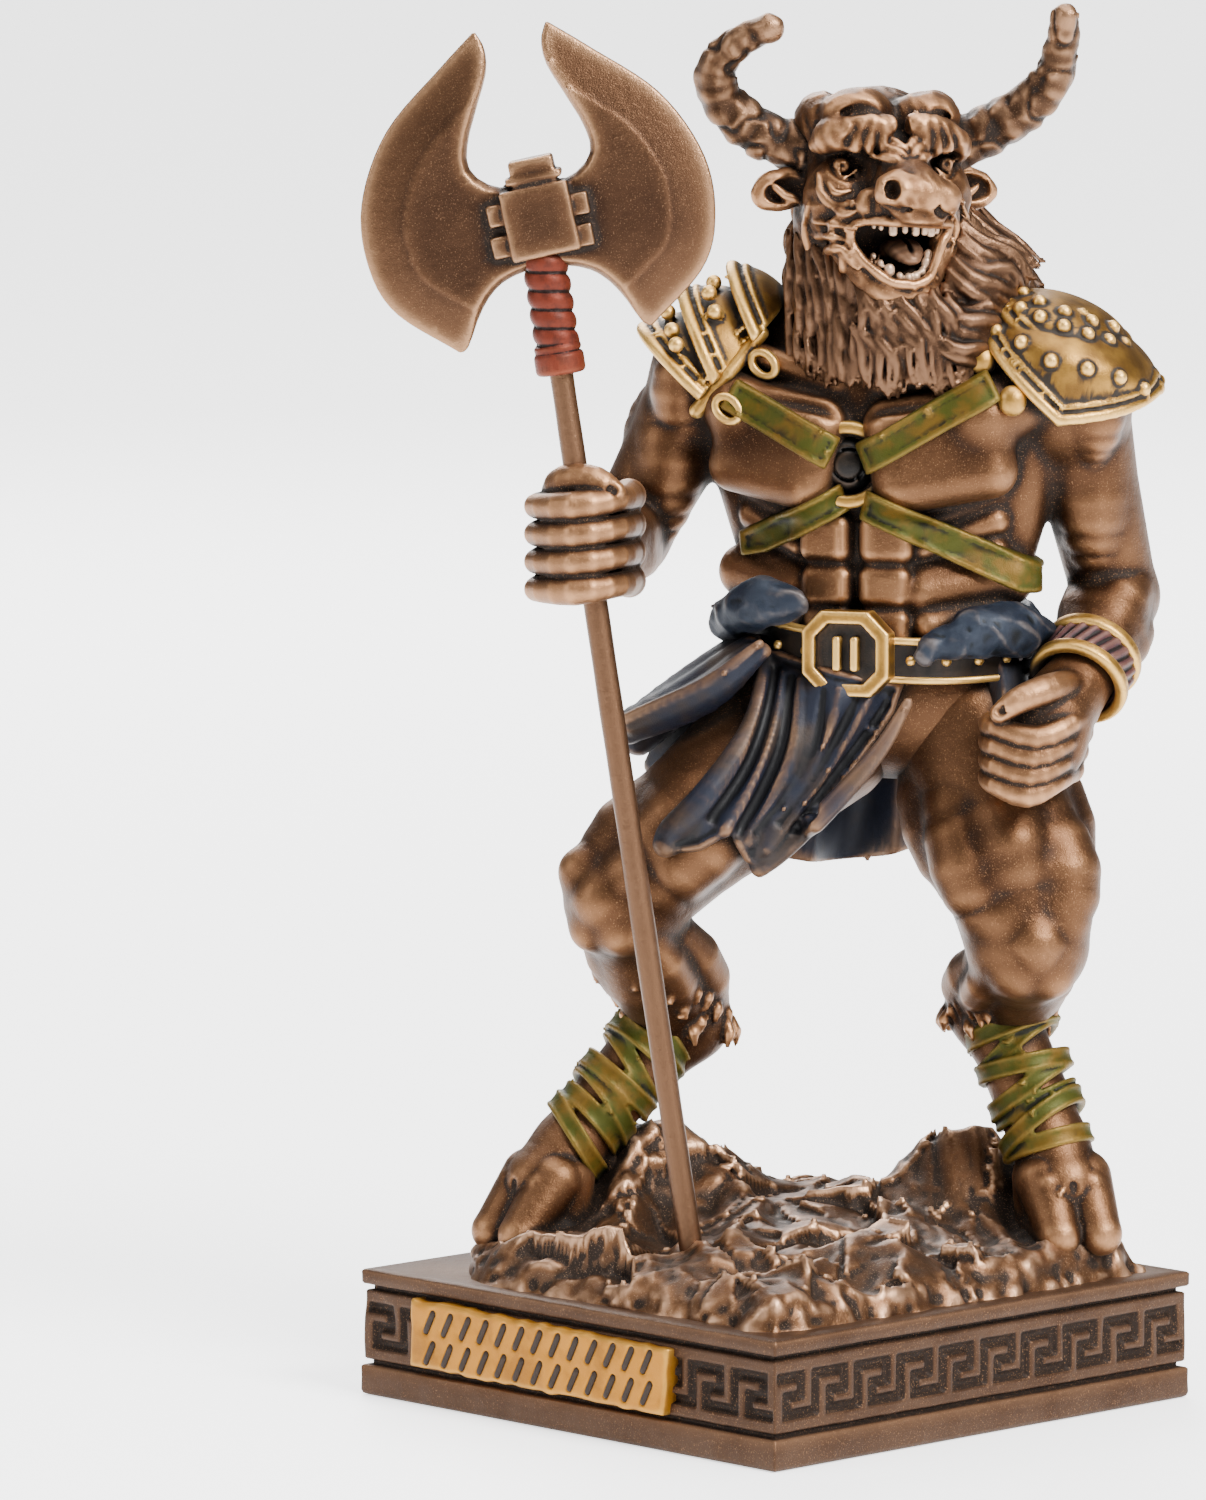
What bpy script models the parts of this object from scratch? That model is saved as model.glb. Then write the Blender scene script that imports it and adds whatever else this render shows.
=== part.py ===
"""A bull-headed warrior on a square plinth, cast in one with its rock, and the long axe that it holds.

The model is in metres, with +Z up and the origin at the centre of the plinth's underside. The plate
side of the plinth faces -Y. The warrior and the rock are carved in a frame of their own, in parts of
the figure's height: x runs to the figure's left, y to its back, z up, and z = GROUND is the plinth's
top. TURN sets that frame corner-wise on the plinth.
"""

import math

import bmesh
import bpy
import numpy as np
from mathutils import Matrix, Vector

# The plinth: a square block with a base, a band of key pattern between two grooves, and a rim.
PLINTH_SIDE = 0.040
BASE_HEIGHT = 0.0021
LOWER_GROOVE = 0.0004
BAND_HEIGHT = 0.0048
UPPER_GROOVE = 0.0004
RIM_HEIGHT = 0.0010
GROOVE_DEPTH = 0.0006
BAND_INSET = 0.0002
BASE_BEVEL = 0.0004

# The key pattern, sunk in the band: units side by side, each of six columns and five rows.
KEY_UNITS = 10
KEY_HEIGHT = 0.00305
KEY_DEPTH = 0.00035

# The name plate, a plain slab on the front of the band.
PLATE_LENGTH = 0.0252
PLATE_HEIGHT = 0.0050
PLATE_OFFSET = -0.0021
PLATE_PROUD = 0.0007
PLATE_TILT = 0.04

# The figure's height from the plinth's top to the horn's tip, and the rock's distance from the rim.
FIGURE_HEIGHT = 0.0866
ROCK_MARGIN = 0.0012

# The axe: a straight round shaft, a bound grip with a collar, and a double blade round a block.
SHAFT_DIAMETER = 0.0016
SHAFT_LENGTH = 0.0660
FIT_GAP = 0.0003
SOCKET_DEPTH = 0.0022
GRIP_LENGTH = 0.0046
GRIP_DIAMETER = 0.0029
COLLAR_LENGTH = 0.0015
COLLAR_DIAMETER = 0.0033
BLADE_WIDTH = 0.0236
BLADE_THICKNESS = 0.0017
BLADE_EDGE = 0.0006
BLOCK_SIDE = 0.0046
BLOCK_THICKNESS = 0.0034
BLADE_ABOVE = 0.0040
LUG = 0.0011
BEVEL_SHARE = 0.25
LEAST_BEVEL = 0.03
BEVEL_RISE = 0.6
GRIP_TURNS = 5
BAR_SIDES = 12

# The grip's turns and neck as shares of its radius, and the block's parts as shares of the block's.
GRIP_SWELL = 1.04
GRIP_DIP = 0.9
GRIP_NECK = 0.8
POLL_SHARE = 0.62
POLL_DEPTH = 0.9
LUG_DEPTH = 0.8
LUG_RISE = 0.75
LUG_LEVELS = (-0.55, 0.35)

PLINTH_HEIGHT = BASE_HEIGHT + LOWER_GROOVE + BAND_HEIGHT + UPPER_GROOVE + RIM_HEIGHT
PARTS_HIGH = 86.6
PART = FIGURE_HEIGHT / PARTS_HIGH
TURN = math.radians(45.0)
GROUND = 8.7

# The carving grid in parts, and the faces left on the figure when its skin is thinned.
CLAY_STEP = 0.4
FIGURE_FACES = 6600

# The middle of the shaft's foot and of its head end, in parts.
SHAFT_FOOT = np.array((-5.6, -10.0, 11.6))
SHAFT_HEAD = np.array((-14.6, -10.6, 72.6))

# The torso's own turn, with its middle line at TORSO_MIDDLE.
TORSO_TURN = math.radians(-18.0)
TORSO_MIDDLE = (7.2, 1.5)


def smooth_min(first, second, soft):
    """The lower of two distances, rounded where they meet."""
    share = np.clip(0.5 + 0.5 * (second - first) / soft, 0.0, 1.0)
    return second + (first - second) * share - soft * share * (1.0 - share)


def smooth_max(first, second, soft):
    """The higher of two distances, rounded where they meet."""
    return -smooth_min(-first, -second, soft)


class Clay:
    """A grid of points in space, each with its distance to the clay's surface, negative inside."""

    def __init__(self, low, high, step):
        self.low = np.array(low, dtype=float)
        self.step = step
        counts = [int(math.ceil((top - bottom) / step)) + 1 for bottom, top in zip(low, high)]
        self.field = np.full(counts, 50.0, dtype=np.float32)

    def window(self, low, high, margin):
        """The slices, and the open grid of points, of the box from low to high."""
        slices = []
        grids = []
        for axis in range(3):
            first = int((low[axis] - margin - self.low[axis]) / self.step)
            last = int((high[axis] + margin - self.low[axis]) / self.step) + 2
            first = min(max(first, 0), self.field.shape[axis])
            last = min(max(last, 0), self.field.shape[axis])
            slices.append(slice(first, last))
            line = self.low[axis] + self.step * np.arange(first, last)
            shape = [1, 1, 1]
            shape[axis] = -1
            grids.append(line.astype(np.float32).reshape(shape))
        return tuple(slices), grids

    def add(self, shape, soft=0.6):
        """Add a shape, which is a distance function and the box that holds it."""
        distance, low, high = shape
        slices, grids = self.window(low, high, soft + 2.0 * self.step)
        old = self.field[slices]
        if old.size:
            self.field[slices] = smooth_min(old, distance(*grids), soft)

    def soften(self):
        """Smooth the clay's finest creases."""
        for axis in range(3):
            beside = np.roll(self.field, 1, axis) + np.roll(self.field, -1, axis)
            self.field = 0.5 * self.field + 0.25 * beside

    def cut(self, shape, soft=0.3):
        """Cut a shape away."""
        distance, low, high = shape
        slices, grids = self.window(low, high, soft + 2.0 * self.step)
        old = self.field[slices]
        if old.size:
            self.field[slices] = -smooth_min(-old, distance(*grids), soft)


def limb(points, radii, flat=None, thin=1.0):
    """A round limb along some points, with a radius at each, thinner along one direction if asked."""
    points = np.array(points, dtype=float)
    reach = np.array(radii, dtype=float).reshape(-1, 1)
    low, high = (points - reach).min(axis=0), (points + reach).max(axis=0)
    side = None if flat is None else np.array(flat, dtype=float) / np.linalg.norm(flat)

    def distance(x, y, z):
        best = None
        for index in range(len(points) - 1):
            start = points[index]
            run = points[index + 1] - start
            dx, dy, dz = x - start[0], y - start[1], z - start[2]
            along = (dx * run[0] + dy * run[1] + dz * run[2]) / float(run @ run)
            along = np.clip(along, 0.0, 1.0)
            dx, dy, dz = dx - along * run[0], dy - along * run[1], dz - along * run[2]
            square = dx * dx + dy * dy + dz * dz
            if side is not None:
                across = dx * side[0] + dy * side[1] + dz * side[2]
                square = square + (1.0 / thin**2 - 1.0) * across * across
            found = np.sqrt(square) - (radii[index] + along * (radii[index + 1] - radii[index]))
            best = found if best is None else np.minimum(best, found)
        return best

    return distance, low, high


def turned(about_z=0.0, about_x=0.0, about_y=0.0):
    """A turn by three angles in degrees, as a matrix whose columns are the turned axes."""
    turn = Matrix.Rotation(math.radians(about_z), 3, "Z")
    turn = turn @ Matrix.Rotation(math.radians(about_x), 3, "X")
    turn = turn @ Matrix.Rotation(math.radians(about_y), 3, "Y")
    return np.array(turn)


def ball(centre, radii, turn=None):
    """An ellipsoid, turned if asked."""
    reach = max(radii)
    low, high = np.array(centre) - reach, np.array(centre) + reach
    axes = np.eye(3) if turn is None else turn

    def distance(x, y, z):
        dx, dy, dz = x - centre[0], y - centre[1], z - centre[2]
        near = 0.0
        slope = 1e-9
        for axis in range(3):
            part = dx * axes[0][axis] + dy * axes[1][axis] + dz * axes[2][axis]
            near = near + (part / radii[axis]) ** 2
            slope = slope + (part / radii[axis] ** 2) ** 2
        near = np.sqrt(near)
        return near * (near - 1.0) / np.sqrt(slope)

    return distance, low, high


def block(centre, half, turn=None, rounding=0.2):
    """A box with rounded edges, turned if asked."""
    reach = float(np.linalg.norm(half))
    low, high = np.array(centre) - reach, np.array(centre) + reach
    axes = np.eye(3) if turn is None else turn

    def distance(x, y, z):
        dx, dy, dz = x - centre[0], y - centre[1], z - centre[2]
        outside = 0.0
        inside = -99.0
        for axis in range(3):
            part = np.abs(dx * axes[0][axis] + dy * axes[1][axis] + dz * axes[2][axis])
            part = part - half[axis] + rounding
            outside = outside + np.maximum(part, 0.0) ** 2
            inside = np.maximum(inside, part)
        return np.sqrt(outside) + np.minimum(inside, 0.0) - rounding

    return distance, low, high


def curve(points, count):
    """Points spaced along a smooth curve through the given ones."""
    points = np.array(points, dtype=float)
    padded = np.vstack([2 * points[0] - points[1], points, 2 * points[-1] - points[-2]])
    spans = len(points) - 1
    result = []
    for step in range(count):
        place = step * spans / (count - 1)
        span = min(int(place), spans - 1)
        t = place - span
        a, b, c, d = padded[span : span + 4]
        bend = 2 * a - 5 * b + 4 * c - d
        lift = 3 * b - a - 3 * c + d
        result.append(0.5 * (2 * b + (c - a) * t + bend * t * t + lift * t**3))
    return np.array(result)


def minus(shape, other):
    """A shape with another one taken off."""
    distance, low, high = shape
    taken = other[0]
    return (lambda x, y, z: np.maximum(distance(x, y, z), -taken(x, y, z))), low, high


def shared(shape, other):
    """What two shapes share."""
    distance, low, high = shape
    kept = other[0]
    return (lambda x, y, z: np.maximum(distance(x, y, z), kept(x, y, z))), low, high


def region(corners):
    """The distance to a polygon seen from the front, negative inside, from its corners' x and z."""
    corners = np.array(corners, dtype=float)

    def distance(x, z):
        best = None
        inside = np.zeros(np.broadcast(x, z).shape, dtype=bool)
        for start, end in zip(corners, np.roll(corners, -1, axis=0)):
            run = end - start
            along = ((x - start[0]) * run[0] + (z - start[1]) * run[1]) / float(run @ run)
            along = np.clip(along, 0.0, 1.0)
            found = np.hypot(x - start[0] - along * run[0], z - start[1] - along * run[1])
            best = found if best is None else np.minimum(best, found)
            if run[1]:
                side = (z - start[1]) * (run[0] / run[1]) + start[0]
                inside ^= ((z > start[1]) != (z > end[1])) & (x < side)
        return np.where(inside, -best, best)

    return distance


def torso(across, back, up):
    """A place in the figure's frame from one in the torso's own."""
    cos, sin = math.cos(TORSO_TURN), math.sin(TORSO_TURN)
    x = TORSO_MIDDLE[0] + cos * across - sin * back
    y = TORSO_MIDDLE[1] + sin * across + cos * back
    return (x, y, up)


def torso_turned(about_z=0.0, about_x=0.0, about_y=0.0):
    """A turn in the torso's own frame."""
    return turned(about_z=math.degrees(TORSO_TURN)) @ turned(about_z, about_x, about_y)


def carve_torso(clay):
    """The chest, back, belly and hips, with the muscles of the chest and belly."""
    turn = torso_turned()
    clay.add(ball(torso(0, 0.8, 66.0), (11.4, 7.0, 8.2), turn), 1.0)
    clay.add(ball(torso(0, 0.4, 57.5), (9.4, 6.2, 8.5), turn), 2.0)
    clay.add(ball(torso(0.6, 0.8, 48.5), (9.8, 6.8, 6.2), turn), 2.0)
    yoke = [torso(-10.5, 1.5, 70.5), torso(0, 1.4, 73.0), torso(10.5, 1.5, 70.5)]
    clay.add(limb(yoke, (3.4, 4.6, 3.4)), 2.5)
    for side in (-1, 1):
        tilt = torso_turned(about_z=16 * side, about_y=-14 * side)
        clay.add(ball(torso(5.4 * side, -4.4, 65.4), (5.6, 3.6, 4.1), tilt), 0.35)
        clay.add(limb([torso(9.6 * side, 0.4, 67), torso(8.0 * side, 0.6, 57)], (3.6, 2.2)), 1.2)
        clay.add(ball(torso(1.9 * side, -5.2, 59.3), (2.0, 1.5, 1.75), turn), 0.35)
        clay.add(ball(torso(1.8 * side, -5.2, 56.2), (1.9, 1.4, 1.5), turn), 0.35)
        for rib in range(3):
            start = torso(4.4 * side, -4.6, 58.8 - 2.0 * rib)
            end = torso(8.0 * side, -2.2, 61.0 - 2.2 * rib)
            clay.add(limb([start, end], (0.9, 1.2)), 0.5)
        clay.add(ball(torso(4.4 * side, 5.0, 66.5), (4.6, 2.8, 6.4), tilt), 0.8)
    clay.cut(limb([torso(0, 8.4, 71), torso(0, 7.6, 58)], (0.7, 0.6)), 1.0)


def carve_leg(clay, points, radii, knee_turn):
    """One leg, from hip to fetlock, with its knee, calf and thigh muscles."""
    hip, mid, knee, shin, hock, ankle, fetlock = (np.array(point) for point in points)
    clay.add(limb([hip, mid, knee], radii[:3]), 1.5)
    clay.add(limb([knee, shin, hock], (radii[2] - 0.4, radii[3], radii[4])), 0.8)
    clay.add(limb([hock, ankle, fetlock], radii[4:7]), 0.8)
    clay.add(ball(knee + (0, -1.0, 0.4), (3.2, 3.4, 3.3), turned(about_z=knee_turn)), 0.6)
    for side in (-1, 1):
        high = 0.75 * hip + 0.25 * mid + (3.0 * side, -3.2, 0)
        low = 0.45 * mid + 0.55 * knee + (2.3 * side, -2.4, 0.6)
        clay.add(limb([high, 0.5 * (high + low), low], (1.8, 2.9, 1.5)), 0.7)


def carve_hoof(clay, fetlock, toe, facing):
    """A cloven hoof: two claws side by side under a pastern, pointed to the given angle."""
    fetlock, toe = np.array(fetlock), np.array(toe)
    forward = np.array((math.sin(facing), -math.cos(facing), 0.0))
    across = np.array((math.cos(facing), math.sin(facing), 0.0))
    top = 0.5 * (fetlock + toe) + (0, 0, 0.8)
    clay.add(limb([fetlock, top], (2.3, 2.5)), 0.8)
    clay.add(limb([top - across * 1.1 + (0, 0, 0.5), top + across * 1.1 + (0, 0, 0.5)], (2.0, 2.0)), 0.3)
    for side in (-1, 1):
        crown = top + across * 1.25 * side
        tip = toe + across * 1.35 * side + forward * 0.4 + (0, 0, 1.1)
        heel = toe + across * 1.6 * side - forward * 2.8 + (0, 0, 1.1)
        clay.add(limb([crown, tip], (1.75, 1.3)), 0.12)
        clay.add(limb([crown, heel], (1.75, 1.45)), 0.2)
        clay.add(limb([tip, heel], (1.3, 1.45)), 0.2)


def carve_legs(clay):
    """Both legs and hooves."""
    right_leg = (
        (2.4, 1.0, 46.0), (-4.8, -1.6, 40.2), (-10.4, -2.9, 34.6), (-8.6, 1.0, 29.8),
        (-6.2, 5.0, 25.4), (-9.4, 3.8, 22.4), (-14.2, 2.0, 16.8),
    )
    carve_leg(clay, right_leg, (6.2, 5.2, 4.3, 3.9, 3.1, 2.7, 2.3), -30)
    left_leg = (
        (13.2, 0.5, 46.5), (15.4, -1.8, 38.8), (17.0, -3.6, 31.8), (16.4, 0.8, 29.0),
        (14.8, 3.4, 26.4), (16.3, 2.2, 23.4), (18.8, 0.2, 17.2),
    )
    carve_leg(clay, left_leg, (5.8, 5.2, 4.5, 4.0, 3.0, 2.6, 2.6), 10)
    carve_hoof(clay, right_leg[-1], (-17.4, -0.4, 10.4), math.radians(-50))
    carve_hoof(clay, left_leg[-1], (20.6, -2.6, 10.9), math.radians(14))


def carve_wrap(clay, start, end, radii, turns, lean):
    """Bands of cloth bound round a shin, each a leaning ring."""
    start, end = np.array(start), np.array(end)
    axis = (end - start) / np.linalg.norm(end - start)
    side = np.cross(axis, (0.0, 1.0, 0.0))
    side = side / np.linalg.norm(side)
    front = np.cross(axis, side)
    for turn in range(turns):
        share = (turn + 0.5) / turns
        middle = start + (end - start) * share
        radius = radii[0] + (radii[1] - radii[0]) * share
        ring = []
        for step in range(13):
            angle = 2 * math.pi * step / 12
            slope = lean[turn % len(lean)] * math.cos(angle)
            ring.append(middle + radius * (side * math.cos(angle) + front * math.sin(angle)) + axis * slope)
        clay.add(limb(ring, [0.75] * len(ring)), 0.15)


def carve_wraps(clay):
    """The bindings on both shins."""
    carve_wrap(clay, (-7.9, 4.2, 24.2), (-13.6, 2.2, 17.4), (2.6, 2.3), 6, (0.7, 0.3, 0.9))
    carve_wrap(clay, (15.6, 2.9, 26.2), (18.6, 0.4, 17.6), (2.9, 2.5), 7, (-0.8, -0.3, -1.1))


def carve_arm(clay, points, radii):
    """An arm from shoulder to wrist, with its deltoid, biceps and forearm swells."""
    shoulder, elbow, wrist = (np.array(point) for point in points)
    clay.add(limb([shoulder, 0.5 * (shoulder + elbow), elbow], (radii[0], radii[1], radii[2])), 1.0)
    clay.add(limb([elbow, 0.6 * elbow + 0.4 * wrist, wrist], (radii[2], radii[3], radii[4])), 0.7)
    clay.add(ball(shoulder + (0, -0.4, -1.0), (4.3, 4.0, 4.9)), 0.6)
    biceps = 0.45 * shoulder + 0.55 * elbow
    clay.add(ball(biceps + (0, -1.4, 0.2), (2.8, 2.4, 4.0)), 0.5)
    clay.add(ball(biceps + (0, 1.6, 0.6), (2.7, 2.3, 4.4)), 0.5)


def carve_fist(clay, centre, turn, size, thumb_side):
    """A closed fist: the back of the hand, four curled fingers and the thumb across them."""
    centre = np.array(centre)

    def at(x, y, z):
        return centre + turn @ (np.array((x, y, z)) * size)

    clay.add(block(at(0, 0.6, 0), np.array((2.7, 1.9, 3.5)) * size, turn, 1.2 * size), 0.4)
    for finger in range(4):
        height = 2.75 - 1.85 * finger
        width = (1.05, 1.1, 1.05, 0.9)[finger] * size
        knuckle = at(-2.4 * thumb_side, 0.2, height)
        middle = at(-2.3 * thumb_side, -1.6, height)
        far = at(1.9 * thumb_side, -2.0, height - 0.1)
        tuck = at(2.4 * thumb_side, -0.2, height - 0.1)
        clay.add(limb([knuckle, middle, far, tuck], [width] * 4), 0.12)
    thumb = [at(2.6 * thumb_side, 0.9, 1.4), at(2.5 * thumb_side, -1.0, 3.3), at(1.6 * thumb_side, -2.3, 4.0)]
    clay.add(limb(thumb, (1.2 * size, 1.1 * size, 1.0 * size)), 0.15)


def carve_arms(clay):
    """Both arms and fists, one round the shaft and one closed at the hip."""
    carve_arm(clay, ((-4.0, 4.6, 70.4), (-10.2, 5.4, 58.6), (-12.6, -5.2, 58.4)), (4.2, 3.5, 3.1, 3.3, 2.3))
    carve_arm(clay, ((19.4, -1.6, 70.0), (23.0, 2.6, 54.8), (20.6, -4.4, 50.0)), (4.2, 3.5, 3.1, 3.2, 2.3))
    lean = turned(about_z=4, about_y=-8)
    carve_fist(clay, (-12.7, -9.9, 59.2), lean, 1.0, 1)
    carve_fist(clay, (17.6, -7.4, 46.9), turned(about_z=10, about_x=20, about_y=38), 0.98, 1)


def carve_ring(clay, centre, axis, radius, thickness, wide=1.0):
    """A ring round an axis."""
    axis = np.array(axis, dtype=float) / np.linalg.norm(axis)
    side = np.cross(axis, (0.0, 0.3, 1.0))
    side = side / np.linalg.norm(side)
    front = np.cross(axis, side)
    ring = []
    for step in range(17):
        angle = 2 * math.pi * step / 16
        ring.append(np.array(centre) + radius * (side * math.cos(angle) + front * math.sin(angle) * wide))
    clay.add(limb(ring, [thickness] * len(ring)), 0.1)


def carve_bracelets(clay):
    """A ring on one wrist and a laced pair on the other."""
    carve_ring(clay, (-12.6, -6.2, 58.5), (0.1, 1.0, 0.1), 3.0, 0.5)
    carve_ring(clay, (21.2, -2.6, 51.2), (0.35, 0.75, 0.55), 3.2, 0.6)
    carve_ring(clay, (20.3, -4.8, 49.5), (0.35, 0.75, 0.55), 3.0, 0.6)
    carve_ring(clay, (20.8, -3.7, 50.3), (0.35, 0.75, 0.55), 2.7, 0.8)


def carve_head(clay):
    """The bull's head, open mouthed and turned to the figure's left, with its brow, muzzle and ears."""
    turn = turned(about_z=17, about_x=3)
    skull = np.array((6.7, -0.4, 83.6))

    def at(x, y, z):
        return skull + turn @ np.array((x, y, z), dtype=float)

    clay.add(limb([(6.6, 2.4, 71.0), (6.6, 1.0, 79.5)], (6.2, 5.2)), 1.5)
    clay.add(ball(at(0, 0, 0.4), (5.1, 5.0, 4.8), turn), 1.0)
    clay.add(limb([at(0, -2.2, 0.2), at(0, -7.4, -1.0)], (3.9, 2.3), turn @ (0, 0, 1), 0.85), 0.8)
    clay.add(limb([at(-1.2, -8.3, -0.9), at(1.2, -8.3, -0.9)], (1.55, 1.55)), 0.4)
    clay.add(limb([at(0, -0.5, -4.2), at(0, -5.6, -6.2)], (4.3, 2.3)), 0.8)
    for side in (-1, 1):
        clay.add(limb([at(3.4 * side, -1.6, -1.6), at(2.2 * side, -5.2, -2.4)], (1.9, 1.3)), 0.5)
    clay.cut(ball(at(0.0, -7.6, -4.2), (2.3, 4.4, 1.75), turn), 0.2)
    lips = []
    for step in range(17):
        angle = 2 * math.pi * step / 16
        back = 0.6 * abs(math.sin(angle))
        lips.append(at(2.55 * math.sin(angle), -7.7 + 1.4 * back, -4.2 + 2.05 * math.cos(angle)))
    clay.add(limb(lips, [0.5] * 17), 0.25)
    for side in (-1, 1):
        clay.add(ball(at(2.1 * side, -1.8, 3.5), (2.3, 2.4, 1.9), turn), 0.2)
        clay.add(limb([at(0.9 * side, -5.1, 1.6), at(3.8 * side, -3.6, 2.3)], (0.8, 1.15)), 0.2)
        clay.cut(ball(at(2.9 * side, -4.7, 0.4), (1.2, 1.1, 0.75), turn), 0.2)
        clay.add(ball(at(2.9 * side, -3.9, 0.4), (0.75, 0.75, 0.6), turn), 0.1)
        clay.cut(ball(at(1.5 * side, -9.7, -0.8), (0.45, 0.8, 0.55), turn), 0.15)
        root = at(4.4 * side, 0.4, -0.6)
        tip = at(8.2 * side, 0.4, -0.4)
        clay.add(limb([root, 0.5 * (root + tip), tip], (1.0, 1.7, 0.6), (0.0, 1.0, 0.2), 0.55), 0.3)
        inner = [0.6 * root + 0.4 * tip + (0, -0.95, 0), 0.2 * root + 0.8 * tip + (0, -0.7, 0)]
        clay.cut(limb(inner, (0.75, 0.35)), 0.2)
    for tooth in range(5):
        clay.add(ball(at(-1.6 + 0.8 * tooth, -7.6, -2.6), (0.36, 0.4, 0.6), turn), 0.05)
        clay.add(ball(at(-1.4 + 0.7 * tooth, -7.2, -5.8), (0.33, 0.4, 0.55), turn), 0.05)
    clay.add(limb([at(0, -3.5, -5.4), at(0, -6.2, -5.0)], (1.2, 0.8)), 0.1)


def carve_horns(clay):
    """The two ringed horns."""
    right_horn = (
        (3.2, -0.8, 85.2), (1.0, -0.8, 85.6), (-1.6, -1.2, 86.8), (-3.6, -1.8, 88.7),
        (-4.0, -2.6, 90.8), (-2.4, -3.6, 92.3), (-0.1, -4.6, 93.5),
    )
    left_horn = (
        (9.6, -0.6, 84.8), (11.9, -0.6, 85.3), (14.4, -1.0, 86.6), (16.6, -1.6, 88.0),
        (18.0, -2.4, 90.0), (18.7, -3.2, 92.4), (19.1, -4.2, 94.2),
    )
    for places in (right_horn, left_horn):
        spine = curve(places, 26)
        radii = [1.75 - 0.95 * (step / 25) ** 1.6 for step in range(26)]
        radii = [radius * (1.0 + 0.07 * (step % 2)) for step, radius in enumerate(radii)]
        clay.add(limb(spine, radii), 0.3)


def carve_mane(clay):
    """The beard and mane: tapered locks that fall from the jaw and neck and sweep to one side."""
    draw = np.random.default_rng(7)
    for row in range(7):
        count = 11
        for lock in range(count):
            share = (lock + 0.5 * (row % 2)) / (count - 1)
            angle = math.radians(-118 + 240 * share)
            height = 80.0 - 1.75 * row
            radius = 5.2 + 0.42 * row
            x = 6.8 + (radius + 0.4) * math.sin(angle)
            y = 0.4 - radius * math.cos(angle)
            sway = 0.2 + 2.4 * max(0.0, math.sin(angle)) + draw.uniform(-0.5, 0.5)
            fall = 3.6 + draw.uniform(-0.6, 0.6)
            bend = draw.uniform(-0.5, 0.5)
            places = [(x, y, height), (x + 0.4 * sway + bend, y - 0.3, height - 0.5 * fall)]
            places.append((x + sway, y - 0.2, height - fall))
            clay.add(limb(curve(places, 5), (0.7, 0.85, 0.8, 0.6, 0.25)), 0.12)


def carve_plate(clay, centre, turn, radii, level, point, rim):
    """A curved shoulder plate: a cap cut off at a level that drops to a point, with a rolled rim."""
    centre = np.array(centre, dtype=float)

    def edge(angle):
        return level - point * np.maximum(0.0, 1.0 - np.abs(np.sin(0.5 * angle)) * 2.2)

    def below(x, y, z):
        dx, dy, dz = x - centre[0], y - centre[1], z - centre[2]
        local = [dx * turn[0][axis] + dy * turn[1][axis] + dz * turn[2][axis] for axis in range(3)]
        return local[2] - edge(np.arctan2(local[0], -local[1]))

    shape = ball(centre, radii, turn)
    clay.add(minus(shape, (below, None, None)), 0.15)
    ring = []
    for step in range(25):
        angle = 2 * math.pi * step / 24
        drop = float(edge(angle if angle < math.pi else angle - 2 * math.pi))
        size = math.sqrt(max(0.05, 1.0 - (drop / radii[2]) ** 2))
        place = (radii[0] * size * math.sin(angle), -radii[1] * size * math.cos(angle), drop)
        ring.append(centre + turn @ np.array(place))
    clay.add(limb(ring, [rim] * len(ring)), 0.12)


def carve_pauldrons(clay):
    """The shoulder plates: lapped curved plates with rolled rims and studs."""
    left = turned(about_z=-14) @ turned(about_y=-38)
    carve_plate(clay, (19.6, -1.4, 69.4), left, (6.3, 6.4, 5.8), -0.2, 2.6, 0.55)
    carve_plate(clay, (18.6, -1.2, 70.6), left, (5.9, 6.2, 5.6), 0.8, 1.8, 0.5)
    right = turned(about_z=-20) @ turned(about_y=50)
    carve_plate(clay, (-5.2, 4.6, 69.6), right, (5.5, 5.6, 5.4), -1.4, 1.0, 0.55)
    carve_plate(clay, (-4.4, 4.6, 70.4), right, (5.5, 5.7, 5.4), 1.0, 1.0, 0.55)
    carve_plate(clay, (-3.2, 4.4, 71.2), right, (5.0, 5.4, 5.0), 3.4, 0.6, 0.55)


def carve_straps(clay):
    """The crossed straps and the ring at their crossing."""
    crossing = np.array(torso(0.2, -8.3, 64.2))
    ends = ((-8.6, -4.6, 69.6), (9.4, -4.6, 70.2), (-8.2, -4.0, 59.8), (10.2, -2.2, 57.6))
    for across, back, up in ends:
        end = np.array(torso(across, back, up))
        middle = 0.5 * (crossing + end) + 1.0 * np.array(torso_front())
        clay.add(limb([crossing, middle, end], (1.0, 1.0, 1.0), torso_front(), 0.6), 0.1)
    clay.add(limb([torso(0.2, -7.6, 64.2), torso(0.2, -8.8, 64.2)], (1.9, 1.9)), 0.1)


def torso_front():
    """The direction in which the torso faces."""
    return (math.sin(TORSO_TURN), -math.cos(TORSO_TURN), 0.0)


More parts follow.
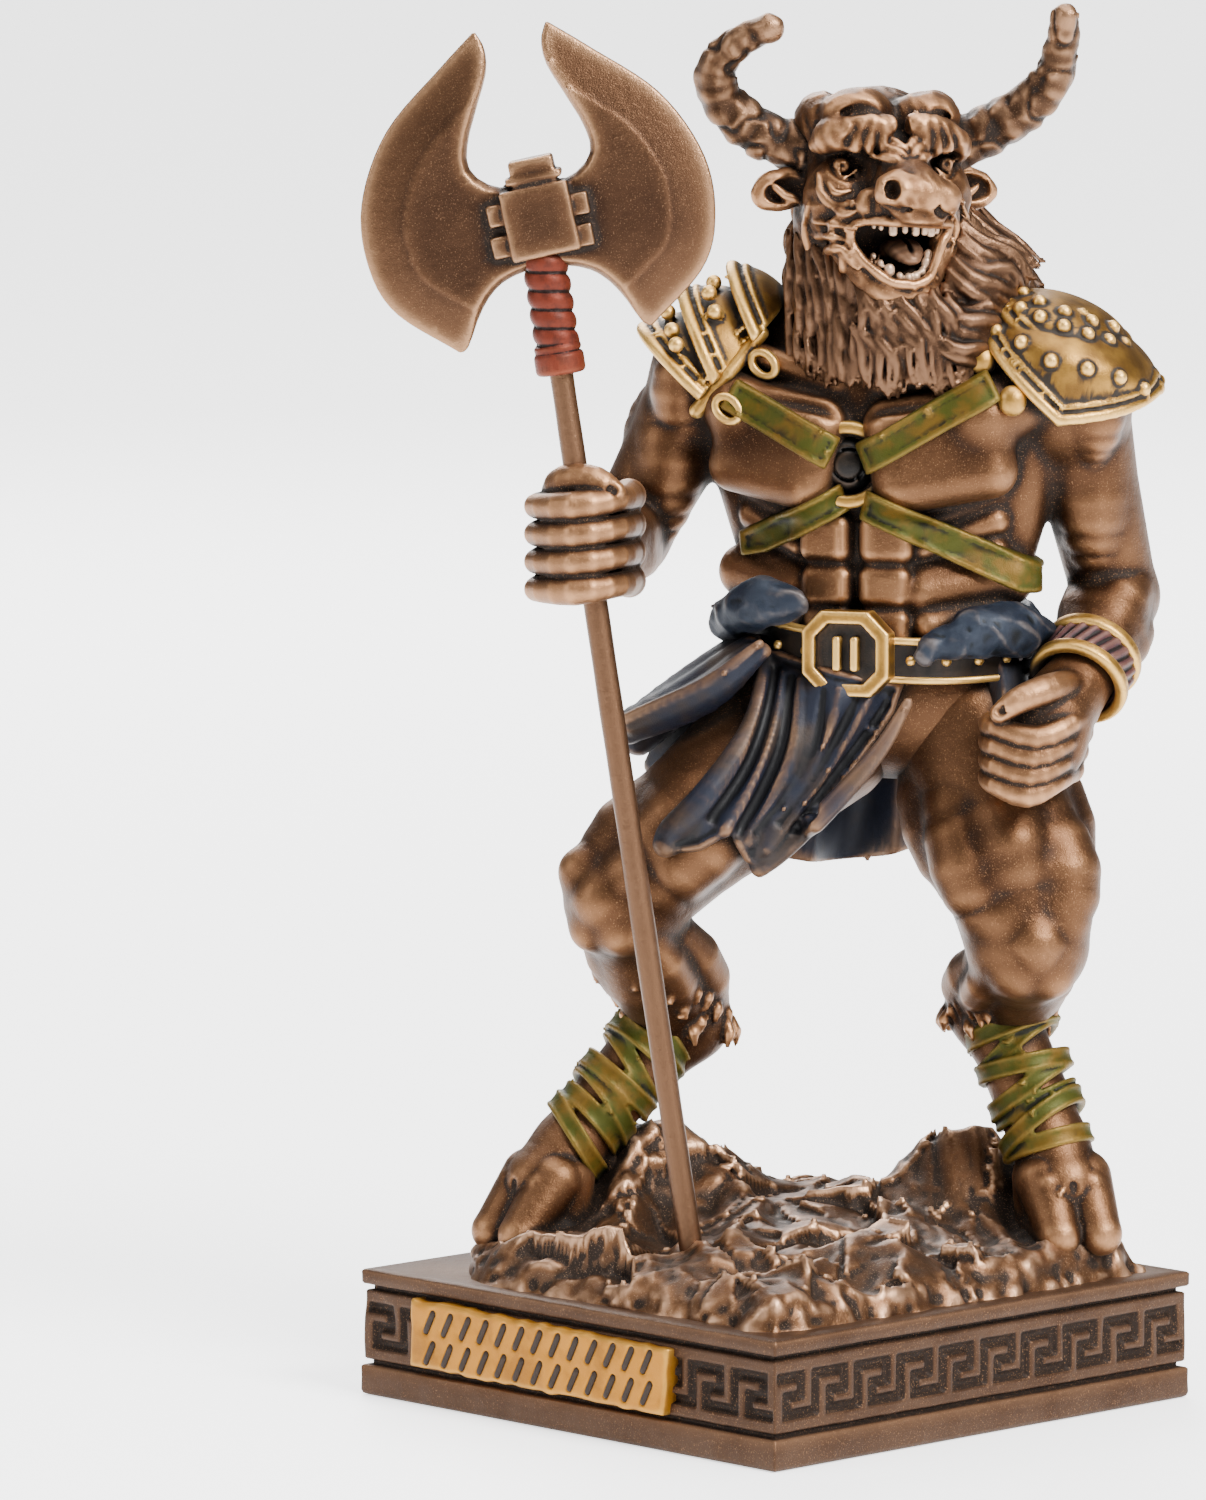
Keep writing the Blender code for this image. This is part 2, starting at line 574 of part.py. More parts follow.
def carve_belt(clay):
    """The belt with its eight-sided buckle, and the sash rolled over it."""
    ring = []
    for step in range(25):
        angle = 2 * math.pi * step / 24
        across, back = 0.5 + 9.8 * math.sin(angle), 0.6 - 7.4 * math.cos(angle)
        ring.append(torso(across, back, 51.5 - 0.6 * math.sin(angle)))
    clay.add(limb(ring, [1.5] * len(ring)), 0.2)
    middle = torso(0.2, -8.0, 51.6)
    plate = block(middle, (3.0, 0.9, 2.8), torso_turned(), 0.15)
    corner_cut = block(middle, (3.3, 0.9, 3.3), torso_turned(about_y=45), 0.15)
    clay.add(shared(plate, corner_cut), 0.1)
    clay.cut(block(torso(0.2, -9.0, 51.6), (2.1, 0.35, 1.9), torso_turned(), 0.1), 0.05)
    for side in (-1, 1):
        clay.add(block(torso(0.2 + 0.65 * side, -8.6, 51.6), (0.3, 0.4, 1.2), torso_turned(), 0.1), 0.05)
    right_fold = [torso(-10.0, 1.5, 52.8), torso(-8.4, -4.0, 54.2), torso(-4.2, -6.8, 54.2)]
    clay.add(limb(right_fold, (1.9, 1.9, 0.9)), 0.3)
    left_fold = [torso(4.6, -7.2, 52.4), torso(8.2, -5.6, 53.2), torso(10.6, -0.6, 53.0)]
    clay.add(limb(left_fold, (1.2, 2.0, 1.9)), 0.3)


def carve_kilt(clay):
    """The cloth under the belt: a front flap over one thigh, a tail to the side and a skirt behind."""
    top, low = 51.0, 37.0
    flap = region((
        (-1.6, 51.4), (8.4, 49.0), (7.9, 47.6), (5.6, 44.2), (3.2, 40.8), (0.2, 37.8), (-1.2, 36.9),
        (-3.2, 38.8), (-5.6, 38.0), (-7.3, 38.7), (-6.2, 41.6), (-3.4, 45.6), (-1.8, 48.8),
    ))
    clay.add(limb([(4.0, -4.6, 47), (0.6, -4.6, 41.5)], (2.6, 2.2), (0, 1, 0), 0.8), 1.2)
    slices, (x, y, z) = clay.window((-9, -14, low), (10, 2, top), 1.0)
    old = clay.field[slices]
    left = -7.2 + 5.6 * np.clip((z - 38.6) / 12.4, 0, 1)
    right = -1.0 + 9.2 * np.clip((z - 37.0) / 12.0, 0, 1)
    share = np.clip((x - left) / (right - left), 0, 1)
    ridges = np.abs(np.sin(math.pi * (4.5 * share + 0.4 * np.sin(z * 0.35))))
    hem = np.exp(-((share - 0.06) / 0.08) ** 2) + 0.7 * np.exp(-((share - 0.96) / 0.05) ** 2)
    thickness = 0.5 + 0.75 * (1.0 - ridges) + 0.8 * hem
    cloth = np.maximum(old - thickness, flap(x, z))
    cloth = np.maximum(cloth, y - 0.5)
    clay.field[slices] = smooth_min(old, cloth.astype(np.float32), 0.1)
    tails = (
        ((-1.4, -4.4, 51.0), (-5.4, -4.2, 48.6), (-9.6, -2.6, 47.0), 1.3),
        ((-1.8, -3.6, 50.4), (-5.6, -3.2, 47.4), (-9.8, -1.6, 45.9), 1.2),
        ((-2.2, -1.8, 50.6), (-6.0, -1.2, 48.0), (-9.4, 0.4, 46.6), 1.5),
        ((-2.4, 0.6, 50.2), (-6.2, 1.6, 47.0), (-8.8, 2.6, 45.0), 1.5),
    )
    for start, middle, end, width in tails:
        radii = [width * share for share in (0.8, 1, 1.05, 1, 0.95, 0.9, 0.7)]
        clay.add(limb(curve((start, middle, end), 7), radii), 0.3)
    clay.add((skirt_distance, (-16, -14, 36), (30, 18, 52)), 0.3)


def skirt_distance(x, y, z):
    """The distance to the cloth behind, which flares downwards in folds."""
    cos, sin = math.cos(TORSO_TURN), math.sin(TORSO_TURN)
    dx, dy = x - TORSO_MIDDLE[0], y - TORSO_MIDDLE[1]
    across, back = cos * dx + sin * dy - 0.5, cos * dy - sin * dx + 0.2
    fall = 51.0 - z
    wide = 9.2 + 0.17 * fall
    deep = 6.8 + 0.2 * fall
    near = np.hypot(across / wide, back / deep)
    angle = np.arctan2(across, back)
    folds = (0.25 + 0.06 * fall) * np.sin(11 * angle + 0.12 * fall)
    shell = np.abs((near - 1.0) * 0.5 * (wide + deep) * 0.9 - folds * 0.8) - 0.75
    hem = 37.6 + 0.8 * np.sin(3 * angle) - z
    sides = np.abs(angle) - math.radians(112)
    return np.maximum(np.maximum(shell, hem), np.maximum(z - 51.2, sides * 6.0))


def rock_height(x, y):
    """How high the rock's surface lies above the plinth at a place."""
    mounds = (
        (-6.5, 8.0, 7.4, 4.6), (14.0, 6.5, 6.6, 5.0), (3.0, 10.0, 2.6, 8.0), (-6.0, -9.0, 1.2, 6.0),
        (20.6, -1.5, 1.0, 4.5), (4.0, -5.0, 1.8, 9.0), (-12.5, 3.5, 2.6, 4.5),
    )
    height = 1.9
    for east, north, rise, spread in mounds:
        height = height + rise * np.exp(-((x - east) ** 2 + (y - north) ** 2) / spread**2)
    warp = 1.2 * np.sin(0.33 * y + 0.21 * x)
    crags = np.abs(np.sin(0.42 * (x + warp) + 0.1 * y))
    crags = crags + np.abs(np.sin(0.2 * x - 0.45 * y + 1.3 + 0.4 * warp))
    crags = crags + 0.5 * np.abs(np.sin(0.9 * x + 0.5 * y + warp))
    return height + 0.75 * (1.25 - crags)


def carve_rock(clay):
    """The rock under the hooves, which fills most of the plinth's top inside a margin."""
    edge = (PLINTH_SIDE / 2 - ROCK_MARGIN) / PART
    cos, sin = math.cos(TURN), math.sin(TURN)

    def distance(x, y, z):
        height = (z - GROUND - rock_height(x, y)) * 0.7
        square = np.maximum(np.abs(x * cos - y * sin), np.abs(x * sin + y * cos)) - edge
        waver = 0.5 * np.sin(0.9 * x + 0.4 * y) + 0.5 * np.sin(1.1 * y - 0.7 * x)
        round_off = np.hypot((x - 2.2) / 24.0, y / 26.5) * 24.0 - 23.6
        wall = smooth_max(square, round_off, 2.0) + 0.5 + 0.4 * waver + 0.4 * (z - GROUND)
        return smooth_max(smooth_max(height, wall, 0.8), GROUND - 2.0 - z, 0.1)

    clay.add((distance, (-30, -30, GROUND - 2), (30, 30, 22)), 0.5)


def carve_figure(clay):
    """The whole casting above the plinth."""
    carve_rock(clay)
    carve_torso(clay)
    carve_legs(clay)
    carve_wraps(clay)
    carve_arms(clay)
    carve_bracelets(clay)
    carve_head(clay)
    carve_horns(clay)
    carve_mane(clay)
    carve_pauldrons(clay)
    carve_straps(clay)
    carve_belt(clay)
    carve_kilt(clay)


def corner(grid, index):
    """The grid seen from one of the eight corners of its cells."""
    places = [slice(int(bit), -1 if bit == "0" else None) for bit in format(index, "03b")]
    return grid[tuple(places)]


def split_patterns():
    """Which patterns of filled corners would make a cell's surface meet itself."""
    split = np.zeros(256, dtype=bool)
    for pattern in range(1, 255):
        for wanted in (True, False):
            corners = {index for index in range(8) if bool(pattern >> index & 1) == wanted}
            reached = {min(corners)}
            for _ in range(7):
                reached |= {index ^ bit for index in reached for bit in (1, 2, 4)} & corners
            if reached != corners:
                split[pattern] = True
    return split


def fill_splits(field, step):
    """Fill the cells where the surface would meet itself at an edge or a corner."""
    split = split_patterns()
    for _ in range(20):
        pattern = np.zeros([count - 1 for count in field.shape], dtype=np.uint8)
        for index in range(8):
            pattern |= (corner(field, index) < 0).astype(np.uint8) << index
        found = split[pattern]
        if not found.any():
            return
        for index in range(8):
            view = corner(field, index)
            view[found & (view >= 0)] = -0.05 * step


def skin(clay):
    """The clay's surface as points and four-sided faces, one point in each cell that it crosses."""
    field = clay.field
    fill_splits(field, clay.step)
    cells = np.array([count - 1 for count in field.shape])
    total = int(cells.prod())
    sums = np.zeros((4, total))
    crossings = []
    for axis in range(3):
        before = [slice(None)] * 3
        after = [slice(None)] * 3
        before[axis] = slice(0, -1)
        after[axis] = slice(1, None)
        low, high = field[tuple(before)], field[tuple(after)]
        places = np.argwhere((low < 0) != (high < 0))
        first = low[tuple(places.T)]
        second = high[tuple(places.T)]
        share = first / (first - second)
        points = places.astype(float)
        points[:, axis] += share
        one, two = [(axis + turn) % 3 for turn in (1, 2)]
        inner = (places[:, one] > 0) & (places[:, two] > 0)
        inner &= (places[:, one] < cells[one]) & (places[:, two] < cells[two])
        corners = []
        for shift_one, shift_two in ((0, 0), (1, 0), (1, 1), (0, 1)):
            cell = places[inner].copy()
            cell[:, one] -= shift_one
            cell[:, two] -= shift_two
            corners.append(np.ravel_multi_index(tuple(cell.T), cells))
        around = np.stack(corners, axis=1)
        for column in range(4):
            for part in range(3):
                sums[part] += np.bincount(around[:, column], points[inner][:, part], total)
            sums[3] += np.bincount(around[:, column], minlength=total)
        flip = first[inner] >= 0
        around[flip] = around[flip][:, ::-1]
        crossings.append(around)
    faces = np.concatenate(crossings)
    used = np.flatnonzero(sums[3] > 0)
    points = (sums[:3, used] / sums[3, used]).T * clay.step + clay.low
    number = np.zeros(total, dtype=np.int64)
    number[used] = np.arange(len(used))
    return largest_piece(points, number[faces])


def largest_piece(points, faces):
    """Only the largest piece of a skin, without crumbs and sealed bubbles."""
    label = np.arange(len(points))
    while True:
        lowest = label[faces].min(axis=1)
        fresh = label.copy()
        for column in range(4):
            np.minimum.at(fresh, faces[:, column], lowest)
        fresh = fresh[fresh]
        if (fresh == label).all():
            break
        label = fresh
    names, sizes = np.unique(label, return_counts=True)
    kept = label == names[sizes.argmax()]
    number = np.cumsum(kept) - 1
    return points[kept], number[faces[kept[faces[:, 0]]]]


def finish(name, colour, metallic, roughness):
    """A plain metallic or painted finish."""
    material = bpy.data.materials.new(name)
    material.use_nodes = True
    shader = material.node_tree.nodes["Principled BSDF"]
    shader.inputs["Base Color"].default_value = (*colour, 1.0)
    shader.inputs["Metallic"].default_value = metallic
    shader.inputs["Roughness"].default_value = roughness
    return material


def new_object(name, points, faces, material=None, guide=False):
    """An object from points and faces, which is left out of the model when it only guides a cut."""
    mesh = bpy.data.meshes.new(name)
    mesh.from_pydata([tuple(point) for point in points], [], [tuple(face) for face in faces])
    mesh.validate()
    item = bpy.data.objects.new(name, mesh)
    bpy.context.scene.collection.objects.link(item)
    if material is not None:
        mesh.materials.append(material)
    if guide:
        item.hide_render = True
        item.display_type = "WIRE"
    return item


def combine(item, other, operation):
    """Join another object to an object, or cut it away."""
    modifier = item.modifiers.new(other.name, "BOOLEAN")
    modifier.operation = operation
    modifier.solver = "EXACT"
    modifier.object = other


def stacked(outline, heights):
    """Points and faces of a closed solid: an outline at each height, each with its own size."""
    points = []
    faces = []
    count = len(outline)
    for level, (height, half) in enumerate(heights):
        points += [(x * half, y * half, height) for x, y in outline]
        if level:
            first = (level - 1) * count
            for index in range(count):
                beside = (index + 1) % count
                faces.append((first + index, first + beside, first + count + beside, first + count + index))
    faces.append(tuple(range(count - 1, -1, -1)))
    faces.append(tuple(range(len(points) - count, len(points))))
    return points, faces


def to_world(point):
    """A place in metres from one in the figure's frame."""
    x, y, z = point
    cos, sin = math.cos(TURN), math.sin(TURN)
    place = Vector((cos * x - sin * y, sin * x + cos * y, z - GROUND))
    return PART * place + Vector((0.0, 0.0, PLINTH_HEIGHT))


def key_line():
    """The middle line of the key pattern's channel, in columns and rows."""
    unit = ((0, 0), (0, 4), (4, 4), (4, 2), (2, 2), (2, 0))
    return [(6 * number + x, y) for number in range(KEY_UNITS) for x, y in unit]


def channel_sides(line):
    """The closed outline of a channel one module wide along a square-cornered line."""
    ways = [(two[0] - one[0], two[1] - one[1]) for one, two in zip(line, line[1:])]
    ways = [(x / (abs(x) + abs(y)), y / (abs(x) + abs(y))) for x, y in ways]
    sides = ([], [])
    for index, (x, y) in enumerate(line):
        into = ways[max(index - 1, 0)]
        away = ways[min(index, len(ways) - 1)]
        for sign, side in zip((1, -1), sides):
            if index == 0 or index == len(line) - 1:
                end = -0.5 if index == 0 else 0.5
                x_end, y_end = x + end * into[0], y + end * into[1]
                side.append((x_end - sign * 0.5 * into[1], y_end + sign * 0.5 * into[0]))
            else:
                side.append((x - sign * 0.5 * (into[1] + away[1]), y + sign * 0.5 * (into[0] + away[0])))
    return sides[0] + sides[1][::-1]


def prism(outline, side, depth_in, depth_out):
    """A prism on one side of the plinth, from an outline in that side's own across and up."""
    spin = Matrix.Rotation(math.radians(90.0) * side, 3, "Z")
    face = PLINTH_SIDE / 2 - BAND_INSET
    points = []
    for depth in (-face + depth_in, -face - depth_out):
        points += [spin @ Vector((x, depth, z)) for x, z in outline]
    count = len(outline)
    faces = [tuple(range(count)), tuple(range(2 * count - 1, count - 1, -1))]
    for index in range(count):
        beside = (index + 1) % count
        faces.append((index, count + index, count + beside, beside))
    return points, faces


def facing_out(item):
    """Turn an object's faces outwards."""
    work = bmesh.new()
    work.from_mesh(item.data)
    bmesh.ops.recalc_face_normals(work, faces=work.faces)
    work.to_mesh(item.data)
    work.free()
    return item


def make_plinth():
    """The plinth's solid, with its grooves, its key pattern and its name plate."""
    half = PLINTH_SIDE / 2
    square = ((-1, -1), (1, -1), (1, 1), (-1, 1))
    band = half - BAND_INSET
    groove = half - GROOVE_DEPTH
    levels = [(0.0, half - BASE_BEVEL), (BASE_BEVEL, half), (BASE_HEIGHT, half), (BASE_HEIGHT, groove)]
    height = BASE_HEIGHT + LOWER_GROOVE
    levels += [(height, groove), (height, band)]
    height += BAND_HEIGHT
    levels += [(height, band), (height, groove)]
    height += UPPER_GROOVE
    levels += [(height, groove), (height, half), (PLINTH_HEIGHT, half)]
    plinth = facing_out(new_object("plinth_guide", *stacked(square, levels), guide=True))
    column = PLINTH_SIDE / KEY_UNITS / 6
    row = KEY_HEIGHT / 5
    low = BASE_HEIGHT + LOWER_GROOVE + (BAND_HEIGHT - KEY_HEIGHT) / 2 + row / 2
    line = key_line()
    middle = line[-1][0] / 2
    outline = [((x - middle) * column, low + y * row) for x, y in channel_sides(line)]
    for side in range(4):
        channel = prism(outline, side, KEY_DEPTH, KEY_DEPTH)
        cutter = facing_out(new_object(f"key_{side}", *channel, guide=True))
        combine(plinth, cutter, "DIFFERENCE")
    plate_low = BASE_HEIGHT + LOWER_GROOVE + (BAND_HEIGHT - PLATE_HEIGHT) / 2
    ends = (PLATE_OFFSET - PLATE_LENGTH / 2, PLATE_OFFSET + PLATE_LENGTH / 2)
    tilt = PLATE_HEIGHT * PLATE_TILT
    corners = (
        (ends[0], plate_low + tilt), (ends[1] - 2 * tilt, plate_low),
        (ends[1], plate_low + PLATE_HEIGHT - tilt), (ends[0] + tilt, plate_low + PLATE_HEIGHT),
    )
    slab = prism(corners, 0, 2 * KEY_DEPTH, PLATE_PROUD)
    plate = facing_out(new_object("plate_guide", *slab, guide=True))
    combine(plinth, plate, "UNION")
    return plinth


def along_shaft():
    """The shaft's turn in the world: its z runs up the shaft and its y to the back of the blade."""
    up = (to_world(SHAFT_HEAD) - to_world(SHAFT_FOOT)).normalized()
    back = (to_world((0, 1, 0)) - to_world((0, 0, 0))).normalized()
    across = back.cross(up).normalized()
    back = up.cross(across)
    return Matrix((across, back, up)).transposed().to_4x4()


def on_shaft(item):
    """Set an object that was made round the z axis on the shaft, its zero at the shaft's foot."""
    item.matrix_world = Matrix.Translation(to_world(SHAFT_FOOT)) @ along_shaft()
    return item


def turned_bar(name, profile, guide=True, material=None):
    """A bar turned to a profile of heights and radii round the z axis."""
    circle = [2 * math.pi * step / BAR_SIDES for step in range(BAR_SIDES)]
    outline = [(math.cos(angle), math.sin(angle)) for angle in circle]
    return facing_out(new_object(name, *stacked(outline, profile), material, guide))


def blade_outline():
    """The right blade's edge: its inner rim from the saddle up, its cutting edge and its lower rim."""
    upper = curve(((0.0, 2.2), (2.6, 2.7), (4.0, 4.4), (3.4, 7.0), (2.1, 10.0), (2.2, 12.9)), 8)
    cutting = curve(((2.5, 13.0), (7.0, 9.3), (10.7, 5.0), (11.8, 0.0), (10.6, -4.2), (6.6, -8.0)), 11)
    lower = curve(((5.9, -7.8), (4.8, -5.6), (2.6, -3.6), (0.0, -2.9)), 5)
    return upper, cutting, lower


def make_blades():
    """The double blade: flat cheeks that thin over a bevel to the cutting edges."""
    upper, cutting, lower = blade_outline()
    scale = BLADE_WIDTH / (2 * max(point[0] for point in cutting))
    height = SHAFT_LENGTH + BLADE_ABOVE
    outer = [tuple(point) for point in (*upper, *cutting, *lower)]
    inner = []
    for index, point in enumerate(outer):
        along = (index - len(upper)) / (len(cutting) - 1)
        bevel = BEVEL_SHARE * math.sin(math.pi * min(max(along, 0.0), 1.0)) + LEAST_BEVEL
        inner.append((point[0] * (1 - bevel), point[1] * (1 - BEVEL_RISE * bevel)))
    points = []
    rings = ((-BLADE_THICKNESS, inner), (-BLADE_EDGE, outer), (BLADE_EDGE, outer), (BLADE_THICKNESS, inner))
    for thickness, ring in rings:
        left = [(-x, y) for x, y in reversed(ring[1:-1])]
        points += [(x * scale, thickness / 2, height + y * scale) for x, y in (*ring, *left)]
    count = len(points) // 4
    faces = [tuple(range(count)), tuple(range(4 * count - 1, 3 * count - 1, -1))]
    for level in range(3):
        for index in range(count):
            beside = (index + 1) % count
            first = level * count
            faces.append((first + index, first + count + index, first + count + beside, first + beside))
    return facing_out(new_object("blades", points, faces, guide=True))


def plate_on_shaft(name, across, height, half_width, half_thickness, half_height):
    """A small square-edged slab on the blade's block."""
    points = []
    for z in (-half_height, half_height):
        for y in (-half_thickness, half_thickness):
            points += [(across + x, y, height + z) for x in (-half_width, half_width)]
    faces = ((0, 1, 3, 2), (4, 6, 7, 5), (0, 4, 5, 1), (2, 3, 7, 6), (0, 2, 6, 4), (1, 5, 7, 3))
    return facing_out(new_object(name, points, faces, guide=True))


def make_axe(material):
    """The axe in one piece: its shaft, collar, bound grip, block with lugs, and blades."""
    radius = SHAFT_DIAMETER / 2
    ends = ((FIT_GAP - SOCKET_DEPTH, radius), (SHAFT_LENGTH + BLADE_ABOVE, radius))
    axe = turned_bar("axe", ends, False, material)
    low = SHAFT_LENGTH - GRIP_LENGTH
    bound, collar = GRIP_DIAMETER / 2, COLLAR_DIAMETER / 2
    grip = [(low - COLLAR_LENGTH, collar), (low, collar), (low, bound)]
    for turn in range(GRIP_TURNS):
        height = low + GRIP_LENGTH * (turn + 1) / GRIP_TURNS
        middle = height - 0.5 * GRIP_LENGTH / GRIP_TURNS
        grip += [(middle, bound * GRIP_SWELL), (height, bound * GRIP_DIP)]
    grip.append((SHAFT_LENGTH + BLADE_ABOVE, bound * GRIP_NECK))
    pieces = [turned_bar("grip", grip), make_blades()]
    middle = SHAFT_LENGTH + BLADE_ABOVE
    half, deep = BLOCK_SIDE / 2, BLOCK_THICKNESS / 2
    pieces.append(plate_on_shaft("block", 0, middle, half, deep, half))
    top = middle + half + LUG / 2
    pieces.append(plate_on_shaft("poll", 0, top, half * POLL_SHARE, deep * POLL_DEPTH, LUG))
    for side in (-1, 1):
        for level in LUG_LEVELS:
            place = (side * (half + LUG / 3), middle + level * BLOCK_SIDE)
            size = (LUG, deep * LUG_DEPTH, LUG * LUG_RISE)
            pieces.append(plate_on_shaft(f"lug_{side}_{level}", *place, *size))
    for piece in pieces:
        combine(axe, on_shaft(piece), "UNION")
    return on_shaft(axe)


def main():
    """Build the model in an emptied scene."""
    for item in list(bpy.data.objects):
        bpy.data.objects.remove(item)
    bronze = finish("aged_bronze", (0.30, 0.19, 0.11), 0.85, 0.38)
    steel = finish("brown_metal", (0.26, 0.17, 0.11), 0.9, 0.35)
    clay = Clay((-22, -29, GROUND - 2), (30, 29, 97), CLAY_STEP)
    carve_figure(clay)
    clay.soften()
    points, faces = skin(clay)
    figure = new_object("minotaur", [to_world(point) for point in points], faces, bronze)
    thin = figure.modifiers.new("thin", "DECIMATE")
    thin.ratio = FIGURE_FACES / (2 * len(faces))
    combine(figure, make_plinth(), "UNION")
    bore_radius = SHAFT_DIAMETER / 2 + FIT_GAP
    bore_ends = ((-SOCKET_DEPTH, bore_radius), (SHAFT_LENGTH - GRIP_LENGTH, bore_radius))
    bore = turned_bar("shaft_bore", bore_ends)
    combine(figure, on_shaft(bore), "DIFFERENCE")
    make_axe(steel)


if __name__ == "__main__":
    main()
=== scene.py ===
"""The finished look of a bull-headed warrior figurine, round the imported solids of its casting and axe.

The figure is carved in millimetres in a frame of its own: x runs to the figure's left, y to its
back and z up from the plinth's underside. That frame is turned by 45 degrees to the model's, so
that the figure faces a corner of its plinth.
"""

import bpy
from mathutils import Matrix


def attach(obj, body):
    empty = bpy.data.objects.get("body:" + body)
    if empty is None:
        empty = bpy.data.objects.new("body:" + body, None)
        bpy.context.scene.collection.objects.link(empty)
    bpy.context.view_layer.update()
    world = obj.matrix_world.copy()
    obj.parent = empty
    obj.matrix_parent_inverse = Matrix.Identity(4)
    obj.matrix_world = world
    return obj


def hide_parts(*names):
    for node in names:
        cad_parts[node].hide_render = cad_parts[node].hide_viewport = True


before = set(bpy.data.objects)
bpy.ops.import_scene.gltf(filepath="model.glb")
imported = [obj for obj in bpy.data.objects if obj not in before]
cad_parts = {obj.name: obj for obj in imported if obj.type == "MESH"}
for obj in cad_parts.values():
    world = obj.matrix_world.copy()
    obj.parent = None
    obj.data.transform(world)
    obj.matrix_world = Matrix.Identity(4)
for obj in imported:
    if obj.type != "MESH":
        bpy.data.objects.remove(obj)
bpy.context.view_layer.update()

import logging
import math
from dataclasses import dataclass, field
from enum import Enum
from typing import Callable, Iterable, Sequence

import bpy
import numpy as np
from mathutils import Matrix, Vector

LOG = logging.getLogger("figurine")
MM = 0.001
GROUND = 8.7
TURN = math.radians(45.0)
FUR_TUFTS = 46
FINGERS = 4

Array = np.ndarray
Point = Sequence[float]
Path = Sequence[Point]
Distance = Callable[[Array, Array, Array], Array]


class Side(Enum):
    """The figure's two sides, by the sign of their x."""

    RIGHT = -1
    LEFT = 1


# ---- shapes ----


def smooth_min(first: Array, second: Array, soft: float) -> Array:
    """The lower of two distances, rounded over a width where they meet."""
    share = np.clip(0.5 + 0.5 * (second - first) / soft, 0.0, 1.0)
    return second + (first - second) * share - soft * share * (1.0 - share)


def turned(about_z: float = 0.0, about_x: float = 0.0, about_y: float = 0.0) -> Array:
    """A turn as a matrix whose columns are the turned axes.

    Args:
        about_z: The turn about z in degrees.
        about_x: The turn about x in degrees, made before it.
        about_y: The turn about y in degrees, made first.

    Returns:
        The three by three matrix.
    """
    turn = Matrix.Rotation(math.radians(about_z), 3, "Z")
    turn = turn @ Matrix.Rotation(math.radians(about_x), 3, "X")
    return np.array(turn @ Matrix.Rotation(math.radians(about_y), 3, "Y"))


def curve(points: Path, count: int) -> Array:
    """Points spaced along a smooth curve.

    Args:
        points: The places that the curve passes through.
        count: How many points to give back.

    Returns:
        The points, one in each row.
    """
    points = np.array(points, dtype=float)
    padded = np.vstack([2 * points[0] - points[1], points, 2 * points[-1] - points[-2]])
    spans = len(points) - 1
    result = []
    for step in range(count):
        place = step * spans / (count - 1)
        span = min(int(place), spans - 1)
        t = place - span
        a, b, c, d = padded[span : span + 4]
        bend = 2 * a - 5 * b + 4 * c - d
        lift = 3 * b - a - 3 * c + d
        result.append(0.5 * (2 * b + (c - a) * t + bend * t * t + lift * t**3))
    return np.array(result)


def swell(start: float, middle: float, end: float, count: int) -> list[float]:
    """Radii that run smoothly from one value over a second to a third."""
    pull = 2 * (2 * middle - 0.5 * (start + end))
    shares = [step / (count - 1) for step in range(count)]
    return [start * (1 - s) ** 2 + pull * s * (1 - s) + end * s * s for s in shares]


@dataclass(frozen=True)
class Shape:
    """A solid, as its distance function and the box that holds it."""

    distance: Distance
    low: Array
    high: Array

    def within(self, other: "Shape") -> "Shape":
        """What this shape shares with another one."""
        near, kept = self.distance, other.distance
        return Shape(lambda x, y, z: np.maximum(near(x, y, z), kept(x, y, z)), self.low, self.high)


def limb(points: Path, radii: Sequence[float], flat: Point | None = None, thin: float = 1.0) -> Shape:
    """A round limb along some points.

    Args:
        points: The places along its middle.
        radii: The radius at each place.
        flat: A direction along which the limb is thinner.
        thin: The limb's thickness along that direction, as a share of its width.

    Returns:
        The shape.
    """
    points = np.array(points, dtype=float)
    reach = np.array(radii, dtype=float).reshape(-1, 1)
    side = None if flat is None else np.array(flat, dtype=float) / np.linalg.norm(flat)

    def distance(x: Array, y: Array, z: Array) -> Array:
        """The distance to the limb."""
        best = None
        for index in range(len(points) - 1):
            start = points[index]
            run = points[index + 1] - start
            dx, dy, dz = x - start[0], y - start[1], z - start[2]
            along = (dx * run[0] + dy * run[1] + dz * run[2]) / (float(run @ run) + 1e-9)
            along = np.clip(along, 0.0, 1.0)
            dx, dy, dz = dx - along * run[0], dy - along * run[1], dz - along * run[2]
            square = dx * dx + dy * dy + dz * dz
            if side is not None:
                across = dx * side[0] + dy * side[1] + dz * side[2]
                square = square + (1.0 / thin**2 - 1.0) * across * across
            found = np.sqrt(square) - (radii[index] + along * (radii[index + 1] - radii[index]))
            best = found if best is None else np.minimum(best, found)
        return best

    return Shape(distance, (points - reach).min(axis=0), (points + reach).max(axis=0))


def ball(centre: Point, radii: Point | float, turn: Array | None = None) -> Shape:
    """An ellipsoid.

    Args:
        centre: Its middle.
        radii: Its three radii, or one for a round ball.
        turn: The axes that it is turned to.

    Returns:
        The shape.
    """
    radii = (radii, radii, radii) if isinstance(radii, (int, float)) else radii
    centre = np.array(centre, dtype=float)
    axes = np.eye(3) if turn is None else turn

    def distance(x: Array, y: Array, z: Array) -> Array:
        """The distance to the ellipsoid, near its surface."""
        near = 0.0
        slope = 1e-9
        for part, radius in zip(local((x, y, z), centre, axes), radii):
            near = near + (part / radius) ** 2
            slope = slope + (part / radius**2) ** 2
        near = np.sqrt(near)
        return near * (near - 1.0) / np.sqrt(slope)

    return Shape(distance, centre - max(radii), centre + max(radii))


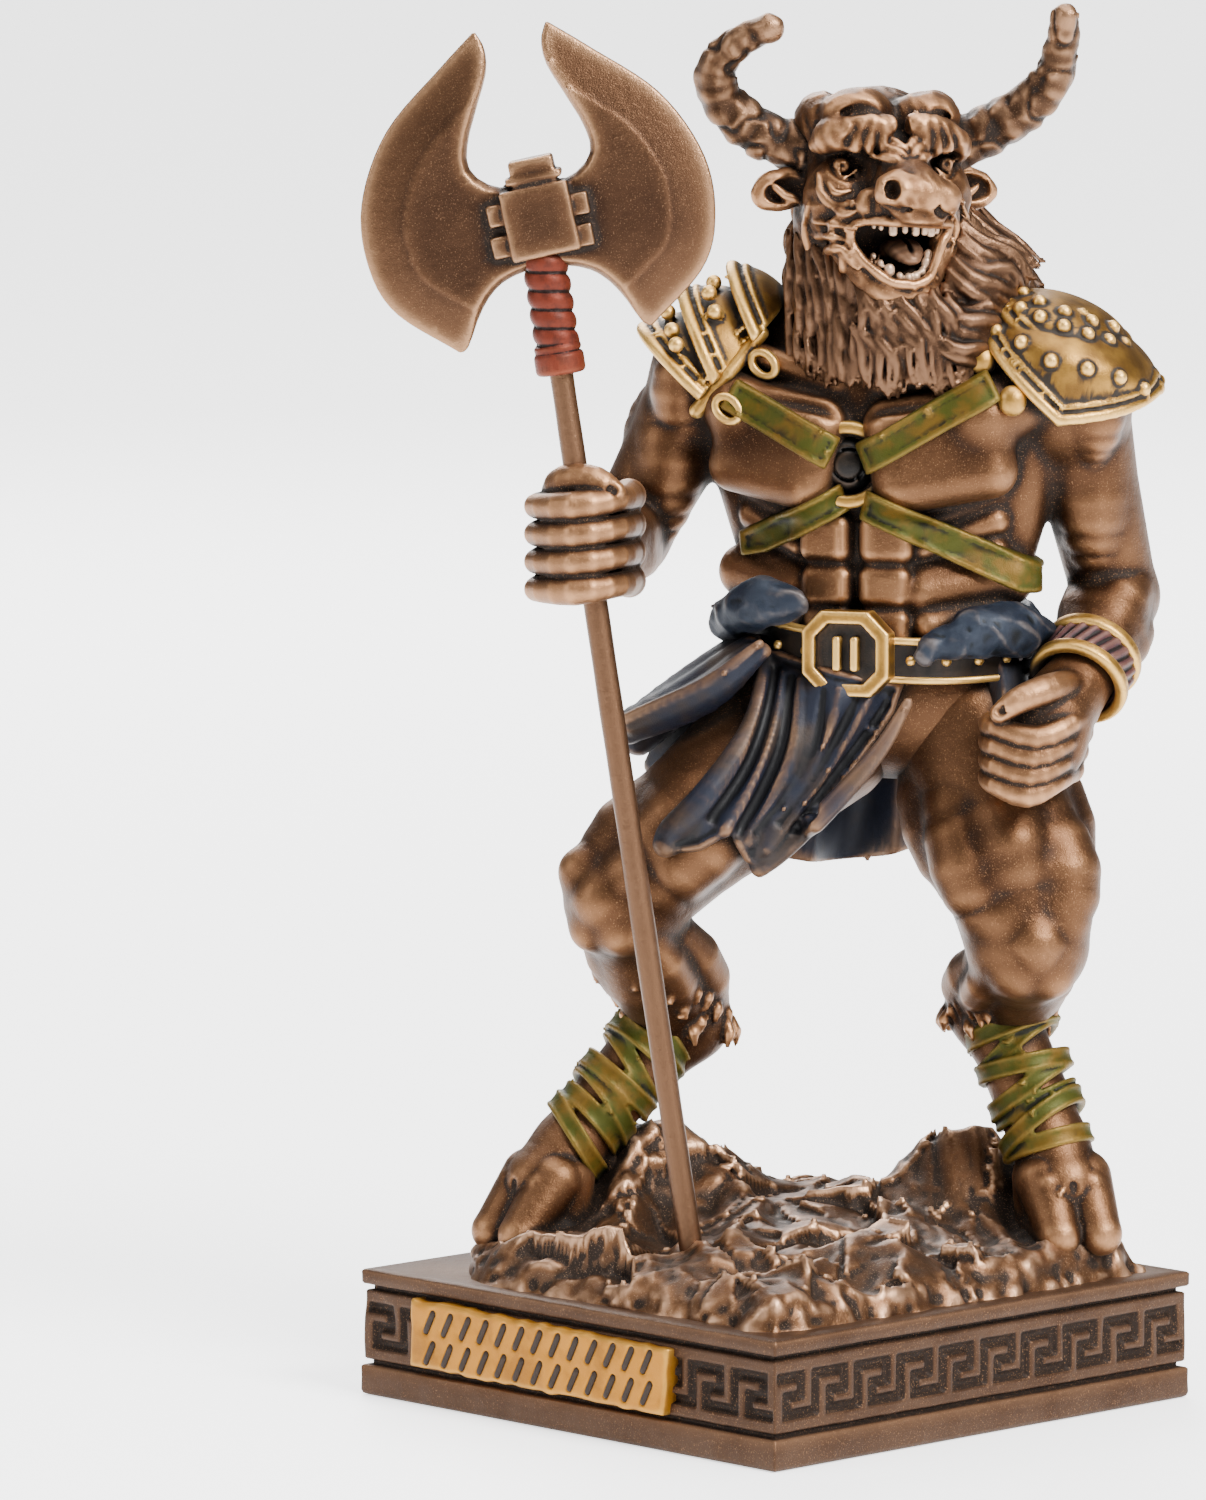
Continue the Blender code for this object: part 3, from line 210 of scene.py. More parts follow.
def block(centre: Point, half: Point, turn: Array | None = None, rounding: float = 0.2) -> Shape:
    """A box with rounded edges.

    Args:
        centre: Its middle.
        half: Half of its three sides.
        turn: The axes that it is turned to.
        rounding: The radius of its edges.

    Returns:
        The shape.
    """
    centre = np.array(centre, dtype=float)
    reach = float(np.linalg.norm(half))
    axes = np.eye(3) if turn is None else turn

    def distance(x: Array, y: Array, z: Array) -> Array:
        """The distance to the box."""
        outside = 0.0
        inside = -99.0
        for part, side in zip(local((x, y, z), centre, axes), half):
            part = np.abs(part) - side + rounding
            outside = outside + np.maximum(part, 0.0) ** 2
            inside = np.maximum(inside, part)
        return np.sqrt(outside) + np.minimum(inside, 0.0) - rounding

    return Shape(distance, centre - reach, centre + reach)


def band(
    centre: Point, turn: Array, radii: Point, half: Point, tilt: float = 0.0, tilt_at: float = 0.0
) -> Shape:
    """A flat band bent to an oval ring.

    Args:
        centre: The ring's middle.
        turn: Its axes, the third one through its opening.
        radii: The ring's two radii.
        half: Half of the band's thickness and of its height.
        tilt: How far the band rises on one side, in degrees of arc from tilt_at.
        tilt_at: Where it rises.

    Returns:
        The shape.
    """
    centre = np.array(centre, dtype=float)
    reach = max(radii) + half[0] + half[1] + abs(tilt)
    rounding = 0.8 * min(half)

    def distance(x: Array, y: Array, z: Array) -> Array:
        """The distance to the band."""
        u, v, w = local((x, y, z), centre, turn)
        angle = np.arctan2(v, u)
        ring = 1.0 / np.hypot(np.cos(angle) / radii[0], np.sin(angle) / radii[1])
        out = np.abs(np.hypot(u, v) - ring) - half[0] + rounding
        rise = np.abs(w - tilt * np.cos(angle - math.radians(tilt_at))) - half[1] + rounding
        outside = np.hypot(np.maximum(out, 0), np.maximum(rise, 0))
        return outside + np.minimum(np.maximum(out, rise), 0) - rounding

    return Shape(distance, centre - reach, centre + reach)


def region(corners: Path) -> Callable[[Array, Array], Array]:
    """The distance to a polygon in a plane, negative inside.

    Args:
        corners: Its corners in order.

    Returns:
        The distance as a function of the plane's two coordinates.
    """
    corners = np.array(corners, dtype=float)

    def distance(x: Array, z: Array) -> Array:
        """The distance to the polygon."""
        best = None
        inside = np.zeros(np.broadcast(x, z).shape, dtype=bool)
        for start, end in zip(corners, np.roll(corners, -1, axis=0)):
            run = end - start
            along = ((x - start[0]) * run[0] + (z - start[1]) * run[1]) / (float(run @ run) + 1e-9)
            along = np.clip(along, 0.0, 1.0)
            found = np.hypot(x - start[0] - along * run[0], z - start[1] - along * run[1])
            best = found if best is None else np.minimum(best, found)
            if run[1]:
                side = (z - start[1]) * (run[0] / run[1]) + start[0]
                inside ^= ((z > start[1]) != (z > end[1])) & (x < side)
        return np.where(inside, -best, best)

    return distance


def local(places: Sequence[Array], centre: Point, axes: Array) -> list[Array]:
    """Places in turned axes round a centre, from the grids of their x, y and z."""
    dx, dy, dz = (place - middle for place, middle in zip(places, centre))
    return [dx * axes[0][axis] + dy * axes[1][axis] + dz * axes[2][axis] for axis in range(3)]


def tube(
    points: Path, radii: Sequence[float], count: int, flat: Point | None = None, thin: float = 1.0
) -> Shape:
    """A limb along a smooth curve, from its radii at the start, the middle and the end."""
    return limb(curve(points, count), swell(*radii, count), flat, thin)


class Grain:
    """Smooth random values in space, the same in each run."""

    def __init__(self, seed: int) -> None:
        """Fill the table that the values come from."""
        draw = np.random.default_rng(seed)
        self.table = draw.uniform(-1.0, 1.0, (32, 32, 32)).astype(np.float32)

    def at(self, x: Array, y: Array, z: Array, size: float) -> Array:
        """The values at some places.

        Args:
            x: The places' x.
            y: Their y.
            z: Their z.
            size: How far the values take to change.

        Returns:
            Values between -1 and 1.
        """
        whole = []
        part = []
        for place in (x, y, z):
            floor = np.floor(place / size)
            share = place / size - floor
            whole.append(floor.astype(int))
            part.append(share * share * (3.0 - 2.0 * share))
        total = 0.0
        for corner in range(8):
            weight = 1.0
            index = []
            for axis in range(3):
                bit = corner >> axis & 1
                weight = weight * (part[axis] if bit else 1.0 - part[axis])
                index.append((whole[axis] + bit) % 32)
            total = total + weight * self.table[tuple(index)]
        return total


# ---- clay ----


def split_patterns() -> Array:
    """Which patterns of filled corners would make a cell's surface meet itself."""
    split = np.zeros(256, dtype=bool)
    for pattern in range(1, 255):
        for wanted in (True, False):
            corners = {index for index in range(8) if bool(pattern >> index & 1) == wanted}
            reached = {min(corners)}
            for _ in range(7):
                reached |= {index ^ bit for index in reached for bit in (1, 2, 4)} & corners
            if reached != corners:
                split[pattern] = True
    return split


SPLIT = split_patterns()


def corner_view(grid: Array, index: int) -> Array:
    """The grid seen from one of the eight corners of its cells."""
    return grid[tuple(slice(int(bit), -1 if bit == "0" else None) for bit in format(index, "03b"))]


class Grid:
    """Values at the points of a regular grid in space."""

    def __init__(self, low: Point, step: float, values: Array) -> None:
        """Keep the values.

        Args:
            low: The place of the first value.
            step: The distance between values.
            values: The values along x, y and z.
        """
        self.low = np.array(low, dtype=float)
        self.step = step
        self.values = values

    def at(self, points: Array) -> Array:
        """The values at some places, one for each row."""
        top = np.array(self.values.shape) - 1.001
        place = np.clip((points - self.low) / self.step, 0.0, top)
        base = place.astype(int)
        share = place - base
        total = np.zeros(len(points))
        for corner in range(8):
            bits = np.array([corner >> axis & 1 for axis in range(3)])
            weight = np.prod(np.where(bits, share, 1.0 - share), axis=1)
            total += weight * self.values[tuple((base + bits).T)]
        return total

    def slope(self, points: Array) -> Array:
        """The direction in which the values rise, as a unit vector for each place."""
        reach = 0.7 * self.step
        rise = [self.at(points + shift) - self.at(points - shift) for shift in np.eye(3) * reach]
        rise = np.stack(rise, axis=1)
        return rise / (np.linalg.norm(rise, axis=1, keepdims=True) + 1e-9)

    def blurred(self, times: int) -> "Grid":
        """The grid with its values blurred a number of times."""
        values = self.values.copy()
        for _ in range(times):
            for axis in range(3):
                line = np.moveaxis(values, axis, 0)
                inner = 0.5 * line[1:-1] + 0.25 * (line[:-2] + line[2:])
                line[1:-1] = inner
        return Grid(self.low, self.step, values)

    def bulge(self, points: Array, normals: Array, reach: float, ways: int = 26) -> Array:
        """How far the surface bulges at each place: the mean distance on a ball round it.

        Args:
            points: The places, one in each row.
            normals: The surface's directions there.
            reach: The ball's radius.
            ways: How many directions to try.

        Returns:
            Values near 0 where the surface is flat, positive on ridges, negative in valleys.
        """
        turns = np.arange(ways) * math.pi * (3.0 - math.sqrt(5.0))
        ups = 1.0 - (2.0 * np.arange(ways) + 1.0) / ways
        flat = np.sqrt(1.0 - ups**2)
        total = np.zeros(len(points))
        top = np.array(self.values.shape) - 1
        for way in np.stack((flat * np.cos(turns), flat * np.sin(turns), ups), axis=1):
            place = (points + reach * way - self.low) / self.step
            base = np.clip(np.rint(place).astype(int), 0, top)
            value = self.values[tuple(base.T)] + self.step * ((place - base) * normals).sum(axis=1)
            total += np.clip(value, -reach, reach)
        return total / (ways * reach * BULGE)


class Clay(Grid):
    """A grid of distances to a carved surface, negative inside."""

    def __init__(self, low: Point, high: Point, step: float) -> None:
        """An empty block of space.

        Args:
            low: The lowest corner.
            high: The highest corner.
            step: The size of the finest detail.
        """
        counts = [int(math.ceil((top - bottom) / step)) + 1 for bottom, top in zip(low, high)]
        super().__init__(low, step, np.full(counts, 50.0, dtype=np.float32))

    def window(self, low: Point, high: Point, margin: float) -> tuple[tuple[slice, ...], list[Array]]:
        """The part of the grid round a box.

        Args:
            low: The box's lowest corner.
            high: Its highest corner.
            margin: How far round the box to go.

        Returns:
            The slices of that part, and its open grid of places.
        """
        slices = []
        grids = []
        for axis in range(3):
            first = int((low[axis] - margin - self.low[axis]) / self.step)
            last = int((high[axis] + margin - self.low[axis]) / self.step) + 2
            first = min(max(first, 0), self.values.shape[axis])
            last = min(max(last, 0), self.values.shape[axis])
            slices.append(slice(first, last))
            line = self.low[axis] + self.step * np.arange(first, last)
            shape = [1, 1, 1]
            shape[axis] = -1
            grids.append(line.astype(np.float32).reshape(shape))
        return tuple(slices), grids

    def add(self, shape: Shape, soft: float = 0.6) -> None:
        """Add a shape, rounded over a width where it meets the clay."""
        slices, grids = self.window(shape.low, shape.high, soft + 2.5 * self.step)
        old = self.values[slices]
        if old.size:
            self.values[slices] = smooth_min(old, shape.distance(*grids), soft)

    def cut(self, shape: Shape, soft: float = 0.3) -> None:
        """Cut a shape away, rounded over a width."""
        slices, grids = self.window(shape.low, shape.high, soft + 2.5 * self.step)
        old = self.values[slices]
        if old.size:
            self.values[slices] = -smooth_min(-old, shape.distance(*grids), soft)

    def front(self, x: float, z: float, depth: float) -> float:
        """Where the clay is first met, looking from the front.

        Args:
            x: The place's x.
            z: The place's z.
            depth: The y to give where nothing is met.

        Returns:
            The y of the clay's front.
        """
        column = (x - self.low[0]) / self.step, (z - self.low[2]) / self.step
        i, k = (int(place) for place in column)
        if not (0 <= i < self.values.shape[0] - 1 and 0 <= k < self.values.shape[2] - 1):
            return depth
        s, t = column[0] - i, column[1] - k
        near = self.values[i : i + 2, :, k : k + 2]
        line = (near[0] * (1 - s) + near[1] * s) @ np.array((1 - t, t))
        inside = np.flatnonzero(line < 0)
        if not len(inside) or inside[0] == 0:
            return depth
        first = inside[0]
        share = line[first - 1] / (line[first - 1] - line[first])
        return float(self.low[1] + self.step * (first - 1 + share))

    def on_front(self, path: Path, lift: float, depth: float, count: int) -> Array:
        """A smooth line drawn on the clay's front.

        Args:
            path: The x and z of its places.
            lift: How far in front of the clay the line lies.
            depth: The y to take where there is no clay.
            count: How many points to give back.

        Returns:
            The line's points.
        """
        flat = curve(path, count)
        return np.array([(x, self.front(x, z, depth) - lift, z) for x, z in flat])

    def strand(self, path: Path, radii: Sequence[float], lift: float, depth: float) -> Shape:
        """A strand that follows the clay's front.

        Args:
            path: The x and z of its places.
            radii: Its radius at the start, the middle and the end.
            lift: How far in front of the clay its middle lies.
            depth: The y to take where there is no clay.

        Returns:
            The strand's shape.
        """
        count = 3 + 3 * len(path)
        return limb(self.on_front(path, lift, depth, count), swell(*radii, count))

    def only(self, shell: Array, slices: tuple[slice, ...]) -> None:
        """Keep nothing but a shell that was worked out on a part of the grid."""
        self.values[:] = 50.0
        self.values[slices] = shell

    def fill_splits(self) -> None:
        """Fill the cells where the surface would meet itself at an edge or a corner."""
        for _ in range(20):
            pattern = np.zeros([count - 1 for count in self.values.shape], dtype=np.uint8)
            for index in range(8):
                pattern |= (corner_view(self.values, index) < 0).astype(np.uint8) << index
            found = SPLIT[pattern]
            if not found.any():
                return
            for index in range(8):
                view = corner_view(self.values, index)
                view[found & (view >= 0)] = -0.05 * self.step

    def skin(self) -> tuple[Array, Array]:
        """The clay's surface, one point in each cell that it crosses.

        Returns:
            The points, and the four-sided faces between them.
        """
        self.fill_splits()
        values = self.values
        cells = np.array([count - 1 for count in values.shape])
        rounds = []
        places_of = []
        for axis in range(3):
            before = [slice(None)] * 3
            after = [slice(None)] * 3
            before[axis] = slice(0, -1)
            after[axis] = slice(1, None)
            low, high = values[tuple(before)], values[tuple(after)]
            places = np.argwhere((low < 0) != (high < 0))
            first = low[tuple(places.T)]
            second = high[tuple(places.T)]
            points = places.astype(float)
            points[:, axis] += first / (first - second)
            one, two = [(axis + turn) % 3 for turn in (1, 2)]
            inner = (places[:, one] > 0) & (places[:, two] > 0)
            inner &= (places[:, one] < cells[one]) & (places[:, two] < cells[two])
            corners = []
            for shift_one, shift_two in ((0, 0), (1, 0), (1, 1), (0, 1)):
                cell = places[inner].copy()
                cell[:, one] -= shift_one
                cell[:, two] -= shift_two
                corners.append(np.ravel_multi_index(tuple(cell.T), cells))
            around = np.stack(corners, axis=1)
            flip = first[inner] >= 0
            around[flip] = around[flip][:, ::-1]
            rounds.append(around)
            places_of.append(points[inner])
        ids, number = np.unique(np.concatenate(rounds), return_inverse=True)
        number = number.reshape(-1, 4)
        where = np.concatenate(places_of)
        sums = np.zeros((len(ids), 3))
        counts = np.bincount(number.ravel(), minlength=len(ids))
        for part in range(3):
            sums[:, part] = np.bincount(number.ravel(), np.repeat(where[:, part], 4), len(ids))
        points = sums / counts[:, None] * self.step + self.low
        return self.smoothed(points), number

    def smoothed(self, points: Array) -> Array:
        """The skin's points moved onto the surface itself."""
        for _ in range(2):
            value = np.clip(self.at(points), -0.5 * self.step, 0.5 * self.step)
            points = points - 0.8 * value[:, None] * self.slope(points)
        return points


# ---- finishes ----


class Socket:
    """A node's output, with arithmetic that adds Math nodes."""

    def __init__(self, paint: "Paint", output: bpy.types.NodeSocket) -> None:
        """Keep the output and the material that it is in."""
        self.paint = paint
        self.output = output

    def math(self, operation: str, *others: "Socket | float") -> "Socket":
        """A Math node on this value and others."""
        return self.paint.node("ShaderNodeMath", {"operation": operation}, dict(enumerate((self, *others))))

    def __add__(self, other: "Socket | float") -> "Socket":
        """This value plus another."""
        return self.math("ADD", other)

    __radd__ = __add__

    def __mul__(self, other: "Socket | float") -> "Socket":
        """This value times another."""
        return self.math("MULTIPLY", other)

    __rmul__ = __mul__

    def __sub__(self, other: "Socket | float") -> "Socket":
        """This value less another."""
        return self.math("SUBTRACT", other)

    def __rsub__(self, other: float) -> "Socket":
        """A number less this value."""
        return self * -1.0 + other

    def steps(self, low: float, high: float) -> "Socket":
        """This value's share of the way from low to high, smoothed and kept within 0 and 1."""
        inputs = {"Value": self, "From Min": low, "From Max": high}
        return self.paint.node("ShaderNodeMapRange", {"interpolation_type": "SMOOTHSTEP"}, inputs)


Colour = tuple[float, float, float]
DULL = 0.22


class Paint:
    """A material under work, with short ways to add its nodes."""

    def __init__(self, name: str) -> None:
        """A new material with one Principled shader."""
        self.material = bpy.data.materials.new(name)
        self.material.use_nodes = True
        self.tree = self.material.node_tree
        self.shader = self.tree.nodes["Principled BSDF"]
        self.place = self.node("ShaderNodeTexCoord", {}, {}, "Object")

    def set(self, socket: bpy.types.NodeSocket, value: object) -> None:
        """Link a socket or set it to a constant."""
        if isinstance(value, Socket):
            self.tree.links.new(value.output, socket)
        elif isinstance(value, tuple) and len(value) == 3 and socket.type == "RGBA":
            socket.default_value = (*value, 1.0)
        else:
            socket.default_value = value

    def node(self, kind: str, settings: dict, inputs: dict, output: str | int = 0) -> Socket:
        """Add a node.

        Args:
            kind: The node's type.
            settings: The values of its properties.
            inputs: The values or links of its sockets, by name or number.
            output: The name or number of the output that is wanted.

        Returns:
            That output.
        """
        node = self.tree.nodes.new(kind)
        for name, value in settings.items():
            setattr(node, name, value)
        for name, value in inputs.items():
            self.set(node.inputs[name], value)
        return Socket(self, node.outputs[output])

    def attribute(self, name: str) -> Socket:
        """A value that was worked out for each of the mesh's points."""
        return self.node("ShaderNodeAttribute", {"attribute_name": name}, {}, "Fac")

    def noise(self, size: float, detail: float = 2.0, rough: float = 0.5) -> Socket:
        """Soft random patches of a size in millimetres, from 0 to 1."""
        inputs = {"Vector": self.place, "Scale": 1.0 / (size * MM), "Detail": detail, "Roughness": rough}
        return self.node("ShaderNodeTexNoise", {}, inputs, "Fac")

    def mix(self, share: "Socket | float", first: object, second: object) -> Socket:
        """A colour between two others."""
        node = self.tree.nodes.new("ShaderNodeMix")
        node.data_type = "RGBA"
        for name, value in (("Factor_Float", share), ("A_Color", first), ("B_Color", second)):
            socket = next(item for item in node.inputs if item.identifier == name)
            self.set(socket, value)
        return Socket(self, next(item for item in node.outputs if item.identifier == "Result_Color"))

    def bump(self, height: Socket, depth: float, before: Socket | None = None) -> Socket:
        """A finer surface from a height, whose full range is a depth in millimetres."""
        inputs = {"Height": height, "Distance": depth * MM, "Strength": 1.0}
        if before is not None:
            inputs["Normal"] = before
        return self.node("ShaderNodeBump", {}, inputs)

    def finish(self, **inputs: object) -> bpy.types.Material:
        """Set the shader's own sockets, by their names with underscores, and give the material."""
        for name, value in inputs.items():
            self.set(self.shader.inputs[name.replace("_", " ")], value)
        return self.material


@dataclass(frozen=True)
class AgedBronze:
    """Cold-cast bronze: brown metal washed dark in its hollows, darkened by painted shade where the figure's
    parts crowd round, and pale on its rubbed ridges.
    """

    name: str = "aged_bronze_carving"
    wash: Colour = (0.010, 0.006, 0.004)
    low: Colour = (0.036, 0.016, 0.008)
    middle: Colour = (0.12, 0.057, 0.027)
    rubbed: Colour = (0.48, 0.25, 0.12)
    metallic: float = 0.9
    grain: float = 0.10
    # how strongly the painted shade where parts crowd round darkens the colour
    darkness: float = 1.0

    def build(self) -> bpy.types.Material:
        """The material."""
        paint = Paint(self.name)
        crease = paint.attribute("crease")
        form = paint.attribute("form")
        shade_and_wash_mask = paint.attribute("shade_and_wash_mask")
        patches = paint.noise(5.0, 3.0)
        specks = paint.noise(self.grain, 1.0, 0.6)
        tone = form * 0.5 + crease * 0.3 + patches * 0.6
        colour = paint.mix(tone.steps(0.05, 0.75), self.low, self.middle)
        worn = (crease * 0.7 + form * 0.5 + patches * 0.3).steps(0.45, 1.5) * 0.7
        colour = paint.mix(worn, colour, self.rubbed)
        hollow = (crease * -1.0 + form * -0.3 + patches * 0.3 - 0.15).steps(0.02, 0.45)
        # painted shade where the figure's parts crowd round, on top of the dark patina in the hollows
        deep = (shade_and_wash_mask + patches * 0.08).steps(0.47, 0.64)
        dark = (hollow * 0.9).math("MAXIMUM", deep * self.darkness)
        # the near-black colour stands for both the hollows' patina and that painted shade
        colour = paint.mix(dark, colour, self.wash)
        colour = paint.mix((specks - 0.5).steps(0.08, 0.3) * 0.35, colour, self.rubbed)
        rough = 0.36 + dark * 0.2 + specks * 0.16 - crease.steps(0.2, 1.2) * 0.06
        fine = paint.bump(specks, 0.022)
        normal = paint.bump(paint.noise(0.7, 3.0), 0.05, fine)
        metal = self.metallic - dark * 0.5
        paint.finish(Base_Color=colour, Roughness=rough, Metallic=metal, Normal=normal)
        return paint.finish(Specular_IOR_Level=DULL)


@dataclass(frozen=True)
class PaintedGold:
    """Gold paint over the bronze, thin on the ridges, washed dark in the hollows and darkened by painted
    shade where parts crowd round.
    """

    name: str = "painted_gold"
    wash: Colour = (0.012, 0.007, 0.003)
    low: Colour = (0.13, 0.065, 0.016)
    middle: Colour = (0.36, 0.19, 0.036)
    bright: Colour = (0.72, 0.44, 0.13)
    metallic: float = 0.9

    def build(self) -> bpy.types.Material:
        """The material."""
        paint = Paint(self.name)
        crease = paint.attribute("crease")
        shade_and_wash_mask = paint.attribute("shade_and_wash_mask")
        patches = paint.noise(1.6, 3.0)
        specks = paint.noise(0.1, 1.0)
        colour = paint.mix((patches + crease * 0.4).steps(0.3, 0.9), self.low, self.middle)
        colour = paint.mix(crease.steps(0.3, 1.4), colour, self.bright)
        hollow = (crease * -1.0 + patches * 0.4 - 0.2).steps(0.0, 0.4)
        # the hollows' dark patina, and painted shade where the figure's parts crowd round
        dark = hollow.math("MAXIMUM", (shade_and_wash_mask + patches * 0.06).steps(0.47, 0.64))
        colour = paint.mix(dark, colour, self.wash)
        rough = 0.34 + dark * 0.2 + specks * 0.14
        normal = paint.bump(specks, 0.016)
        metal = self.metallic - dark * 0.4
        return paint.finish(Base_Color=colour, Roughness=rough, Metallic=metal, Normal=normal)


@dataclass(frozen=True)
class Stain:
    """A thin coloured stain over the cast relief, worn off on the ridges, dark in the folds and darkened by
    painted shade where parts crowd round.
    """

    name: str
    dark: Colour
    main: Colour
    patch: Colour
    worn: Colour
    wear: float = 0.7
    patch_size: float = 3.0
    metallic: float = 0.25
    roughness: float = 0.42

    def build(self) -> bpy.types.Material:
        """The material."""
        paint = Paint(self.name)
        crease = paint.attribute("crease")
        form = paint.attribute("form")
        shade_and_wash_mask = paint.attribute("shade_and_wash_mask")
        patches = paint.noise(self.patch_size, 3.0, 0.6)
        specks = paint.noise(0.1, 1.0, 0.6)
        colour = paint.mix(patches.steps(0.42, 0.66), self.main, self.patch)
        worn = (crease * 0.8 + form * 0.4 + patches * 0.4 - 0.2).steps(0.6, 1.7) * self.wear
        colour = paint.mix(worn, colour, self.worn)
        hollow = (crease * -1.0 + patches * 0.3 - 0.15).steps(0.02, 0.5)
        # the folds' dark patina, and painted shade where the figure's parts crowd round
        dark = hollow.math("MAXIMUM", (shade_and_wash_mask + patches * 0.06).steps(0.48, 0.66))
        colour = paint.mix(dark, colour, self.dark)
        rough = self.roughness + specks * 0.16 - worn * 0.06
        metal = self.metallic + worn * 0.35
        normal = paint.bump(specks, 0.016)
        paint.finish(Base_Color=colour, Roughness=rough, Metallic=metal, Normal=normal)
        return paint.finish(Specular_IOR_Level=DULL)


@dataclass(frozen=True)
class PaleFloor:
    """The pale floor, which glows as painted light: faint well in front of the figure and brightest behind
    it.
    """

    name: str = "glowing_pale_floor"
    glow: float = 3.0

    def build(self) -> bpy.types.Material:
        """The material."""
        paint = Paint(self.name)
        tone = paint.mix(paint.noise(30.0, 2.0) * 0.2, (0.93, 0.93, 0.94), (0.88, 0.88, 0.89))
        # the emission is painted light: faint well in front of the figure, half bright near it, full behind
        # it
        settings = {"operation": "DOT_PRODUCT"}
        ahead = (-math.sin(TURN), math.cos(TURN), 0.0)
        back = paint.node("ShaderNodeVectorMath", settings, {0: paint.place, 1: ahead}, "Value")
        near = paint.mix(back.steps(-0.30, -0.10), (0.04, 0.04, 0.04), (0.45, 0.45, 0.45))
        glow = paint.mix(back.steps(-0.05, 0.9), near, (1.0, 1.0, 1.0))
        return paint.finish(Base_Color=tone, Roughness=0.45, Emission_Color=glow, Emission_Strength=self.glow)


class Finish(Enum):
    """The finishes of the figurine's surfaces."""

    BRONZE = AgedBronze()
    HAIR = AgedBronze(
        "aged_bronze_hair", low=(0.01, 0.006, 0.004), middle=(0.036, 0.018, 0.01),
        rubbed=(0.17, 0.09, 0.05),
    )
    AXE = AgedBronze(
        "aged_bronze_axe", low=(0.03, 0.015, 0.009), middle=(0.085, 0.042, 0.022),
        rubbed=(0.34, 0.19, 0.1),
    )
    SHAFT = AgedBronze(
        "aged_bronze_shaft", low=(0.04, 0.02, 0.012), middle=(0.08, 0.04, 0.021),
        rubbed=(0.15, 0.08, 0.045),
    )
    HORN = AgedBronze(
        "aged_bronze_horn", low=(0.016, 0.009, 0.006), middle=(0.06, 0.031, 0.017),
        rubbed=(0.3, 0.165, 0.09),
    )
    PLINTH = AgedBronze("aged_bronze_plinth", middle=(0.21, 0.11, 0.06), darkness=1.2)
    ROCK = AgedBronze("aged_bronze_rock", low=(0.06, 0.034, 0.021), rubbed=(0.5, 0.3, 0.18))
    GOLD = PaintedGold()
    STRAP = Stain(
        "green_strap", (0.006, 0.006, 0.002), (0.036, 0.038, 0.003), (0.085, 0.046, 0.004),
        (0.22, 0.13, 0.03), 0.4, 2.2, 0.45,
    )
    CLOTH = Stain(
        "dark_cloth", (0.003, 0.003, 0.004), (0.008, 0.01, 0.018), (0.022, 0.015, 0.012),
        (0.2, 0.11, 0.06), 0.75, 4.0,
    )
    SASH = Stain(
        "blue_black_sash", (0.002, 0.003, 0.004), (0.008, 0.012, 0.021), (0.018, 0.024, 0.036),
        (0.12, 0.1, 0.09), 0.55, 2.0, 0.3,
    )
    LACQUER = Stain(
        "black_lacquer", (0.002, 0.002, 0.002), (0.008, 0.006, 0.005), (0.014, 0.01, 0.007),
        (0.1, 0.06, 0.035), 0.5, 1.5, 0.2, 0.34,
    )
    LACING = Stain(
        "purple_lacing", (0.006, 0.003, 0.003), (0.055, 0.02, 0.02), (0.035, 0.014, 0.02),
        (0.16, 0.08, 0.06), 0.6, 0.9, 0.2,
    )
    CORD = Stain(
        "red_cord", (0.01, 0.003, 0.002), (0.1, 0.016, 0.007), (0.055, 0.011, 0.006), (0.22, 0.06, 0.03),
        0.5, 1.0, 0.45,
    )
    OCHRE = Stain(
        "ochre_plate", (0.02, 0.01, 0.002), (0.36, 0.15, 0.014), (0.25, 0.1, 0.01), (0.5, 0.28, 0.06),
        0.5, 2.5, 0.65, 0.42,
    )
    INK = Stain(
        "black_strokes", (0.003, 0.002, 0.002), (0.01, 0.007, 0.005), (0.02, 0.012, 0.008),
        (0.05, 0.03, 0.02), 0.3, 0.8, 0.1, 0.5,
    )
    BONE = Stain(
        "bone_teeth", (0.05, 0.03, 0.015), (0.3, 0.19, 0.12), (0.36, 0.23, 0.15), (0.55, 0.38, 0.26),
        0.7, 0.6, 0.4, 0.4,
    )
    # near black as the shade inside the open mouth, with bronze showing on its worn ridges
    MOUTH = Stain(
        "mouth_painted_shade", (0.003, 0.002, 0.002), (0.02, 0.011, 0.007), (0.035, 0.02, 0.012),
        (0.22, 0.12, 0.07), 0.8, 0.6, 0.3, 0.45,
    )
    FLOOR = PaleFloor()


class Dresser:
    """Makes each finish once and gives it to the pieces."""

    def __init__(self) -> None:
        """Start with no finishes."""
        self.made: dict[Finish, bpy.types.Material] = {}

    def material(self, finish: Finish) -> bpy.types.Material:
        """The material of a finish, made on its first use."""
        if finish not in self.made:
            self.made[finish] = finish.value.build()
        return self.made[finish]


# ---- casting ----


class Node(Enum):
    """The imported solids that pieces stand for."""

    FIGURE = "minotaur"
    AXE = "axe"


FINE_REACH = 0.38
FORM_REACH = 1.1
BULGE = 0.2
OPEN_SHADE_AND_WASH_MASK = 0.5


def to_world(points: Array) -> Array:
    """Places in metres in the model's frame, from places in the figure's."""
    x, y, z = np.array(points, dtype=float).reshape(-1, 3).T
    cos, sin = math.cos(TURN), math.sin(TURN)
    return MM * np.stack((cos * x - sin * y, sin * x + cos * y, z), axis=1)


def from_world(points: Array) -> Array:
    """Places in the figure's frame, from places in metres in the model's."""
    x, y, z = (np.array(points, dtype=float).reshape(-1, 3) / MM).T
    cos, sin = math.cos(TURN), math.sin(TURN)
    return np.stack((cos * x + sin * y, cos * y - sin * x, z), axis=1)


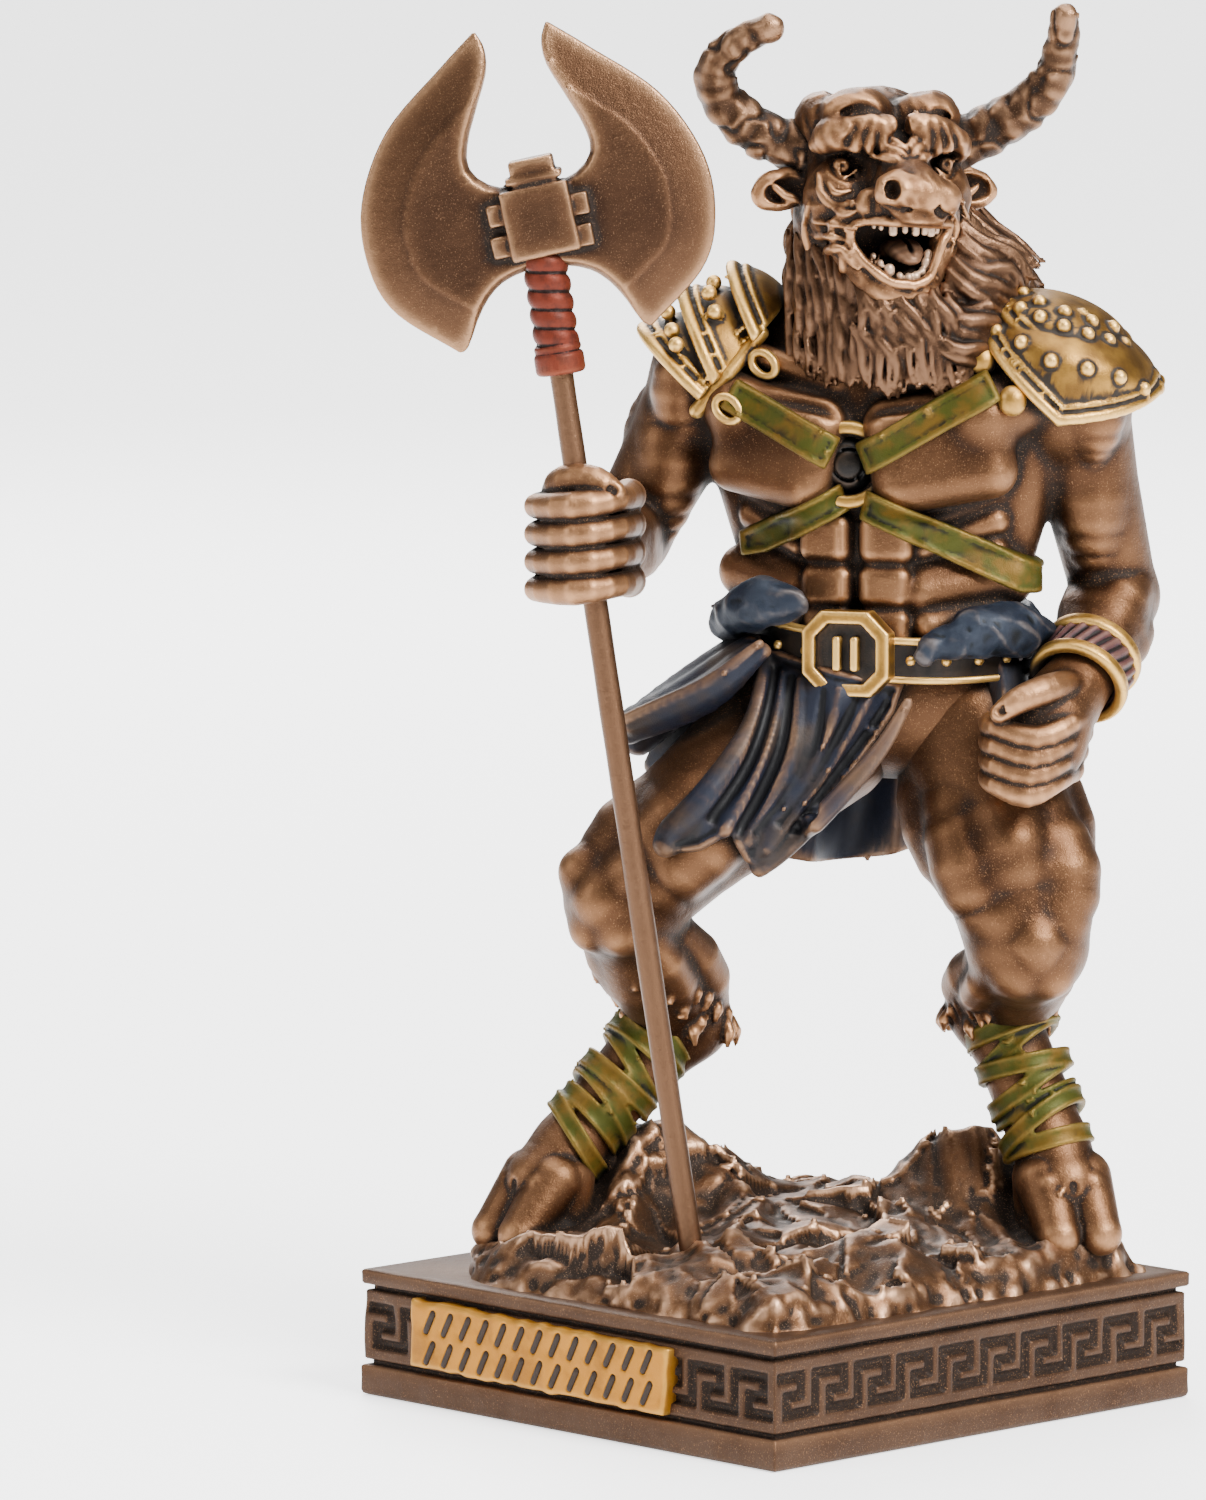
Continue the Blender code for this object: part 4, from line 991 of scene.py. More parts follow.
@dataclass
class Stand:
    """Where a clay that was carved in axes of its own stands in the figure's frame."""

    origin: Array = field(default_factory=lambda: np.zeros(3))
    axes: Array = field(default_factory=lambda: np.eye(3))

    def plain(self) -> bool:
        """Whether these axes are the figure's own."""
        return not self.origin.any() and bool(np.allclose(self.axes, np.eye(3)))

    def out(self, points: Array) -> Array:
        """Places in the figure's frame, from places in these axes."""
        return self.origin + points @ self.axes.T

    def into(self, points: Array) -> Array:
        """Places in these axes, from places in the figure's frame."""
        return (points - self.origin) @ self.axes


@dataclass
class Casting:
    """A piece before it is cast."""

    name: str
    clay: Clay
    finish: Finish = Finish.BRONZE
    keep: float = 0.5
    node: Node = Node.FIGURE
    stand: Stand = field(default_factory=Stand)


class Shade:
    """How closely the whole figurine's surfaces crowd round each place, where the finishes paint shade."""

    def __init__(self, low: Point, high: Point, step: float = 0.5) -> None:
        """An empty block of space."""
        self.clay = Clay(low, high, step)

    def take(self, casting: Casting) -> None:
        """Add a casting that stands in the figure's own axes."""
        fine, coarse = casting.clay, self.clay
        picks = []
        slices = []
        for axis in range(3):
            line = coarse.low[axis] + coarse.step * np.arange(coarse.values.shape[axis])
            place = np.round((line - fine.low[axis]) / fine.step).astype(int)
            held = np.flatnonzero((place >= 0) & (place < fine.values.shape[axis]))
            picks.append(place[held])
            slices.append(slice(held[0], held[-1] + 1))
        view = self.clay.values[tuple(slices)]
        np.minimum(view, fine.values[np.ix_(*picks)], out=view)

    def settle(self, blurs: int = 9) -> None:
        """Turn the distances to the share of space that is filled nearby."""
        filled = np.clip(0.5 - self.clay.values / self.clay.step, 0.0, 1.0).astype(np.float32)
        self.near = Grid(self.clay.low, self.clay.step, filled).blurred(blurs)

    def at(self, points: Array) -> Array:
        """The share that is filled round some places."""
        return self.near.at(points)


class Foundry:
    """Turns clay to finished pieces that ride on the frame."""

    def __init__(self) -> None:
        """Start with nothing cast."""
        self.dresser = Dresser()
        self.castings: list[Casting] = []
        self.shade = Shade((-30, -30, 0), (31, 30, 97))
        self.triangles = 0

    def take(self, castings: Iterable[Casting]) -> None:
        """Take castings in and count their bulk into the shade."""
        for casting in castings:
            self.castings.append(casting)
            if casting.stand.plain():
                self.shade.take(casting)

    def thin(self, item: bpy.types.Object, keep: float) -> None:
        """Leave a share of an object's triangles, most of them where it bends."""
        modifier = item.modifiers.new("thin", "DECIMATE")
        modifier.ratio = keep
        ready = item.evaluated_get(bpy.context.evaluated_depsgraph_get())
        mesh = bpy.data.meshes.new_from_object(ready)
        old = item.data
        item.modifiers.clear()
        item.data = mesh
        bpy.data.meshes.remove(old)

    def mesh_object(self, name: str, points: Array, faces: Array) -> bpy.types.Object:
        """A new object of smooth faces from points in metres."""
        mesh = bpy.data.meshes.new(name)
        mesh.vertices.add(len(points))
        mesh.vertices.foreach_set("co", np.asarray(points, dtype=np.float32).ravel())
        corners = faces.shape[1]
        mesh.loops.add(faces.size)
        mesh.loops.foreach_set("vertex_index", faces.astype(np.int32).ravel())
        mesh.polygons.add(len(faces))
        mesh.polygons.foreach_set("loop_start", np.arange(0, faces.size, corners, dtype=np.int32))
        mesh.update(calc_edges=True)
        mesh.validate()
        item = bpy.data.objects.new(name, mesh)
        bpy.context.scene.collection.objects.link(item)
        return item

    def dress(self, item: bpy.types.Object, finish: Finish, node: Node, values: dict[str, Array]) -> None:
        """Give an object its finish, its worked-out values and its body.

        Args:
            item: The object.
            finish: Its finish.
            node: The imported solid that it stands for.
            values: Values for each of its points, by name.
        """
        mesh = item.data
        mesh.materials.clear()
        mesh.materials.append(self.dresser.material(finish))
        for name, numbers in values.items():
            layer = mesh.attributes.new(name, "FLOAT", "POINT")
            layer.data.foreach_set("value", np.asarray(numbers, dtype=np.float32))
        mesh.shade_smooth()
        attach(item, "root")
        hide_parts(node.value)
        count = sum(len(face.vertices) - 2 for face in mesh.polygons)
        self.triangles += count
        LOG.info("%s: %d triangles", item.name, count)

    def cast(self, casting: Casting) -> None:
        """Make one casting's piece."""
        clay = casting.clay
        points, faces = clay.skin()
        item = self.mesh_object(casting.name, to_world(casting.stand.out(points)), faces)
        self.thin(item, casting.keep)
        count = len(item.data.vertices)
        flat = np.empty(count * 3, dtype=np.float32)
        item.data.vertices.foreach_get("co", flat)
        figure = from_world(flat.reshape(-1, 3))
        own = casting.stand.into(figure)
        normals = clay.slope(own)
        crease = clay.bulge(own, normals, FINE_REACH)
        form = clay.bulge(own, normals, FORM_REACH)
        # the crowding round each point, which the finishes darken as painted shade
        shade_and_wash_mask = self.shade.at(casting.stand.out(own + 0.4 * normals))
        self.dress(item, casting.finish, casting.node, {"crease": crease, "form": form, "shade_and_wash_mask": shade_and_wash_mask})

    def cast_all(self) -> None:
        """Make every casting's piece."""
        self.shade.settle()
        for casting in self.castings:
            self.cast(casting)
        LOG.info("all: %d triangles", self.triangles)


# ---- the body ----


@dataclass
class Body:
    """The axes of the torso, which every part of the figure hangs on."""

    turn: float = -18.0
    middle: tuple[float, float] = (7.2, 1.5)

    def at(self, across: float, back: float, up: float) -> Array:
        """A place in the figure's frame from one in the torso's own."""
        cos, sin = math.cos(math.radians(self.turn)), math.sin(math.radians(self.turn))
        x = self.middle[0] + cos * across - sin * back
        y = self.middle[1] + sin * across + cos * back
        return np.array((x, y, up))

    def turned(self, about_z: float = 0.0, about_x: float = 0.0, about_y: float = 0.0) -> Array:
        """A turn in the torso's own frame."""
        return turned(about_z=self.turn) @ turned(about_z, about_x, about_y)


@dataclass
class Trunk:
    """The chest, belly, back, hips and arms."""

    body: Body
    step: float = 0.2
    chest: Point = (11.3, 6.9, 8.2)
    waist: Point = (9.2, 6.0, 8.5)
    pec: Point = (4.9, 2.2, 3.9)
    seed: int = 5

    def carve(self) -> Clay:
        """The trunk's clay."""
        clay = Clay((-17, -14, 41), (28, 15, 79), self.step)
        self.carve_mass(clay)
        self.carve_front(clay)
        self.carve_back(clay)
        self.carve_neck(clay)
        self.armless = Clay(clay.low, clay.low, clay.step)
        self.armless.values = clay.values.copy()
        self.carve_arm(clay, ((-4.0, 4.6, 70.4), (-10.2, 5.4, 58.6), (-12.6, -5.2, 58.4)), Side.RIGHT)
        self.carve_arm(clay, ((19.4, -1.6, 70.0), (23.0, 2.6, 54.8), (20.6, -4.4, 50.0)), Side.LEFT)
        return clay

    def carve_mass(self, clay: Clay) -> None:
        """The main masses, from shoulders to hips."""
        at, turn = self.body.at, self.body.turned()
        clay.add(ball(at(0, 0.8, 66.0), self.chest, turn), 1.0)
        clay.add(ball(at(0, 0.4, 57.5), self.waist, turn), 2.0)
        clay.add(ball(at(0.6, 0.8, 48.5), (9.6, 6.6, 6.2), turn), 2.0)
        yoke = [at(-10.5, 1.5, 70.5), at(0, 1.4, 73.0), at(10.5, 1.5, 70.5)]
        clay.add(limb(yoke, (3.4, 4.6, 3.4)), 2.5)
        for side in (-1, 1):
            clay.add(limb([at(9.6 * side, 0.4, 67), at(8.0 * side, 0.6, 57)], (3.6, 2.2)), 1.2)

    def carve_front(self, clay: Clay) -> None:
        """The muscles of the chest and belly."""
        at, turned_by = self.body.at, self.body.turned
        for side in (-1, 1):
            tilt = turned_by(about_z=15 * side, about_x=-6, about_y=-10 * side)
            clay.add(block(at(5.6 * side, -5.1, 65.3), self.pec, tilt, 1.9), 0.5)
            clay.add(limb([at(8.6 * side, -4.6, 67.5), at(11.4 * side, -1.6, 69.5)], (2.4, 2.6)), 0.8)
            clay.add(block(at(2.05 * side, -5.5, 59.2), (1.85, 1.35, 1.65), turned_by(8 * side), 0.85), 0.5)
            clay.add(block(at(1.95 * side, -5.5, 56.0), (1.8, 1.3, 1.4), turned_by(8 * side), 0.8), 0.5)
            clay.add(block(at(1.9 * side, -5.4, 53.0), (1.8, 1.3, 1.5), turned_by(8 * side), 0.8), 0.5)
            for rib in range(4):
                start = at(4.3 * side, -4.7, 60.2 - 1.75 * rib)
                end = at(8.4 * side, -2.0, 62.3 - 2.0 * rib)
                clay.add(limb([start, end], (0.75, 1.15)), 0.3)
            clay.add(limb([at(4.2 * side, -4.6, 55.6), at(9.2 * side, -1.6, 56.4)], (1.5, 1.9)), 0.5)
            clay.add(limb([at(4.8 * side, -4.9, 53.4), at(8.6 * side, -2.4, 54.0)], (1.2, 1.6)), 0.4)
            clay.cut(limb([at(1.2 * side, -7.5, 67.8), at(8.6 * side, -6.6, 69.2)], (0.35, 0.3)), 0.7)
        clay.cut(limb([at(0, -8.0, 69), at(0, -7.3, 62)], (0.5, 0.35)), 0.5)
        clay.cut(limb([at(0, -7.4, 60.8), at(0, -7.1, 52)], (0.3, 0.3)), 0.35)
        clay.cut(limb([at(-3.6, -6.9, 61.1), at(0, -7.4, 61.3), at(3.6, -6.9, 61.1)], (0.3, 0.3, 0.3)), 0.4)

    def carve_back(self, clay: Clay) -> None:
        """The muscles of the back, plainer than the front's."""
        at = self.body.at
        for side in (-1, 1):
            tilt = self.body.turned(about_z=-12 * side, about_y=10 * side)
            clay.add(ball(at(4.6 * side, 5.0, 66.5), (4.6, 2.8, 5.4), tilt), 0.5)
            clay.add(limb([at(7.4 * side, 4.0, 63), at(4.6 * side, 5.2, 56)], (2.4, 1.4)), 0.5)
            clay.add(limb([at(1.7 * side, 6.4, 64), at(1.6 * side, 6.2, 54)], (1.5, 1.3)), 0.4)
            clay.add(ball(at(5.2 * side, 5.6, 70.0), (3.4, 2.0, 2.4), tilt), 0.4)
        clay.cut(limb([at(0, 8.6, 71), at(0, 7.6, 56)], (0.6, 0.5)), 0.8)

    def carve_arm(self, clay: Clay, points: Path, side: Side) -> None:
        """One arm, from shoulder to wrist, with its muscles.

        Args:
            clay: The trunk's clay.
            points: The shoulder, elbow and wrist.
            side: Which arm it is.
        """
        shoulder, elbow, wrist = (np.array(point) for point in points)
        sign = side.value
        clay.add(limb([shoulder, 0.5 * (shoulder + elbow), elbow], (4.1, 3.3, 2.9)), 1.0)
        clay.add(limb([elbow, 0.6 * elbow + 0.4 * wrist, wrist], (2.9, 3.1, 2.2)), 0.6)
        clay.add(ball(shoulder + (0.3 * sign, -0.4, -1.0), (4.3, 4.0, 5.0)), 0.6)
        for share in (-1, 0, 1):
            high = shoulder + (1.6 * sign - 0.6 * abs(share), 2.3 * share - 0.6, 1.0)
            low = shoulder + (1.9 * sign, 1.3 * share - 0.4, -5.4)
            middle = 0.5 * (high + low) + (0.4 * sign, 0, 0)
            clay.add(tube((high, middle, low), (1.2, 2.1, 0.5), 8), 0.45)
        upper = elbow - shoulder
        biceps = shoulder + 0.56 * upper
        front = biceps + np.array(((-0.4 * sign, -1.1, 4.4), (-0.2 * sign, -1.7, 0.2), (0, -0.9, -4.6)))
        clay.add(tube(front, (0.9, 2.35, 0.8), 9), 0.5)
        rear = biceps + np.array(((0.5 * sign, 1.2, 4.6), (0.8 * sign, 1.5, 0.6), (0.3 * sign, 1.0, -4.6)))
        clay.add(tube(rear, (1.0, 2.3, 0.8), 9), 0.5)
        clay.add(ball(elbow + (0.3 * sign, 0.9, -0.3), (2.3, 2.3, 2.6)), 1.0)
        fore = wrist - elbow
        for lift, out, size in ((1.3, 0.9, 1.9), (-1.0, 1.2, 1.7), (-0.9, -1.1, 1.6), (0.8, -1.2, 1.5)):
            level = abs(fore[1]) > abs(fore[2])
            shift = np.array((out * sign, 0.0, lift) if level else (out * sign, lift, 0.0))
            start = elbow + 0.06 * fore + shift
            middle = elbow + 0.38 * fore + 1.15 * shift
            end = elbow + 0.94 * fore + 0.35 * shift
            clay.add(tube((start, middle, end), (0.7 * size, 1.1 * size, 0.5 * size), 7), 0.3)

    def carve_neck(self, clay: Clay) -> None:
        """The bull's thick neck, and the slope from it to the shoulders."""
        at = self.body.at
        clay.add(limb([(6.6, 2.4, 71.0), (6.6, 1.2, 79.0)], (6.0, 5.0)), 1.5)
        for side in (-1, 1):
            clay.add(limb([at(3.0 * side, 1.4, 76), at(8.6 * side, 1.6, 72.0)], (2.4, 2.0)), 1.2)
            clay.add(limb([at(1.6 * side, -5.0, 69.6), at(9.0 * side, -3.4, 71.6)], (0.8, 0.9)), 0.5)

    def castings(self) -> list[Casting]:
        """The trunk's casting."""
        return [Casting("trunk", self.carve(), keep=0.36)]


@dataclass
class Fist:
    """One closed hand, from the paths of its fingers, thumb and wrist."""

    name: str
    palm: Point
    palm_radii: Point
    fingers: Sequence[Path]
    thumb: Path
    wrist: Path
    wrist_radii: Sequence[float]
    size: float = 1.0
    step: float = 0.15

    def carve(self) -> Clay:
        """The hand's clay: palm, curled fingers with their knuckles, and the thumb with its nail."""
        middle = np.array(self.palm)
        clay = Clay(middle - 7.0, middle + 7.0, self.step)
        clay.add(ball(self.palm, self.palm_radii), 0.4)
        clay.add(limb(self.wrist, self.wrist_radii), 0.8)
        for path in self.fingers:
            spine = curve(path, 13)
            radii = [self.size * (0.94 + 0.1 * math.cos(2.0 * math.pi * step / 6)) for step in range(13)]
            clay.add(limb(spine, radii), 0.14)
            clay.add(ball(spine[0], 1.12 * self.size), 0.3)
        spine = curve(self.thumb, 11)
        clay.add(limb(spine, swell(1.2 * self.size, 1.15 * self.size, 0.8 * self.size, 11)), 0.14)
        nail = spine[-1] + (0.0, -0.75 * self.size, 0.25)
        clay.cut(ball(nail, (0.5, 0.2, 0.42)), 0.08)
        return clay


@dataclass
class Leg:
    """One leg, from hip to cloven hoof."""

    name: str
    points: Path
    radii: Sequence[float]
    knee_turn: float
    toe: Point
    facing: float
    low: Point
    high: Point
    step: float = 0.2
    seed: int = 3

    def carve(self) -> Clay:
        """The leg's clay."""
        clay = Clay(self.low, self.high, self.step)
        hip, mid, knee, shin, hock, ankle, fetlock = (np.array(point) for point in self.points)
        radii = self.radii
        clay.add(limb([hip, mid, knee], radii[:3]), 1.5)
        clay.add(limb([knee, shin, hock], (radii[2] - 0.6, radii[3], radii[4])), 0.8)
        clay.add(limb([hock, ankle, fetlock], radii[4:7]), 0.8)
        self.carve_thigh(clay, hip, mid, knee)
        self.carve_knee(clay, knee)
        self.carve_calf(clay, knee, hock)
        self.carve_fur(clay, hock, shin)
        self.carve_hoof(clay, fetlock)
        return clay

    def carve_thigh(self, clay: Clay, hip: Array, mid: Array, knee: Array) -> None:
        """The long muscles of the thigh, parted by grooves."""
        turn = turned(about_z=self.knee_turn)
        for across, back, start, end, size in (
            (-3.2, -2.0, 0.30, 0.92, 2.6), (-0.2, -3.4, 0.22, 0.80, 2.5), (2.9, -2.2, 0.34, 0.96, 2.7),
            (4.0, 1.2, 0.10, 0.86, 2.6), (-3.8, 1.6, 0.10, 0.84, 2.6), (0.2, 3.4, 0.15, 0.90, 2.9),
        ):
            shift = turn @ np.array((across, back, 0.0))
            high = hip + (knee - hip) * start + shift * 0.9
            low = hip + (knee - hip) * end + shift * 0.72
            middle = 0.5 * (high + low) + 0.22 * shift + (mid - 0.5 * (hip + knee)) * 0.8
            clay.add(tube((high, middle, low), (0.5 * size, size, 0.45 * size), 7), 0.9)

    def carve_knee(self, clay: Clay, knee: Array) -> None:
        """The knee's cap and the lumps round it."""
        turn = turned(about_z=self.knee_turn)
        clay.add(ball(knee + (0, -0.6, 0.2), (3.2, 3.3, 3.4), turn), 0.5)
        for across, back, up, size in (
            (0, -2.6, 0.2, 1.9), (-2.0, -1.8, 1.9, 1.7), (1.9, -1.9, 2.0, 1.7), (-1.2, -2.1, -2.0, 1.4),
            (1.2, -2.1, -2.1, 1.4),
        ):
            clay.add(ball(knee + turn @ np.array((across, back, up)), size), 0.8)
        for side in (-1, 1):
            path = ((0.5 * side, -4.8, 2.6), (2.4 * side, -4.2, 0.2), (0.6 * side, -4.6, -2.2))
            clay.cut(limb([knee + turn @ np.array(place) for place in path], (0.25, 0.3, 0.2)), 0.5)

    def carve_calf(self, clay: Clay, knee: Array, hock: Array) -> None:
        """The calf's swells behind and the tendons to the hock."""
        turn = turned(about_z=self.knee_turn)
        for across, back, size in (
            (-1.9, 1.6, 1.9), (1.9, 1.6, 1.9), (-1.9, -1.4, 1.3), (1.9, -1.4, 1.4), (0.0, 2.8, 1.7),
        ):
            shift = turn @ np.array((across, back, 0.0))
            start = knee + 0.9 * shift - (0, 0, 1.2)
            end = hock + 0.7 * shift
            middle = 0.5 * (start + end) + 0.45 * shift
            clay.add(tube((start, middle, end), (0.6 * size, size, 0.45 * size), 6), 0.5)

    def carve_fur(self, clay: Clay, hock: Array, shin: Array) -> None:
        """Tufts of short fur behind the hock."""
        draw = np.random.default_rng(self.seed)
        for _ in range(FUR_TUFTS):
            angle = math.radians(self.knee_turn + draw.uniform(15, 345) - 90)
            height = draw.uniform(-0.15, 1.0)
            middle = hock + (shin - hock) * height
            out = np.array((math.cos(angle), math.sin(angle), 0.0))
            start = middle + out * (self.radii[4] + 0.15)
            end = start + (0.25 * out[0], 0.25 * out[1], -1.7) + draw.uniform(-0.35, 0.35, 3)
            clay.add(limb([start, 0.5 * (start + end) + 0.2 * out, end], (0.3, 0.42, 0.15)), 0.1)

    def carve_hoof(self, clay: Clay, fetlock: Array) -> None:
        """The pastern, the dew claws and the cloven hoof."""
        toe = np.array(self.toe)
        facing = math.radians(self.facing)
        forward = np.array((math.sin(facing), -math.cos(facing), 0.0))
        across = np.array((math.cos(facing), math.sin(facing), 0.0))
        top = 0.5 * (fetlock + toe) + (0, 0, 1.0)
        clay.add(limb([fetlock, top], (2.4, 2.6)), 0.8)
        for side in (-1, 1):
            crown = top + across * 1.3 * side + (0, 0, 0.2)
            tip = toe + across * 1.45 * side + forward * 0.9 + (0, 0, 1.0)
            heel = toe + across * 1.8 * side - forward * 3.0 + (0, 0, 1.0)
            claw = limb([crown, tip], (2.05, 1.5))
            clay.add(claw, 0.08)
            clay.add(limb([crown - forward * 1.0, heel], (2.0, 1.6)), 0.15)
            clay.add(limb([tip, heel], (1.5, 1.6)), 0.15)
            rim = [crown + across * 0.9 * side, crown + forward * 1.6 + across * 0.2 * side]
            clay.add(limb(rim, (0.8, 0.8)), 0.25)
            high = fetlock + across * 1.4 * side - forward * 2.0
            low = fetlock + across * 1.5 * side - forward * 2.6 - (0, 0, 1.5)
            clay.add(limb([high, low], (0.8, 0.5)), 0.2)
        split = [top + forward * 2.6 + (0, 0, 0.2), toe + forward * 2.6, toe + forward * 0.2 - (0, 0, 0.5)]
        clay.cut(limb(split, (0.32, 0.34, 0.34)), 0.15)


@dataclass
class Wrap:
    """The strips of cloth bound round one shin."""

    name: str
    start: Point
    end: Point
    radii: tuple[float, float]
    leans: Sequence[float]
    step: float = 0.15
    oval: float = 1.0

    def carve(self) -> Clay:
        """The strips' clay: rings with a rolled rim that lean each their own way."""
        start, end = np.array(self.start), np.array(self.end)
        clay = Clay(np.minimum(start, end) - 4.6, np.maximum(start, end) + 4.6, self.step)
        axis = (start - end) / np.linalg.norm(start - end)
        side = np.cross((0.0, -1.0, 0.0), axis)
        side = side / np.linalg.norm(side)
        axes = np.stack((side, np.cross(axis, side), axis), axis=1)
        count = len(self.leans)
        spacing = np.linalg.norm(end - start) / count
        for turn, lean in enumerate(self.leans):
            share = (turn + 0.5) / count
            middle = start + (end - start) * share
            radius = self.radii[0] + (self.radii[1] - self.radii[0]) * share
            radius = radius + 0.12 * math.sin(2.3 * turn)
            tilt_at = 25.0 * math.sin(1.7 * turn)
            ring = (radius, radius * self.oval)
            clay.add(band(middle, axes, ring, (0.34, 0.43 * spacing), lean, tilt_at), 0.06)
            for rim in (-1, 1):
                place = middle + axis * rim * 0.36 * spacing
                clay.add(band(place, axes, (ring[0] + 0.2, ring[1] + 0.2), (0.24, 0.16), lean, tilt_at), 0.1)
        return clay


# ---- the head ----


@dataclass
class Head:
    """The bull's head, open mouthed and turned to the figure's left."""

    skull: Point = (6.7, -0.4, 83.6)
    yaw: float = 17.0
    pitch: float = 3.0
    step: float = 0.14
    mouth: Path = (
        (0.3, -6.75), (-1.1, -6.5), (-2.4, -5.5), (-3.3, -4.3), (-3.4, -3.3), (-2.8, -2.7), (-0.4, -2.6),
        (2.3, -2.85), (2.65, -3.3), (2.2, -4.1), (1.85, -5.3), (1.4, -6.3), (0.3, -6.75),
    )

    def __post_init__(self) -> None:
        """Work out the head's own axes."""
        self.axes = turned(about_z=self.yaw, about_x=self.pitch)

    def at(self, x: float, y: float, z: float) -> Array:
        """A place in the figure's frame from one in the head's own."""
        return np.array(self.skull) + self.axes @ np.array((x, y, z), dtype=float)

    def limb(self, places: Path, radii: Sequence[float], count: int = 0) -> Shape:
        """A limb along places in the head's own axes, smoothed if a count is given."""
        places = [self.at(*place) for place in places]
        return tube(places, radii, count) if count else limb(places, radii)

    def carve(self) -> Clay:
        """The head's clay."""
        clay = Clay((-4.5, -13.5, 73.5), (17.5, 6.0, 91.5), self.step)
        at, turn = self.at, self.axes
        clay.add(ball(at(0, 0.6, 0.6), (5.3, 4.8, 5.2), turn), 1.0)
        clay.add(ball(at(0, 0.4, -3.4), (5.6, 4.2, 5.0), turn), 1.2)
        clay.add(self.limb(((0, -2.0, 0.2), (0, -5.6, -0.2), (0, -8.2, -0.6)), (3.4, 2.2, 1.9)), 0.8)
        clay.add(self.limb(((-2.3, -6.4, -1.5), (0, -7.3, -1.3), (2.3, -6.4, -1.5)), (1.3, 1.6, 1.3)), 0.5)
        for side in (-1, 1):
            clay.add(ball(at(3.3 * side, -2.2, -1.4), (2.5, 2.6, 3.0), turn), 0.8)
            jaw = ((3.2 * side, -5.2, -2.4), (3.3 * side, -4.6, -4.6), (1.6 * side, -5.6, -6.8))
            clay.add(self.limb(jaw, (1.0, 1.3, 1.2)), 0.7)
        clay.add(self.limb(((0, -0.5, -4.6), (0, -4.6, -6.9)), (4.4, 2.3)), 0.8)
        clay.add(self.limb(((-1.2, -6.3, -7.2), (1.2, -6.3, -7.2)), (1.1, 1.1)), 0.5)
        clay.add(self.limb(((-1.3, -9.1, -0.3), (1.9, -8.8, -0.95)), (1.35, 1.25)), 0.5)
        clay.add(self.limb(((-0.9, -8.6, -1.4), (0.0, -8.5, -2.4), (1.4, -8.3, -2.2)), (0.9, 0.9, 0.8)), 0.5)
        self.carve_mouth(clay)
        for side in (-1, 1):
            self.carve_brow(clay, side)
            self.carve_eye(clay, side)
            self.carve_nostril(clay, side)
            self.carve_ear(clay, side)
        self.carve_cheeks(clay)
        clay.cut(self.limb(((0.3, -3.4, 6.2), (-0.1, -5.2, 4.6), (0.1, -6.0, 3.0)), (0.3, 0.4, 0.4)), 0.3)
        for wrinkle in range(3):
            low = 1.05 + 0.62 * wrinkle
            for side in (-1, 1):
                front = 0.7 * wrinkle
                path = (
                    (0.25 * side, front - 7.6, low), (1.2 * side, front - 6.7, low + 0.55),
                    (2.1 * side, 0.5 * wrinkle - 5.2, low + 0.5),
                )
                clay.add(self.limb(path, (0.26, 0.42, 0.22), 7), 0.1)
        slices, (x, y, z) = clay.window((-4.5, -13.5, 73.5), (17.5, 6.0, 91.5), 0)
        rough = Grain(19).at(x, y, 0.7 * z, 1.5) * 0.12
        rough = rough + np.abs(Grain(20).at(x + 0.4 * z, y, 0.8 * z, 0.8)) * 0.12
        clay.values[slices] += rough.astype(np.float32)
        return clay

    def lip(self, x: float, z: float) -> Array:
        """The lips' place at an x and z of the mouth's outline, pushed a little outwards."""
        return self.at(1.06 * x, -8.55 + 0.2 * x * x + 0.27 * (-2.65 - z), -4.4 + 1.06 * (z + 4.4))

    def carve_mouth(self, clay: Clay) -> None:
        """The gaping mouth with its thin rolled lips."""
        outline = region(curve(self.mouth, 40))
        axes, middle = self.axes, self.at(0, 0, 0)

        def distance(x: Array, y: Array, z: Array) -> Array:
            """The distance to the mouth's hollow."""
            across, back, up = local((x, y, z), middle, axes)
            return np.maximum(outline(across, up), back + 3.2)

        low, high = self.at(0, -7, -4.4) - 6.0, self.at(0, -7, -4.4) + 6.0
        clay.cut(Shape(distance, low, high), 0.15)
        ring = [self.lip(x, z) for x, z in curve(self.mouth, 49)]
        clay.add(limb(ring, [0.4] * 49), 0.12)
        outer = [(1.32 * x, -4.4 + 1.2 * (z + 4.4)) for x, z in curve(self.mouth, 49)[8:22]]
        clay.add(limb([self.at(x, -7.6 + 0.13 * x * x, z) for x, z in outer], swell(0.2, 0.42, 0.2, 14)), 0.2)

    def carve_brow(self, clay: Clay, side: int) -> None:
        """One side of the heavy brow: a dome with a fold that hangs over the eye, parted by wrinkles."""
        lean = 0.35 if side > 0 else 0.0
        clay.add(ball(self.at(2.3 * side, -2.9, 4.3 - lean), (2.5, 2.0, 1.75), self.axes), 0.7)
        fold = (
            (0.9 * side, -5.3, 3.7), (2.4 * side, -5.0, 3.3 - lean), (4.1 * side, -3.7, 2.9 - 2 * lean),
            (4.9 * side, -2.3, 2.2 - 2 * lean),
        )
        clay.add(self.limb(fold, (0.8, 1.35, 0.7), 9), 0.35)
        furrow = ((0.9 * side, -5.4, 4.9), (2.3 * side, -5.1, 5.0 - lean), (3.7 * side, -3.9, 4.3 - lean))
        clay.cut(self.limb(furrow, (0.15, 0.32, 0.15), 8), 0.5)
        clay.add(ball(self.at(3.9 * side, 0.2, 3.6), (1.8, 2.8, 1.9), self.axes), 0.6)
        for wrinkle in range(4):
            x = (1.1 + 0.72 * wrinkle) * side
            path = (
                (x, -6.75 + 0.27 * wrinkle, 4.4), (1.1 * x, -6.7 + 0.3 * wrinkle, 3.2),
                (1.2 * x, -6.0 + 0.3 * wrinkle, 1.9 - 0.5 * lean),
            )
            clay.cut(self.limb(path, (0.12, 0.3, 0.2), 6), 0.4)
        for lobe in range(3):
